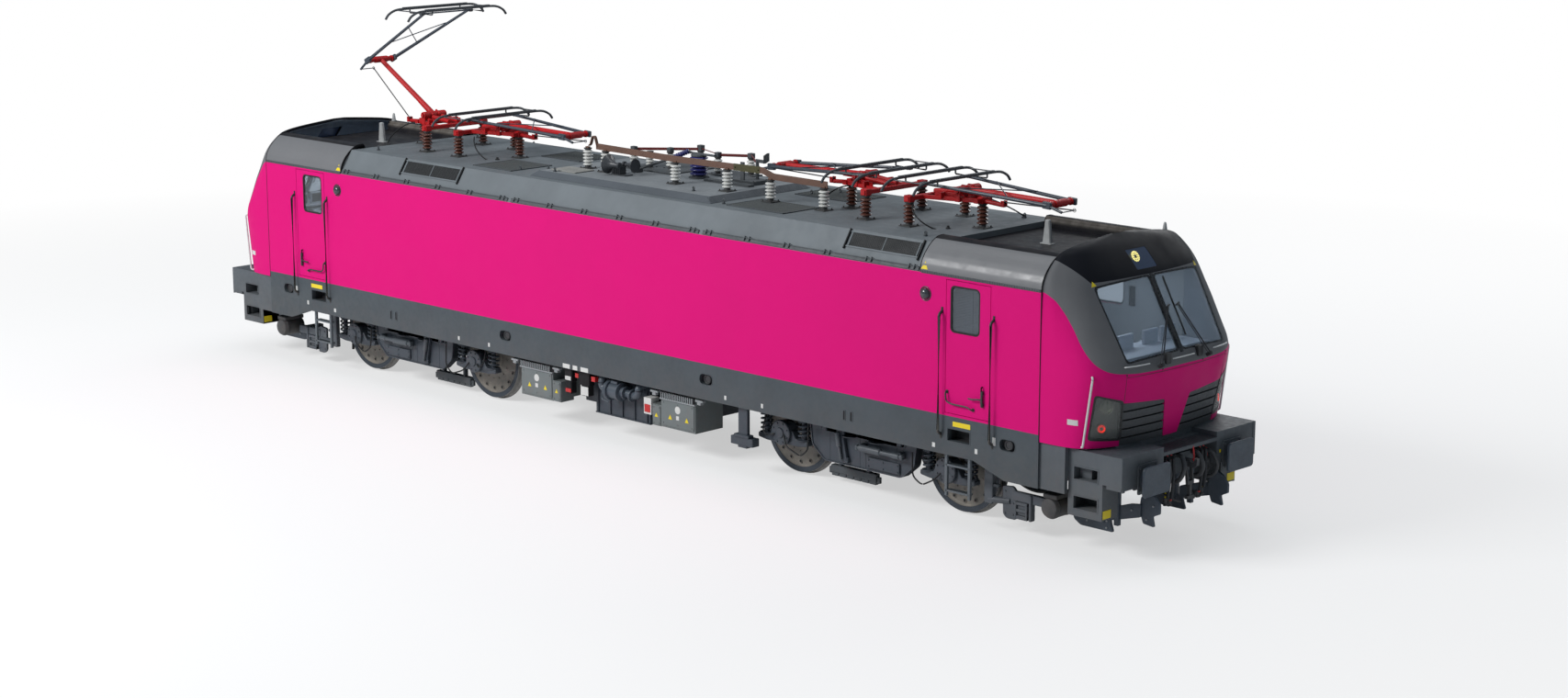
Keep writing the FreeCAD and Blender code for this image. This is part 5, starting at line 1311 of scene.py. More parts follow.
# ------------------------------------------------------------------ handrails
# Steel bars beside every door, standing off the wall on flat bent feet that are bolted above and below. A
# thinner pale bar follows each corner of the nose.
rail_parts = []
for x in (6.49, 7.35):
    rail_parts += [tube(bend_route([(x, -1.504, 1.235), (x, -1.568, 1.275), (x, -1.568, 2.815), (x, -1.504,
        2.855)], 0.03, 6), 0.019, 12), blocks([(x - 0.016, x + 0.016, -1.514, -1.505, 1.185, 1.265),
        (x - 0.016, x + 0.016, -1.514, -1.505, 2.825, 2.905)], 0.003), spots_of(bolt("-y", 0.008, 0.006),
        [(x, -1.514, 1.205), (x, -1.514, 2.888)])]
piece("side_handrails", at_corners(joined(*rail_parts)), rail_black,
    stands_for="handrails", crease=40)
nose_rail = tube(bend_route([(8.645, -1.364, 1.43), (8.738, -1.435, 1.43), (8.862, -1.42, 2.33), (8.77, -1.35,
    2.33)], 0.035, 6), 0.014, 12)
pale_steel = paint("pale_steel", (0.62, 0.63, 0.62), 0.35, 0.5, mottle=0.04, blotch=8.0)
name_plate = carved(slab(inward(skin, -0.002), inward(skin, 0.004)), upright(rectangle(8.53, 8.67, 1.7, 1.77),
    "y", -1.6, 0.25), "INTERSECT")
piece("nose_handrails", at_corners(nose_rail), pale_steel, crease=40)

# ------------------------------------------------------------------ side sills
# A deep folded steel sill under each wall, painted grey and dusty towards the rails. It is pierced for the
# jacks, whose round seats show inside, for a footstep below each door, and for the bogie's lifting slots.
# Black plates fill the lifting slots as painted shade for their depth.
sill_grey = paint("sill_grey", (0.056, 0.07, 0.081), 0.5, 0.35, mottle=0.05, blotch=2.2, dirt=0.28,
    dirt_low=0.6, dirt_top=1.45)
dressed(["side_sills"], sill_grey)
deep_grey = paint("deep_grey", (0.03, 0.034, 0.04), 0.55, 0.3, dirt=0.4, dirt_low=0.5, dirt_top=1.6)
inside_parts = []
JACKS = (7.6, 2.155)
for x in JACKS:
    inside_parts += [tube([(x, -1.42, 1.272), (x, -1.47, 1.272)], 0.07, 24), ring_of((x, -1.47, 1.272),
        (0, 1, 0), 0.058, 0.012, 24, 8), blocks([(x - 0.16, x + 0.16, -1.435, -1.424, 1.15, 1.39)], 0.002)]
inside_parts.append(blocks([(6.56, 7.02, -1.3, -1.27, 1.13, 1.37), (6.56, 7.02, -1.424, -1.27, 1.13, 1.15),
    (6.6, 6.98, -1.5, -1.3, 1.152, 1.166), (6.56, 6.59, -1.424, -1.27, 1.13, 1.37), (6.99, 7.02, -1.424,
    -1.27, 1.13, 1.37)], 0.003))
piece("sill_pockets", at_corners(joined(*inside_parts)), deep_grey, crease=35)
slot_x = [(x, x + 0.028) for x in (4.776, 4.903)]
slot_parts = [framed(rounded_outline(rectangle(a - 0.012, b + 0.012, 1.128, 1.277), 0.018, 5),
    rounded_outline(rectangle(a, b, 1.14, 1.265), 0.012, 5), "y", -1.511, -1.504) for a, b in slot_x]
for x in JACKS:
    outer = rounded_outline(rectangle(x - 0.136, x + 0.136, 1.188, 1.356), 0.083, 8)
    inner = rounded_outline(rectangle(x - 0.126, x + 0.126, 1.198, 1.346), 0.073, 8)
    slot_parts.append(framed(outer, inner, "y", -1.509, -1.47))
slot_parts.append(framed(rectangle(6.592, 6.988, 1.162, 1.344), rectangle(6.604, 6.976, 1.174, 1.332), "y",
    -1.509, -1.46))
piece("sill_edges", at_corners(joined(*slot_parts)), sill_grey, crease=30)
# black plates in the lifting slots: painted shade inside them
slot_shade_rows = [(a, b, -1.5075, -1.5055, 1.141, 1.264) for a, b in slot_x]
piece("sill_slot_shades", at_corners(blocks(slot_shade_rows, 0.001)), seam_and_shade_black, crease=30)
plate_yellow = paint("plate_yellow", (0.78, 0.6, 0.015), 0.4, 0.4, mottle=0.03)
plate_white = paint("plate_white", (0.62, 0.62, 0.6), 0.45, 0.4, mottle=0.04)
piece("nose_plates", at_corners(name_plate), plate_white, crease=30)


def sill_plates(rows):
    """Thin plates on the sill's face, one for each row of x0, x1, z0, z1."""
    return blocks([(x0, x1, -1.5085, -1.5055, z0, z1) for x0, x1, z0, z1 in rows], 0.001)


step_plate = sill_plates([(6.69, 6.985, 1.372, 1.436)])
piece("step_plates", at_corners(step_plate), plate_yellow, crease=30)
end_plates = sill_plates([(6.345, 6.395, 1.045, 1.105), (7.065, 7.11, 1.075, 1.14), (7.355, 7.405, 1.235,
    1.34), (3.235, 3.275, 1.045, 1.105), (2.52, 2.56, 1.045, 1.105)])
low_plates = sill_plates([(-0.86, -0.705, 0.985, 1.05), (-0.64, -0.54, 0.985, 1.05), (-0.47, -0.305, 0.985,
    1.05)])
piece("sill_plates", both_sides(joined(both_ends(end_plates), low_plates)), plate_white,
    crease=30)

# ------------------------------------------------------------------ eyes on the cab sides
# A small dark camera dome in a round collar looks along the wall from behind each door. Above it a yellow
# triangle is stuck on the edge of the cab roof.
dome_parts = [dome((6.205, -1.506, 3.038), (0, -1, 0), 0.076, 0.06, 10, 28), ring_of((6.205, -1.508, 3.038),
    (0, 1, 0), 0.09, 0.007, 32, 8)]
dome_dark = paint("dome_dark", (0.035, 0.042, 0.05), 0.18, 0.6)
piece("camera_domes", at_corners(joined(*dome_parts)), dome_dark, crease=50)
corner = np.array([(6.118, 3.352), (6.232, 3.352), (6.175, 3.452)])
inset = np.interp(corner[:, 1], CAB_ROOF_ROWS[:, 1], CAB_ROOF_ROWS[:, 0])
front = np.column_stack([corner[:, 0], inset - HALF_WIDTH - 0.004, corner[:, 1]])
triangle = extruded(front, (0.0, 0.006, 0.0))
piece("yellow_triangles", at_corners(triangle), plate_yellow, crease=30)

# ------------------------------------------------------------------ roof leads
# A black rubber cable bends over from each collector's frame and drops in one soft curve. It ends in a
# turned gland that stands on the roof.
def arch(a, over, b, steps=14):
    """A hanging cable: (1-t)^3 A + 3t(1-t)^2 (A + over) + 3t^2(1-t) (B + over / 2) + t^3 B."""
    a, over, b = np.asarray(a, float), np.asarray(over, float), np.asarray(b, float)
    t = np.linspace(0, 1, steps)[:, None]
    return (1 - t) ** 3 * a + 3 * t * (1 - t) ** 2 * (a + over) + 3 * t ** 2 * (1 - t) * (b
        + over * 0.5) + t ** 3 * b


cable_and_shade_black = paint("cable_and_shade_black", (0.014, 0.015, 0.016), 0.6, 0.3)
LEADS = [((-5.89, -0.06, 4.0), (-0.35, -0.05, 0.06), (-6.45, -0.26, 3.592)), ((-4.05, -0.46, 3.99),
    (0.1, -0.16, -0.24), (-3.59, -0.39, ROOF_TOP)), ((3.56, -0.06, 3.99), (-0.25, -0.1, 0.02), (3.26, -0.33,
    ROOF_TOP)), ((5.14, -0.56, 3.99), (0.05, -0.2, -0.2), (5.59, -0.37, ROOF_TOP)), ((5.64, 0.4, 3.99),
    (0.05, 0.3, -0.1), (5.74, 1.02, ROOF_TOP))]
glands = [lathed([(0.034, -0.002), (0.034, 0.01), (0.02, 0.02), (0.016, 0.04)], foot, (0, 0, 1), 16)
    for start, over, foot in LEADS]
piece("roof_leads", joined(*([tube(arch(*row), 0.01, 8) for row in LEADS] + glands)), cable_and_shade_black,
    crease=50)

# ------------------------------------------------------------------ bus bar
# A flat copper bar stands on edge on white insulators along the roof, painted brown, with a flexible loop
# at its rear end and a short olive link before it steps down to the front collectors.
BUS = [(-1.5, -0.38, DECK_TOP), (-1.05, -0.43, DECK_TOP), (0.535, -0.52, DECK_TOP), (1.566, -0.49, DECK_TOP),
    (2.374, -0.44, 3.682), (3.377, -0.415, ROOF_TOP)]
BUS_HIGH = 0.31
SWITCH_POSTS = [(-1.03, 0.12), (-0.84, 0.27), (-0.56, 0.42), (-0.3, 0.8), (0.33, 0.54), (0.76, 0.8)]
white_glaze = paint("white_glaze", (0.66, 0.66, 0.63), 0.25, 0.5, mottle=0.05, blotch=9.0)
big_body, big_metal = insulator(BUS_HIGH, 0.077, 5)
small_body, small_metal = insulator(0.26, 0.068, 4)
posts = [(x, y, DECK_TOP) for x, y in SWITCH_POSTS]
piece("bus_insulator_bodies", joined(spots_of(big_body, BUS), spots_of(small_body, posts)), white_glaze,
    stands_for="bus_insulators", crease=40)
piece("bus_insulator_feet", joined(spots_of(big_metal, BUS), spots_of(small_metal, posts)), foot_grey,
    crease=35)
flat_bar = [(0.007, -0.045), (0.007, 0.045), (-0.007, 0.045), (-0.007, -0.045)]
bar_level = [z + BUS_HIGH + 0.048 for x, y, z in BUS]
brown_bar = paint("brown_bar", (0.135, 0.07, 0.048), 0.45, 0.4, mottle=0.05, blotch=6.0)
rear = swept([(-1.27, -0.418, bar_level[1]), (0.535, -0.52, bar_level[2]), (1.7, -0.48, bar_level[3])],
    flat_bar)
ahead = swept(bend_route([(2.17, -0.452, bar_level[3]), (2.23, -0.449, bar_level[3]), (2.43, -0.44,
    bar_level[4]), (3.377, -0.415, bar_level[5]), (3.44, -0.413, bar_level[5])], 0.04, 4), flat_bar)
looped = swept(bend_route([(-1.46, -0.385, 4.1), (-1.42, -0.39, 4.12), (-1.36, -0.4, 4.25), (-1.3, -0.41,
    4.25), (-1.24, -0.418, 4.11)], 0.035, 5), [(0.022, -0.008), (0.022, 0.008), (-0.022, 0.008), (-0.022,
    -0.008)])
shoes = blocks([(x - 0.035, x + 0.035, y - 0.022, y + 0.022, z + BUS_HIGH, z + BUS_HIGH + 0.022) for x, y,
    z in BUS], 0.004)
piece("bus_bar_strip", joined(rear, ahead, looped, shoes), brown_bar, stands_for="bus_bar",
    crease=30)
olive_bar = paint("olive_bar", (0.062, 0.056, 0.018), 0.45, 0.4, mottle=0.05, blotch=6.0)
link = joined(swept([(1.69, -0.48, bar_level[3]), (2.18, -0.4515, bar_level[3])], [(0.01, -0.048),
    (0.01, 0.048), (-0.01, 0.048), (-0.01, -0.048)]), spots_of(bolt("-y", 0.009, 0.014), [(1.72, -0.488,
    bar_level[3]), (2.15, -0.463, bar_level[3])]))
piece("bus_link", link, olive_bar, crease=30)

# ------------------------------------------------------------------ roof switches
# Knife switches and the circuit breaker stand on dark base plates: dark red blades between the white posts,
# grey stands, a drive box, and thin rods across to the far side.
switch_red = paint("switch_red", (0.15, 0.018, 0.016), 0.4, 0.5, mottle=0.04, blotch=6.0)
stand_grey = paint("stand_grey", (0.075, 0.082, 0.088), 0.5, 0.4, mottle=0.05, blotch=5.0)
BLADE = DECK_TOP + 0.29
blade_parts = [beam((-1.06, 0.1, BLADE), (-0.27, 0.82, BLADE), 0.028, 0.04, 0.005), beam((0.33, 0.54, BLADE),
    (0.76, 0.8, BLADE), 0.028, 0.04, 0.005), tube([(0.76, 0.8, BLADE + 0.02), (1.33, 0.33, BLADE + 0.02)],
    0.009, 8), tube([(0.78, 0.82, BLADE - 0.05), (1.36, 0.36, BLADE - 0.05)], 0.007, 8),
    tube([(-0.3, 0.8, BLADE + 0.01), (0.33, 0.54, BLADE + 0.01)], 0.008, 8)]
piece("switch_blades", joined(*blade_parts), switch_red, stands_for="switch_gear",
    crease=30)
stand_rows = [(1.0, 1.5, 0.1, 0.42, DECK_TOP - 0.002, DECK_TOP + 0.06), (-1.18, -0.12, 0.02, 0.94,
    DECK_TOP - 0.002, DECK_TOP + 0.02), (0.18, 0.9, 0.42, 0.9, DECK_TOP - 0.002, DECK_TOP + 0.02),
    (0.64, 1.56, -0.06, 0.06, DECK_TOP - 0.002, DECK_TOP + 0.035), (1.215, 1.29, 0.115, 0.14, DECK_TOP
    + 0.055, DECK_TOP + 0.32), (1.33, 1.37, 0.31, 0.35, DECK_TOP + 0.055, DECK_TOP + 0.33), (1.32, 1.5, 0.32,
    0.34, DECK_TOP + 0.3, DECK_TOP + 0.35), (-1.075, -0.985, 0.085, 0.155, DECK_TOP + 0.262, DECK_TOP + 0.33),
    (-0.345, -0.255, 0.76, 0.84, DECK_TOP + 0.262, DECK_TOP + 0.35), (0.29, 0.37, 0.5, 0.58, DECK_TOP + 0.262,
    DECK_TOP + 0.33), (0.715, 0.805, 0.76, 0.84, DECK_TOP + 0.262, DECK_TOP + 0.33), (-0.6, -0.52, 0.38, 0.46,
    DECK_TOP + 0.262, DECK_TOP + 0.325)]
stand_bolts = [(x, y, DECK_TOP + 0.02) for x in (-1.15, -0.15) for y in (0.05, 0.9)] + [(x, y, DECK_TOP
    + 0.06) for x in (1.03, 1.47) for y in (0.13, 0.39)]
fins = [(1.5 + 0.02 * k, 1.508 + 0.02 * k, 0.3, 0.36, DECK_TOP + 0.3 + 0.012 * k, DECK_TOP + 0.42 + 0.012 * k)
    for k in range(4)]
piece("switch_stands", joined(blocks(stand_rows + fins, 0.004), spots_of(bolt("z"), stand_bolts)), stand_grey,
    crease=30)

# ------------------------------------------------------------------ surge arrester
# A stout blue ceramic post carries a grey arm on its cap. Beside it a slim blue one leans up from a dark
# box to meet that arm.
blue_glaze = paint("blue_glaze", (0.03, 0.032, 0.15), 0.22, 0.6, mottle=0.05, blotch=9.0)
blue_body = lathed(ribbed_post(0.285, 0.086, 0.135, 5) + (0.0, 0.035), (0.361, 0.12, DECK_TOP), (0, 0, 1), 32)
lean_a = np.array((-0.06, 0.02, 4.02))
lean_b = np.array((0.19, 0.08, 4.13))
lean = lean_b - lean_a
thin_body = lathed(ribbed_post(np.linalg.norm(lean), 0.022, 0.04, 7), lean_a, lean, 20)
piece("arrester_bodies", joined(blue_body, thin_body), blue_glaze,
    stands_for="arrester", crease=40)
arm_parts = [lathed([(0.15, 0.0), (0.15, 0.02), (0.095, 0.026), (0.09, 0.04)], (0.361, 0.12, DECK_TOP),
    (0, 0, 1)), lathed([(0.11, 0.317), (0.118, 0.322), (0.118, 0.342), (0.07, 0.35)], (0.361, 0.12, DECK_TOP),
    (0, 0, 1)), beam((0.15, 0.12, DECK_TOP + 0.352), (0.7, 0.12, DECK_TOP + 0.352), 0.06, 0.026),
    tube([(-0.7, -0.12, DECK_TOP + 0.04), tuple(lean_a)], 0.02, 12), tube([tuple(lean_b), (0.24, 0.12,
    DECK_TOP + 0.352)], 0.014, 10), blocks([(-0.78, -0.64, -0.18, -0.06, DECK_TOP, DECK_TOP + 0.05)], 0.006)]
piece("arrester_metal", joined(*arm_parts), stand_grey, crease=35)

# ------------------------------------------------------------------ horns and aerials
# Two spun trumpets, one towards each end, share a finned bracket on the deck. A fin-shaped aerial and a
# small cone stand on each cab roof.
horn_grey = paint("horn_grey", (0.048, 0.052, 0.058), 0.35, 0.5, mottle=0.04, blotch=7.0)
TRUMPET = [(0.1, 0.0), (0.098, 0.006), (0.062, 0.05), (0.04, 0.1), (0.028, 0.16), (0.024, 0.215)]
horn_parts = []
for y, way, big in ((-0.56, -1, 1.4), (-0.42, 1, 1.0)):
    profile = np.array(TRUMPET) * (big, 1.0)
    mouth = (-0.64 + way * 0.215, y, DECK_TOP + 0.15)
    horn_parts += [lathed(profile, mouth, (-way, 0, 0), 28), ring_of(mouth, (1, 0, 0), 0.098 * big, 0.006, 32,
        8)]
    horn_parts += [lathed([(0.036, -0.02), (0.046, -0.012), (0.046, 0.018), (0.03, 0.024)],
        (-0.64 - way * 0.02, y, DECK_TOP + 0.15), (1, 0, 0), 20)]
horn_parts += [lathed([(0.04, 0.0), (0.038, 0.004), (0.018, 0.04), (0.014, 0.12)], (-0.85, -0.47, DECK_TOP
    + 0.07), (1, 0, 0), 20)]
horn_parts.append(blocks([(-0.745 + 0.035 * k, -0.733 + 0.035 * k, -0.58, -0.47, DECK_TOP + 0.02, DECK_TOP
    + 0.13) for k in range(5)] + [(-0.8, -0.48, -0.57, -0.41, DECK_TOP - 0.001, DECK_TOP + 0.016), (-0.79,
    -0.77, -0.56, -0.42, DECK_TOP, DECK_TOP + 0.09), (-0.64, -0.62, -0.56, -0.42, DECK_TOP, DECK_TOP + 0.11)],
    0.003))
piece("horn_trumpets", joined(*horn_parts), horn_grey, stands_for="horns", crease=40)
# dark discs just inside each trumpet's mouth: painted shade of the bell's inside
mouth_shade_discs = [dome((-0.64 + way * 0.207, y, DECK_TOP + 0.15), (way, 0, 0), 0.084 * big, 0.002, 6, 24) for y,
    way, big in ((-0.56, -1, 1.4), (-0.42, 1, 1.0))]
piece("horn_mouth_shades", joined(*mouth_shade_discs), cable_and_shade_black, crease=60)
aerial_white = paint("aerial_white", (0.4, 0.41, 0.41), 0.4, 0.4, mottle=0.06, blotch=8.0)
FIN = [(6.9, 3.59), (7.04, 3.59), (7.01, 3.908), (6.94, 3.908)]


def drawn_in(outline, way):
    """The outline moved inward by a width, along the mean of its neighbouring edges' normals."""
    flat = np.asarray(outline, float)
    area = np.sum(flat[:, 0] * np.roll(flat[:, 1], -1) - np.roll(flat[:, 0], -1) * flat[:, 1])
    run = np.roll(flat, -1, 0) - np.roll(flat, 1, 0)
    run /= np.maximum(np.linalg.norm(run, axis=1, keepdims=True), 1e-9)
    return flat + np.column_stack([-run[:, 1], run[:, 0]]) * way * np.sign(area)


def eased(outline, axis, near, far, ease):
    """A plate whose two faces are drawn in from the outline all round by the ease."""
    flat = np.asarray(outline, float)
    if axis == "y":
        flat = flat[:, ::-1]
    if 0.5 * np.sum(flat[:, 0] * np.roll(flat[:, 1], -1) - np.roll(flat[:, 0], -1) * flat[:, 1]) < 0:
        flat = flat[::-1]
    drawn = drawn_in(flat, ease)
    order = {"x": (1, 2), "y": (2, 0), "z": (0, 1)}[axis]
    points = np.zeros((4, len(flat), 3))
    for row, (line, at) in enumerate(((drawn, near), (flat, near + ease), (flat, far - ease), (drawn, far))):
        points[row][:, order[0]] = line[:, 0]
        points[row][:, order[1]] = line[:, 1]
        points[row][:, "xyz".index(axis)] = at
    return capped(points)


fin = eased(rounded_outline(FIN, 0.018, 4), "y", -0.028, 0.028, 0.012)
cone = lathed([(0.04, 0.0), (0.04, 0.012), (0.034, 0.018), (0.02, 0.11), (0.012, 0.128), (0.004, 0.132)],
    (8.04, 1.08, 3.74), (0, 0, 1), 24)
pads = blocks([(6.88, 7.06, -0.05, 0.05, 3.588, 3.6), (7.25, 7.43, -0.76, -0.52, 3.588, 3.612)], 0.004)
piece("roof_aerials", both_ends(joined(fin, cone, pads)), aerial_white,
    stands_for="aerials", crease=35)
plate_pale = paint("plate_pale", (0.27, 0.27, 0.255), 0.6, 0.3, mottle=0.06, blotch=5.0)
piece("deck_hatch_plate", blocks([(-1.78, -1.23, -0.88, -0.5, DECK_TOP - 0.001, DECK_TOP + 0.018)], 0.005),
    plate_pale, crease=30)

# ------------------------------------------------------------------ bogie frames
# Each bogie is a welded box frame outside its wheels, hung from coil springs over the axle arms and
# carrying the body on two more each side. Dampers, bearing covers, motors and the sensor cables are bolted
# on.
PIVOT = 4.8
AXLES = (-1.5, 1.5)
WHEEL_AT = 0.655
SIDE_LINE = [(0.0, 0.4), (0.7, 0.4), (0.93, 0.59), (0.98, 0.93), (2.04, 0.93), (2.04, 1.04), (1.96, 1.09),
    (1.02, 1.11), (0.82, 0.99), (0.74, 0.82), (0.0, 0.81)]
side_line = rounded_outline(SIDE_LINE[1:-1] + [(-u, z) for u, z in SIDE_LINE[-2:0:-1]], 0.045, 5)


def coil(x, y, low, top, radius, wire, turns):
    """A coil spring: a wire carried along (r cos a, r sin a, rise a / 2 pi n)."""
    a = np.linspace(0, 2 * math.pi * turns, int(turns * 14) + 1)
    z = np.linspace(low + wire, top - wire, len(a))
    return tube(np.column_stack([x + radius * np.cos(a), y + radius * np.sin(a), z]), wire, 7)


def turned_parts(rows):
    """Turned pieces, one for each row of profile, centre and axis."""
    return joined(*[lathed(profile, centre, axis, 28) for profile, centre, axis in rows])


frame_paint = paint("frame_paint", (0.04, 0.052, 0.068), 0.45, 0.45, dirt=0.12, dirt_low=0.15, dirt_top=1.2)
cover_paint = paint("cover_paint", (0.042, 0.054, 0.07), 0.4, 0.5, dirt=0.18, dirt_low=0.15, dirt_top=1.1)
end_paint = paint("end_paint", (0.072, 0.088, 0.108), 0.45, 0.45, dirt=0.25, dirt_low=0.2, dirt_top=1.2)
damper_paint = paint("damper_paint", (0.07, 0.086, 0.102), 0.45, 0.45, dirt=0.25, dirt_low=0.2, dirt_top=1.2)
arm_line = rounded_outline([(-0.47, 0.52), (-0.3, 0.495), (0.3, 0.495), (0.47, 0.52), (0.47, 0.585),
    (0.25, 0.592), (0.18, 0.7), (-0.18, 0.7), (-0.25, 0.592), (-0.47, 0.585)], 0.02, 4)
one_side = [eased(side_line, "y", -1.146, -1.034, 0.004), framed(side_line, drawn_in(side_line, 0.016), "y",
    -1.16, -1.02), blocks([(-0.3, 0.3, -1.025, 0.0, 0.46, 0.79), (-0.34, 0.34, -1.03, 0.0, 0.455, 0.47),
    (-0.34, 0.34, -1.03, 0.0, 0.78, 0.795), (0.01, 0.075, -1.245, -1.15, 0.665, 0.765), (0.7, 0.765, -1.245,
    -1.15, 0.665, 0.765), (-0.56, -0.5, -1.025, -0.69, 0.45, 0.51), (0.5, 0.56, -1.025, -0.69, 0.45, 0.51),
    (-0.78, -0.735, -0.788, -0.712, 0.235, 0.48), (-0.78, -0.5, -0.788, -0.712, 0.45, 0.5), (-0.26, -0.215,
    -0.788, -0.712, 0.235, 0.48), (-0.5, -0.215, -0.788, -0.712, 0.45, 0.5), (0.64, 0.72, -1.19, -1.15, 0.83,
    0.96), (-0.72, -0.64, -1.19, -1.15, 0.83, 0.96), (-0.44, -0.3, -1.2, -1.15, 0.8, 0.9), (-0.38, -0.23,
    -1.2, -1.15, 0.44, 0.52), (0.1, 0.68, -1.176, -1.15, 0.44, 0.59)], 0.008), spots_of(bolt("-y", 0.013,
    0.01), [(u, -1.176, z) for u in (0.13, 0.39, 0.65) for z in (0.47, 0.56)]), beam((-0.39, -1.18, 0.86),
    (-0.3, -1.18, 0.47), 0.05, 0.12), blocks([(u, u + 0.012, -1.15, -1.034, 0.412, 0.8) for u in (-0.61,
    -0.06, 0.048, 0.598)], 0.002)]
one_side += [turned_parts([([(0.15, 0), (0.15, 0.012)], (u, -1.09, z), (0, 0, 1))]) for u in (-0.25, 0.25)
    for z in (0.806, 1.384)]
springs = [coil(u, -1.09, 0.818, 1.384, 0.094, 0.02, 5.5) for u in (-0.25, 0.25)]
dampers = [turned_parts([([(0.03, 0), (0.032, 0.06), (0.048, 0.07), (0.048, 0.42), (0.036, 0.43),
    (0.03, 0.44), (0.03, 0.62), (0.04, 0.63), (0.04, 0.76), (0.026, 0.77), (0.026, 0.81)], (-0.02, -1.24,
    0.715), (1, 0, 0)), ([(0.02, 0), (0.034, 0.01), (0.034, 0.2), (0.02, 0.21), (0.02, 0.38)], (-0.4, -1.23,
    0.86), (0.08, 0, -0.38))]), blocks([(-0.035, 0.01, -1.275, -1.205, 0.68, 0.75), (0.765, 0.81, -1.275,
    -1.205, 0.68, 0.75)], 0.01)]
covers = []
for ax in AXLES:
    one_side.append(moved(eased(arm_line, "y", -1.155, -1.025, 0.01), (ax, 0, 0)))
    covers.append(lathed([(0.15, 0.0), (0.165, 0.012), (0.165, 0.14), (0.176, 0.15), (0.176, 0.192), (0.166,
        0.202), (0.075, 0.204), (0.068, 0.222), (0.05, 0.226)], (ax, -1.0, WHEEL_AT), (0, -1, 0), 36))
    a = np.linspace(0, 2 * math.pi, 8, endpoint=False) + 0.39
    covers.append(spots_of(bolt("-y", 0.013, 0.012), np.column_stack([ax + 0.138 * np.cos(a), np.full(8,
        -1.203), WHEEL_AT + 0.138 * np.sin(a)])))
    for u in (ax - 0.36, ax + 0.36):
        springs.append(coil(u, -1.09, 0.598, 0.922, 0.076, 0.015, 4.5))
        springs.append(tube([(u, -1.09, 0.6), (u, -1.09, 0.92)], 0.036, 14))
        one_side += [turned_parts([([(0.1, 0), (0.1, 0.012), (0.06, 0.016)], (u, -1.09, 0.585), (0, 0, 1))]),
            turned_parts([([(0.1, 0), (0.1, 0.01)], (u, -1.09, 0.921), (0, 0, 1))])]
    one_side.append(turned_parts([([(0.3, 0.0), (0.33, 0.03), (0.33, 0.42), (0.318, 0.43), (0.318, 0.5),
        (0.33, 0.51), (0.33, 0.56)], (ax * 0.5333, -0.56, 0.67), (0, 1, 0))]))
    side = 1 if ax > 0 else -1
    one_side.append(blocks([(side * 0.29, side * 0.5, -0.42, 0.0, 0.53, 0.77)], 0.01))
beams = [blocks([(-0.92, -0.08, -0.795, -0.705, 0.135, 0.24)] + [(u, u + 0.13, -0.784, -0.716, 0.085, 0.138)
    for u in np.arange(-0.915, -0.2, 0.139)] + [(-0.97, -0.92, -0.775, -0.725, 0.11, 0.2), (-0.08, -0.03,
    -0.775, -0.725, 0.11, 0.2)], 0.008)]
hoops = [tube(bend_route(np.array(stops) + (0, -1.262, 0.03), 0.07, 5), 0.011, 8) for stops in ([(-0.912,
    0.015, 0.87), (-0.912, 0, 0.49), (-1.051, 0, 0.375), (-1.33, 0, 0.47), (-1.43, 0.06, 0.62)],
    [(0.975, 0.015, 0.79), (0.995, 0, 0.476), (1.158, 0, 0.381), (1.38, 0, 0.497), (1.47, 0.06, 0.62)],
    [(-1.78, 0.1, 0.88), (-1.8, 0.02, 0.64), (-1.7, 0.0, 0.56), (-1.6, 0.05, 0.6)])]
hoops.append(tube(bend_route([(2.0, -0.745, 0.96), (2.12, -0.745, 0.76), (2.14, -0.745, 0.24)], 0.08), 0.022,
    10))
PLATE_LINE = [(2.39, 0.6), (2.4, 0.23), (2.46, 0.18), (2.61, 0.18), (2.62, 0.56), (2.56, 0.62)]
outer = [blocks([(2.0, 2.235, -1.11, -1.03, 0.945, 1.01), (2.095, 2.235, -1.11, -1.03, 0.33, 0.98),
    (2.56, 3.11, -1.105, -1.035, 0.44, 0.565), (2.99, 3.11, -1.035, -0.7, 0.47, 0.54), (2.855, 2.895, -1.13,
    -1.04, 0.215, 0.56), (2.235, 2.33, -1.1, -1.04, 0.56, 0.6)], 0.008), tube([(2.165, -1.07, 0.375),
    (2.52, -1.07, 0.415)], 0.045, 18), eased(rounded_outline(PLATE_LINE, 0.03, 4), "y", -1.092, -1.048,
    0.006), spots_of(bolt("-y", 0.013, 0.01), [(u, -1.092, z) for u in (2.44, 2.57) for z in (0.25, 0.4,
    0.54)])]
magnets = [blocks([(2.625, 2.83, -1.13, -0.96, 0.215, 0.265), (2.625, 2.83, -1.13, -0.96, 0.31, 0.35), (2.625,
    2.83, -1.13, -0.96, 0.4, 0.44), (2.64, 2.815, -1.105, -0.97, 0.265, 0.41), (2.625, 2.652, -1.134, -1.09,
    0.22, 0.445), (2.803, 2.83, -1.134, -1.09, 0.22, 0.445)], 0.006)]
for end, way in (("front", 1), ("rear", -1)):
    for kind, parts, finish, slot in (("frame", one_side, frame_paint, "bogie_paint"), ("springs", springs,
            frame_paint, "bogie_paint"), ("dampers", dampers, damper_paint, "bogie_paint"), ("covers", covers,
            cover_paint, "bogie_paint"), ("brake_beams", beams, damper_paint, "bogie_paint"), ("cables",
            hoops, cable_and_shade_black, "hose_rubber"), ("end_arms", outer, end_paint, "bogie_paint"), ("magnets",
            magnets, end_paint, "bogie_paint")):
        whole = moved(both_sides(joined(*parts)), (PIVOT, 0, 0))
        piece("bogie_%s_%s" % (end, kind), whole if way > 0 else other_end(whole), finish, "bogie_" + end,
            "bogie_frame_" + end if kind == "frame" else (), 35)
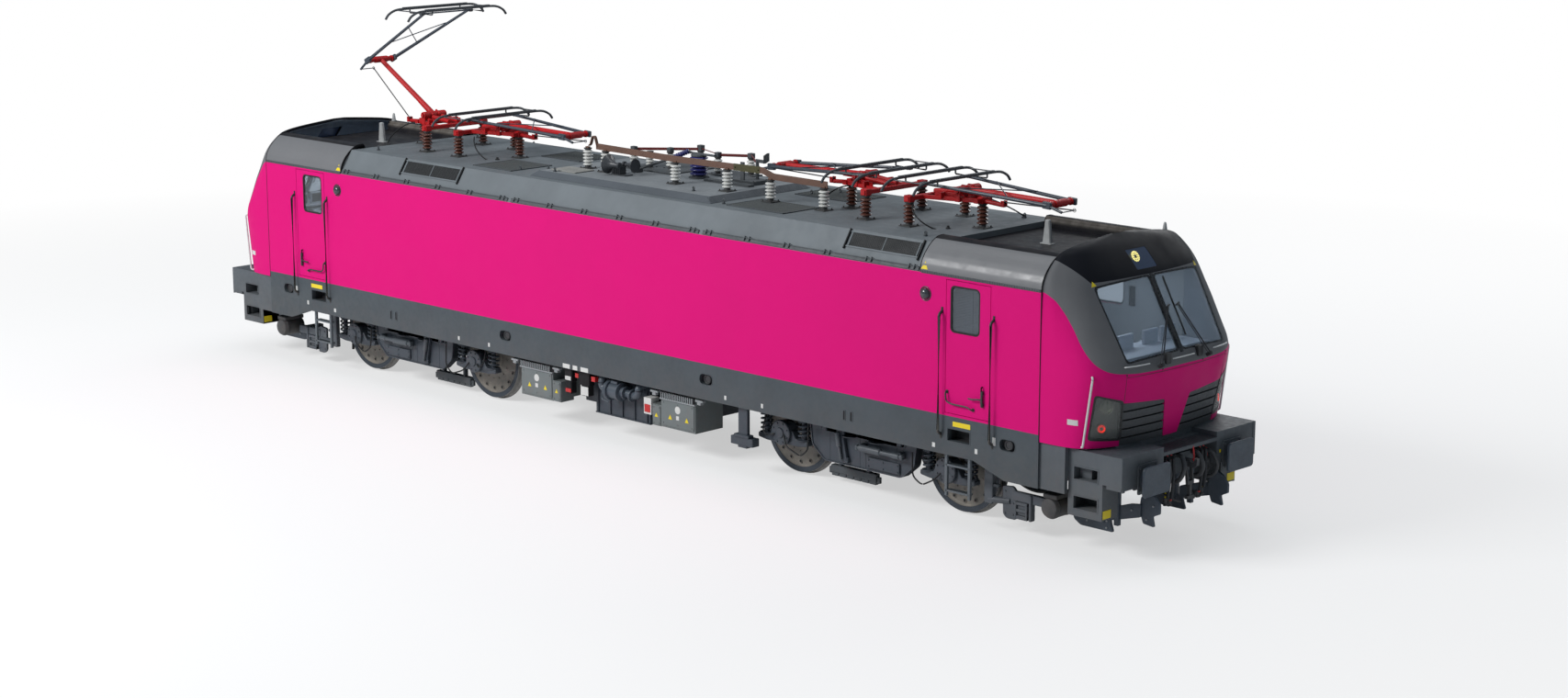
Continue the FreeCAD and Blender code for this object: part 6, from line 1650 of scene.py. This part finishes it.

# ------------------------------------------------------------------ wheelsets
# Rolled steel wheels on plain axles. The running tread is bright, the web dusty, and brake discs are bolted
# through each web. Dark discs fill the ring of holes in each web as painted shade.
wheel_steel, tree, shader, place = plain_finish("wheel_steel")
x, y, z = axes(tree, place)
from_pivot = sum_of(tree, "SUBTRACT", sum_of(tree, "ABSOLUTE", x, 0.0), PIVOT)
from_axle = sum_of(tree, "SUBTRACT", sum_of(tree, "ABSOLUTE", from_pivot, 0.0), 1.5)
high = sum_of(tree, "SUBTRACT", z, WHEEL_AT)
out_way = sum_of(tree, "SQRT", sum_of(tree, "ADD", sum_of(tree, "MULTIPLY", from_axle, from_axle),
    sum_of(tree, "MULTIPLY", high, high)), 0.0)
weathered(tree, shader, place, (0.15, 0.142, 0.13), 0.6, 0.05, 4.0, 160.0, 0.0006, 0.65, 0.1, 1.9,
    (0.33, 0.29, 0.24))
dusty_web = shader.inputs["Base Color"].links[0].from_socket
tread = spread_to(tree, out_way, 0.0, 1.0, 0.6205, 0.6215)
rim_dark = mixed(tree, spread_to(tree, out_way, 0.0, 1.0, 0.545, 0.55), dusty_web, (0.034, 0.043, 0.056))
tree.links.new(mixed(tree, tread, rim_dark, (0.3, 0.29, 0.28)), shader.inputs["Base Color"])
tree.links.new(spread_to(tree, tread, 0.0, 0.85), shader.inputs["Metallic"])
hole_ring = []
for k in range(16):
    a = 2 * math.pi * k / 16
    spot = (0.48 * math.cos(a), -0.7875, WHEEL_AT + 0.48 * math.sin(a))
    hole_ring += [ring_of(spot, (0, 1, 0), 0.026, 0.005, 16, 6)]
    hole_ring += [moved(bolt("-y", 0.011, 0.014), (0.33 * math.cos(a), -0.79, WHEEL_AT + 0.33 * math.sin(a)))]
# dark discs in the ring of holes: painted shade inside the holes
hole_shades = [dome((0.48 * math.cos(a), -0.7865, WHEEL_AT + 0.48 * math.sin(a)), (0, -1, 0), 0.024, 0.001, 3, 14)
    for a in np.arange(16) * 2 * math.pi / 16]
hub_ring = lathed([(0.23, 0.0), (0.23, 0.012), (0.18, 0.014), (0.18, 0.03)], (0, -0.79, WHEEL_AT), (0, -1, 0),
    40)
for name, x in (("front_outer", 6.3), ("front_inner", 3.3), ("rear_inner", -3.3), ("rear_outer", -6.3)):
    node = "wheelset_" + name
    dressed([node], wheel_steel)
    piece(node + "_bolts", moved(both_sides(joined(hub_ring, *hole_ring)), (x, 0, 0)), wheel_steel, node,
        crease=35)
    piece(node + "_hole_shades", moved(both_sides(joined(*hole_shades)), (x, 0, 0)), vent_and_shade_black, node,
        crease=60)

# ------------------------------------------------------------------ equipment under the floor
# A ribbed transformer tank hangs in the middle between sheet-steel cabinets, which hook to the sill by rows
# of clips and have bolted lids. Pumps with flanged elbows sit on the tank, and small socket boxes beside
# them.
tank_grey = paint("tank_grey", (0.034, 0.046, 0.062), 0.45, 0.4, mottle=0.05, dirt=0.1, dirt_low=0.3,
    dirt_top=1.3)
cabinet_grey = paint("cabinet_grey", (0.15, 0.176, 0.18), 0.5, 0.35, mottle=0.04, dirt=0.3, dirt_low=0.3,
    dirt_top=1.2)
clip_grey = paint("clip_grey", (0.27, 0.29, 0.3), 0.5, 0.35, mottle=0.05)
dressed(["transformer"], tank_grey)
dressed(["equipment_boxes"], cabinet_grey)
dressed(["converter_block", "bogie_pins"], frame_paint)
TANK_FACE = 1.24
BOX_FACE = 1.4
ribs = [(x, x + 0.014, -TANK_FACE - 0.022, -TANK_FACE, 0.36, 1.39) for x in np.linspace(-0.38, 0.67, 5)]
ribs += [(-0.43, 0.73, -TANK_FACE - 0.018, -TANK_FACE, z, z + 0.018) for z in (0.34, 1.0)]
piece("tank_ribs", both_sides(blocks(ribs, 0.003)), tank_grey, crease=30)
lids = []
lid_bolts = []
clips = []
marks = []
discs = []
clip_shadow_strips = []
for x0, x1, low in ((-1.92, -1.205, 0.405), (1.13, 1.83, 0.415)):
    outer = rounded_outline(rectangle(x0 + 0.02, x1 - 0.02, low + 0.03, 0.815), 0.03, 4)
    lids.append(eased(outer, "y", -BOX_FACE - 0.014, -BOX_FACE + 0.002, 0.004))
    lid_bolts += [(x, -BOX_FACE - 0.014, z) for x in (x0 + 0.06, (x0 + x1) / 2, x1 - 0.06) for z in (low
        + 0.07, 0.78)]
    clips += [(x, x + 0.018, -BOX_FACE - 0.036, -BOX_FACE + 0.01, 0.838, 0.93) for x in np.arange(x0 + 0.02,
        x1 - 0.03, 0.042)]
    clips += [(x0 - 0.01, x1 + 0.01, -BOX_FACE - 0.03, -BOX_FACE + 0.01, 0.82, 0.842)]
    clips += [(x - 0.075, x + 0.075, -BOX_FACE - 0.06, -BOX_FACE + 0.01, 0.905, 0.935) for x in (x0 - 0.09,
        x1 + 0.13)]
    clips += [(x - 0.035, x + 0.035, -BOX_FACE - 0.06, -BOX_FACE + 0.01, 0.865, 0.907) for x in (x0 - 0.09,
        x1 + 0.13)]
    # a black strip behind each row of clips: painted shadow between the clip teeth
    clip_shadow_strips.append((x0 + 0.005, x1 - 0.005, -BOX_FACE - 0.012, -BOX_FACE + 0.002, 0.835, 0.99))
    for x in (x0 + 0.16, x1 - 0.2):
        corner = np.array([(x, -BOX_FACE - 0.0165, 0.55), (x + 0.075, -BOX_FACE - 0.0165, 0.55), (x + 0.0375,
            -BOX_FACE - 0.0165, 0.62)])
        marks.append(extruded(corner, (0, 0.003, 0)))
    discs += [dome(((x0 + x1) / 2, -BOX_FACE - 0.014, 0.705), (0, -1, 0), 0.055, 0.002, 3, 24),
        blocks([((x0 + x1) / 2 - 0.03, (x0 + x1) / 2 + 0.03, -BOX_FACE - 0.017, -BOX_FACE - 0.013, 0.56,
        0.62)], 0.001)]
for x0, x1 in ((-1.205, -1.03), (0.95, 1.13)):
    outer = rounded_outline(rectangle(x0 + 0.012, x1 - 0.012, 0.422, 0.706), 0.02, 4)
    lids.append(eased(outer, "y", -BOX_FACE - 0.012, -BOX_FACE + 0.002, 0.004))
    lid_bolts += [(x, -BOX_FACE - 0.012, z) for x in (x0 + 0.035, x1 - 0.035) for z in (0.45, 0.68)]
    corner = np.array([(x0 + 0.055, -BOX_FACE - 0.0145, 0.54), (x1 - 0.055, -BOX_FACE - 0.0145, 0.54),
        ((x0 + x1) / 2, -BOX_FACE - 0.0145, 0.6)])
    marks.append(extruded(corner, (0, 0.003, 0)))
lids.append(spots_of(bolt("-y", 0.01, 0.008), lid_bolts))
piece("cabinet_lids", both_sides(joined(*lids)), cabinet_grey, crease=30)
piece("cabinet_clips", both_sides(blocks(clips, 0.003)), clip_grey, crease=30)
# the painted shadow strips behind the clip rows
piece("cabinet_clip_shadows", both_sides(blocks(clip_shadow_strips, 0.002)), seam_and_shade_black, crease=30)
piece("cabinet_marks", both_sides(joined(*marks)), plate_yellow, crease=30)
piece("cabinet_plates", both_sides(joined(*discs)), plate_white, crease=30)
pump_parts = [lathed([(0.07, 0), (0.11, 0.01), (0.118, 0.03), (0.118, 0.05), (0.15, 0.056), (0.15, 0.078),
    (0.14, 0.082), (0.15, 0.086), (0.15, 0.108), (0.118, 0.114), (0.118, 0.3), (0.136, 0.306), (0.136, 0.326),
    (0.08, 0.34), (0.08, 0.4), (0.098, 0.404), (0.098, 0.42), (0.05, 0.424)], (-0.03, -1.385, 0.775),
    (1, 0, 0), 36), tube(bend_route([(0.38, -1.385, 0.775), (0.56, -1.385, 0.76), (0.64, -1.385, 0.8),
    (0.64, -1.385, 0.9), (0.64, -1.23, 0.92)], 0.09, 8), 0.056, 18), lathed([(0.076, 0.0), (0.092, 0.004),
    (0.092, 0.026), (0.06, 0.03)], (0.5, -1.385, 0.763), (1, 0, -0.1), 28), tube(bend_route([(-0.02, -1.385,
    0.775), (-0.14, -1.385, 0.785), (-0.14, -1.385, 0.92), (-0.14, -1.23, 0.94)], 0.08, 6), 0.056, 18),
    tube(bend_route([(-0.135, -1.385, 0.74), (-0.135, -1.4, 0.61), (0.02, -1.4, 0.59)], 0.04, 5), 0.01, 8),
    blocks([(0.05, 0.11, -1.385, -TANK_FACE, 0.72, 0.82), (0.25, 0.31, -1.385, -TANK_FACE, 0.72, 0.82),
    (0.1, 0.24, -1.44, -1.33, 0.885, 0.93)], 0.008)]
a = np.linspace(0, 2 * math.pi, 10, endpoint=False)
for x in (0.025, 0.079):
    ring_spots = np.column_stack([np.full(10, x), -1.385 + 0.134 * np.cos(a), 0.775 + 0.134 * np.sin(a)])
    pump_parts.append(spots_of(bolt("x", 0.01, 0.01), ring_spots))
pump_dark = paint("pump_dark", (0.06, 0.078, 0.1), 0.4, 0.5, mottle=0.05, dirt=0.1, dirt_low=0.4,
    dirt_top=1.2)
piece("pump_sets", both_sides(joined(*pump_parts)), pump_dark, stands_for="cooling_pumps",
    crease=35)
socket_boxes = [(-0.9, -0.745, 0.765, 0.985), (-0.88, -0.755, 0.59, 0.77), (-0.595, -0.36, 0.76, 0.985),
    (-0.54, -0.375, 0.605, 0.765)]
piece("socket_boxes", both_sides(blocks([(x0, x1, -1.44, -1.33, z0, z1) for x0, x1, z0, z1 in socket_boxes]
    + [(-1.02, -0.25, -1.4, -1.34, 0.955, 0.981)], 0.008)), seam_and_shade_black, crease=30)
sign_red = paint("sign_red", (0.5, 0.02, 0.02), 0.4, 0.4)
piece("socket_flags", both_sides(blocks([(-0.876, -0.759, -1.446, -1.438, 0.61, 0.665), (-0.68, -0.61, -1.43,
    -1.36, 0.85, 0.915), (-0.325, -0.245, -1.43, -1.36, 0.845, 0.92), (0.785, 0.905, -1.41, -1.398, 0.575,
    0.69)], 0.002)), sign_red, crease=30)
piece("socket_plates", both_sides(blocks([(-0.535, -0.38, -1.446, -1.438, 0.615, 0.745), (-0.885, -0.76,
    -1.446, -1.438, 0.79, 0.85), (0.768, 0.922, -1.404, -1.25, 0.545, 0.785)], 0.002)), plate_white,
    crease=30)
post_rows = [(2.7, 2.88, -1.42, -1.36, 0.56, 1.1), (2.57, 3.0, -1.44, -1.3, 0.425, 0.54), (2.64, 2.93, -1.45,
    -1.34, 0.535, 0.58), (2.7, 2.88, -1.43, -1.3, 0.39, 0.428)]
piece("antenna_hangers", both_sides(blocks(post_rows, 0.008)), frame_paint, crease=30)

# ------------------------------------------------------------------ ladders
# Folded steel steps hang below every door: two flat stiles bolted inside the sill, with two treads between
# them that are ribbed for grip.
ladder_parts = [blocks([(x - 0.022, x + 0.022, -1.476, -1.436, 0.426, 1.0) for x in (6.555, 6.945)], 0.005)]
for z in (0.497, 0.838):
    ladder_parts.append(blocks([(6.555, 6.945, -1.476, -1.386, z - 0.014, z + 0.01)] + [(x, x + 0.01, -1.472,
        -1.39, z + 0.009, z + 0.016) for x in np.arange(6.59, 6.92, 0.032)], 0.002))
ladder_parts.append(spots_of(bolt("-y", 0.01, 0.006), [(x, -1.476, z) for x in (6.555, 6.945) for z in (0.497,
    0.838, 0.93)]))
ladder_grey = paint("ladder_grey", (0.105, 0.124, 0.14), 0.45, 0.45, mottle=0.05, dirt=0.2, dirt_low=0.3,
    dirt_top=1.0)
piece("door_ladders", at_corners(joined(*ladder_parts)), ladder_grey,
    stands_for="ladders", crease=30)

# ------------------------------------------------------------------ headstocks
# Each end has a cross beam with a box for either buffer. Steps are let into the boxes' sides, a ribbed walk
# plate lies between them, and yellow patches mark the step panels' feet.
end_grey = paint("end_grey", (0.088, 0.102, 0.115), 0.5, 0.35, mottle=0.05, blotch=2.4, dirt=0.3,
    dirt_low=0.5, dirt_top=1.45)
dressed(["headstocks", "floor_frame"], end_grey)
BOX_FRONT = 9.33
BUFFER_MID = (0.885, 1.055)
flange = rounded_outline(rectangle(0.68, 1.09, 0.87, 1.25), 0.03, 4)
flange[:, 0] *= -1
edge_parts = [eased(flange, "x", BOX_FRONT - 0.002, BOX_FRONT + 0.014, 0.004), spots_of(bolt("x", 0.018,
    0.016), [(BOX_FRONT + 0.014, y, z) for y in (-0.725, -1.045) for z in (0.915, 1.205)]),
    blocks([(9.062, 9.33, y, y + 0.016, 1.318, 1.324) for y in np.arange(-0.54, 0.02, 0.048)], 0.002),
    framed(rectangle(8.578, 8.972, 0.996, 1.182), rectangle(8.592, 8.958, 1.01, 1.168), "y", -1.406, -1.396),
    framed(rectangle(8.578, 8.972, 0.622, 0.807), rectangle(8.592, 8.958, 0.636, 0.793), "y", -1.406, -1.396)]
step_rows = [(8.51, 9.03, -1.1, -1.085, 0.545, 1.0), (9.02, 9.036, -1.395, -1.085, 0.54, 1.003), (8.5, 8.514,
    -1.395, -1.085, 0.545, 1.003), (8.96, 9.02, -1.3, -1.09, 0.64, 0.76), (8.6, 8.79, -1.3, -1.16, 1.01,
    1.14)]
step_rows += [(8.51, 9.03, y, y + 0.01, z, z + 0.008) for y in np.arange(-1.39, -1.1, 0.03) for z in (0.624,
    1.0)]
step_rows += [(9.09, 9.32, -1.396, -0.6, 0.96, 1.006), (9.326, 9.336, -1.396, -1.34, 0.95, 1.38)]
edge_parts.append(blocks(step_rows, 0.003))
piece("headstock_fittings", at_corners(joined(*edge_parts)), end_grey, crease=30)
patches = [(8.496, 8.5, -1.385, -1.23, 0.56, 0.66), (9.036, 9.041, -1.385, -1.225, 0.56, 0.665), (9.342,
    9.347, -0.63, -0.6, 1.11, 1.15)]
piece("end_patches", at_corners(blocks(patches, 0.001)), plate_yellow, crease=30)

# ------------------------------------------------------------------ corner reservoirs
# A small dark air bottle lies across under each corner of the floor. Two straps hold it to a plate behind
# the step box.
forged = paint("forged", (0.042, 0.046, 0.052), 0.5, 0.45, mottle=0.08, blotch=9.0, dirt=0.3, dirt_low=0.5,
    dirt_top=1.3)
bottle = lathed([(0.06, 0.0), (0.12, 0.016), (0.142, 0.05), (0.142, 0.37), (0.12, 0.404), (0.06, 0.42)],
    (8.13, -1.33, 0.52), (0, 1, 0), 36)
straps = [lathed([(0.143, 0.0), (0.147, 0.003), (0.147, 0.037), (0.143, 0.04)], (8.13, y, 0.52), (0, 1, 0),
    36) for y in (-1.27, -1.0)]
straps.append(blocks([(8.02, 8.24, -1.3, -0.93, 0.64, 0.7)], 0.008))
piece("corner_reservoirs", at_corners(joined(bottle, *straps)), forged, crease=35)

# ------------------------------------------------------------------ buffers
# Turned steel plungers with broad, slightly crowned rectangular heads. Each slides in a stepped sleeve on
# the front of its box.
head_line = rounded_outline(rectangle(-0.27, 0.27, -0.19, 0.19), 0.06, 7)
head_line = head_line + (-BUFFER_MID[0], BUFFER_MID[1])
buffer_parts = [eased(head_line, "x", 9.446, 9.49, 0.01), lathed([(0.165, 0.0), (0.165, 0.03), (0.15, 0.034),
    (0.15, 0.052), (0.128, 0.056), (0.128, 0.07), (0.11, 0.074), (0.11, 0.112), (0.15, 0.118)],
    (BOX_FRONT + 0.004, -BUFFER_MID[0], BUFFER_MID[1]), (1, 0, 0), 40)]
buffer_steel = paint("buffer_steel", (0.062, 0.08, 0.102), 0.42, 0.5, mottle=0.08, blotch=7.0)
piece("buffer_sets", at_corners(joined(*buffer_parts)), buffer_steel, stands_for="buffers",
    crease=35)

# ------------------------------------------------------------------ couplings and hoses
# A forged hook and screw coupling hang in the middle, with two pairs of rubber air hoses and their red and
# yellow cocks beside them, and a red release handle above.
dressed(["draw_hooks", "screw_couplings"], forged)
hose_black = paint("hose_black", (0.02, 0.022, 0.026), 0.55, 0.4, mottle=0.04, blotch=9.0)
dressed(["brake_hoses"], hose_black)
cock_red = paint("cock_red", (0.56, 0.018, 0.02), 0.35, 0.5)
red_parts = [tube(bend_route([(9.33, 0.06, 1.11), (9.345, 0.06, 1.14), (9.325, 0.06, 1.29)], 0.02), 0.011,
    10), blocks([(9.322, 9.352, 0.04, 0.08, 1.095, 1.13)], 0.006)]
piece("release_handles", both_ends(joined(*red_parts)), cock_red, crease=35)
links_out = []
for y, low in ((0.3, 0.64), (0.38, 0.66)):
    links_out += [lathed([(0.018, 0.0), (0.03, 0.004), (0.03, 0.045), (0.024, 0.05), (0.024, 0.075), (0.034,
        0.08), (0.034, 0.095), (0.02, 0.1)], (9.228, y, low + 0.02), (0.25, 0, -1.0), 20),
        lathed([(0.026, 0.0), (0.026, 0.04), (0.032, 0.044), (0.032, 0.06), (0.024, 0.064)], (9.196, y,
        1.195), (1, 0, -0.2), 20)]
links_out += [tube(bend_route(stops, 0.09, 8), width, 12) for stops, width in (([(9.18, 0.15, 1.19),
    (9.33, 0.16, 1.2), (9.4, 0.2, 1.04), (9.33, 0.23, 0.88), (9.19, 0.2, 0.86)], 0.03), ([(9.18, 0.44, 1.15),
    (9.33, 0.45, 1.17), (9.41, 0.5, 1.0), (9.33, 0.52, 0.82), (9.17, 0.47, 0.8)], 0.024), ([(9.1, 0.25, 0.7),
    (9.24, 0.24, 0.64), (9.3, 0.14, 0.6)], 0.016))]
piece("hose_couplings", at_corners(joined(*links_out)), forged, crease=35)
cocks = [blocks([(9.245, 9.262, y - 0.012, y + 0.012, 1.16, 1.235) for y in (0.3, 0.38)] + [(9.24, 9.275,
    0.284, 0.316, 0.635, 0.655)], 0.004), tube(bend_route([(9.18, 0.47, 1.18), (9.24, 0.47, 1.18),
    (9.25, 0.47, 1.08)], 0.02), 0.01, 8)]
piece("hose_cocks", at_corners(joined(*cocks)), cock_red, crease=35)
tags = blocks([(9.238, 9.27, 0.36, 0.4, 0.69, 0.708), (9.236, 9.268, 0.362, 0.398, 0.742, 0.756)], 0.003)
piece("hose_tags", at_corners(tags), plate_yellow, crease=30)
sockets = [blocks([(9.18, 9.212, 0.48, 0.56, 0.96, 1.06), (9.05, 9.19, 0.49, 0.55, 0.98, 1.04)], 0.006),
    lathed([(0.036, 0), (0.036, 0.02), (0.03, 0.024)], (9.212, 0.52, 1.01), (1, 0, 0), 20),
    tube(bend_route([(9.215, 0.52, 0.99), (9.26, 0.52, 0.93), (9.23, 0.515, 0.86), (9.15, 0.49, 0.9)], 0.05,
    6), 0.014, 10)]
piece("end_sockets", at_corners(joined(*sockets)), forged, crease=35)

# ------------------------------------------------------------------ rail guards
# Flat steel blades ahead of the outer wheels, each carried by an arm and a cut-out bracket below the
# headstock and held by pale zinc bolts.
guard_dark = paint("guard_dark", (0.058, 0.076, 0.1), 0.45, 0.45, dirt=0.12, dirt_low=0.1, dirt_top=0.9)
BLADE = [(8.08, 0.395), (8.11, 0.28), (8.22, 0.215), (8.74, 0.215), (8.7, 0.33), (8.69, 0.4)]
ARM = [(8.64, 0.35), (9.15, 0.49), (9.15, 0.66), (9.0, 0.64), (8.64, 0.52)]
PLATE = [(9.11, 0.58), (9.17, 0.41), (9.34, 0.39), (9.31, 0.52), (9.42, 0.57), (9.42, 0.69), (9.34, 0.79),
    (9.24, 0.84), (9.13, 0.74)]
guard_parts = [eased(rounded_outline(BLADE, 0.03, 4), "y", -0.778, -0.738, 0.006), eased(rounded_outline(ARM,
    0.02, 4), "y", -0.77, -0.735, 0.005), eased(rounded_outline(PLATE, 0.02, 4), "y", -0.742, -0.698, 0.005),
    blocks([(9.2 - back - 0.07, 9.2 - back, -0.8, -0.735, 0.32, 1.005) for back in (0.37, 0.6)], 0.006)]
piece("guard_plates", at_corners(joined(*guard_parts)), guard_dark,
    stands_for="rail_guards", crease=30)
zinc = paint("zinc", (0.3, 0.31, 0.32), 0.4, 0.5)
zinc_bolts = spots_of(bolt("-y", 0.014, 0.012), [(x, -0.778, z) for x, z in ((8.64, 0.26), (8.64, 0.35),
    (8.33, 0.3))] + [(x, -0.742, z) for x, z in ((9.2, 0.75), (9.23, 0.47), (9.33, 0.66))] + [(x, -0.77, z)
    for x, z in ((8.74, 0.44), (8.74, 0.5), (9.02, 0.56))])
piece("guard_bolts", at_corners(zinc_bolts), zinc, crease=30)

# ------------------------------------------------------------------ driver's cabs
# Each cab is closed by a panelled bulkhead with cupboards, air grilles and a door. The desk carries screens
# and instruments under a hood, and a sprung seat with a cloth cover stands behind it.
lining = paint("lining", (0.17, 0.2, 0.25), 0.6, 0.35, mottle=0.04, blotch=1.2)
cupboard = paint("cupboard", (0.2, 0.23, 0.28), 0.55, 0.35, mottle=0.03)
desk_grey = paint("desk_grey", (0.3, 0.34, 0.4), 0.55, 0.35, mottle=0.04)
cloth = paint("seat_cloth", (0.06, 0.075, 0.11), 0.9, mottle=0.08, blotch=3.0, grain=420.0, bump=0.0012)
dressed(["cab_bulkheads"], lining)
dressed(["cab_desks"], desk_grey)
fronts = [(6.425, 6.4465, y, y + 0.4, z0, z1) for y in (-1.26, -0.845, 0.445, 0.86) for z0,
    z1 in ((1.33, 2.02), (2.04, 2.56), (2.58, 3.13))]
fronts += [(6.425, 6.445, -0.38, 0.36, 1.32, 3.13), (6.44, 6.45, -0.3, -0.27, 2.1, 2.25)]
slats = [(6.445, 6.4495, y, y + 0.32, z, z + 0.014) for y in (-1.22, -0.805, 0.485, 0.9)
    for z in np.arange(2.64, 3.09, 0.036)]
slats += [(6.445, 6.45, y, y + 0.1, z, z + 0.02) for y in (-1.11, -0.695, 0.595, 1.01) for z in (1.7, 2.3)]
piece("bulkhead_cupboards", both_ends(blocks(fronts, 0.006)), cupboard, crease=30)
piece("bulkhead_grilles", both_ends(blocks(slats, 0.002)), lining_grey, crease=30)
consoles = [(8.425, 8.475, y, y + 0.3, 2.44, 2.64) for y in (-0.76, -0.4, 0.12, 0.48)]
consoles += [(8.3, 8.86, -0.93, 0.93, 2.425, 2.455), (8.18, 8.26, -0.34, -0.26, 2.35, 2.436), (8.17, 8.24,
    0.42, 0.48, 2.35, 2.432), (8.12, 8.3, -0.16, 0.16, 2.335, 2.375)]
piece("desk_consoles", both_ends(blocks(consoles, 0.01)), desk_grey, crease=30)
glasses = [(8.421, 8.428, y + 0.02, y + 0.28, 2.475, 2.62) for y in (-0.76, -0.4, 0.12, 0.48)]
glasses.append((7.228, 7.321, 1.42, 1.45, 2.61, 2.88))
piece("desk_screens", both_ends(blocks(glasses, 0.003)), seal_black, crease=30)
knobs = [tube([(8.2 + 0.05 * k, y, 2.37), (8.2 + 0.05 * k, y, 2.395)], 0.012, 12) for k in range(3)
    for y in (-0.62, -0.54, 0.6, 0.68)]
knobs += [dome((8.22, -0.3, 2.434), (0, 0, 1), 0.03, 0.03), dome((8.205, 0.45, 2.43), (0, 0, 1), 0.026, 0.03)]
piece("desk_controls", both_ends(joined(*knobs)), wiper_black, crease=40)


def cushion(x0, x1, y0, y1, z0, z1, crown, ease=0.05):
    """A padded block: its rounded outline carried up, drawn in and crowned at the top by 1 - (2t - 1)^4."""
    outline = rounded_outline(rectangle(x0, x1, y0, y1), ease, 5)
    middle = np.array(((x0 + x1) / 2, (y0 + y1) / 2))
    t = np.linspace(0, 1, 11)
    shrink = 1 - 0.12 * np.abs(2 * t - 1) ** 4
    rings = np.zeros((len(t) + 1, len(outline), 3))
    rings[:-1, :, :2] = middle + (outline - middle)[None] * shrink[:, None, None]
    rings[:-1, :, 2] = (z0 + (z1 - z0) * t)[:, None]
    rings[-1, :, :2] = middle + (outline - middle) * 0.45
    rings[-1, :, 2] = z1 + crown
    return capped(rings)


FLOOR = 1.396
seat_soft = joined(cushion(7.42, 7.89, -0.24, 0.24, 1.865, 1.955, 0.01), turned(cushion(7.395, 7.475, -0.22,
    0.22, 1.96, 2.58, 0.012, 0.03), -3.0, "y", (7.43, 0, 1.96)), cushion(7.4, 7.46, -0.13, 0.13, 2.6, 2.705,
    0.01, 0.025), cushion(7.52, 7.78, -0.258, -0.205, 2.08, 2.12, 0.006, 0.02), cushion(7.52, 7.78, 0.205,
    0.258, 2.08, 2.12, 0.006, 0.02))
seat_hard = joined(lathed([(0.21, 0.0), (0.21, 0.018), (0.12, 0.026), (0.06, 0.032), (0.06, 0.3),
    (0.08, 0.31), (0.08, 0.44), (0.13, 0.46)], (7.65, 0, FLOOR + 0.004), (0, 0, 1), 30),
    blocks([(7.47, 7.83, -0.18, 0.18, 1.845, 1.868), (7.405, 7.425, -0.03, 0.03, 1.9, 2.6)], 0.006))
piece("seat_cushions", both_ends(seat_soft), cloth, stands_for="cab_seats", crease=50)
piece("seat_stands", both_ends(seat_hard), forged, crease=35)
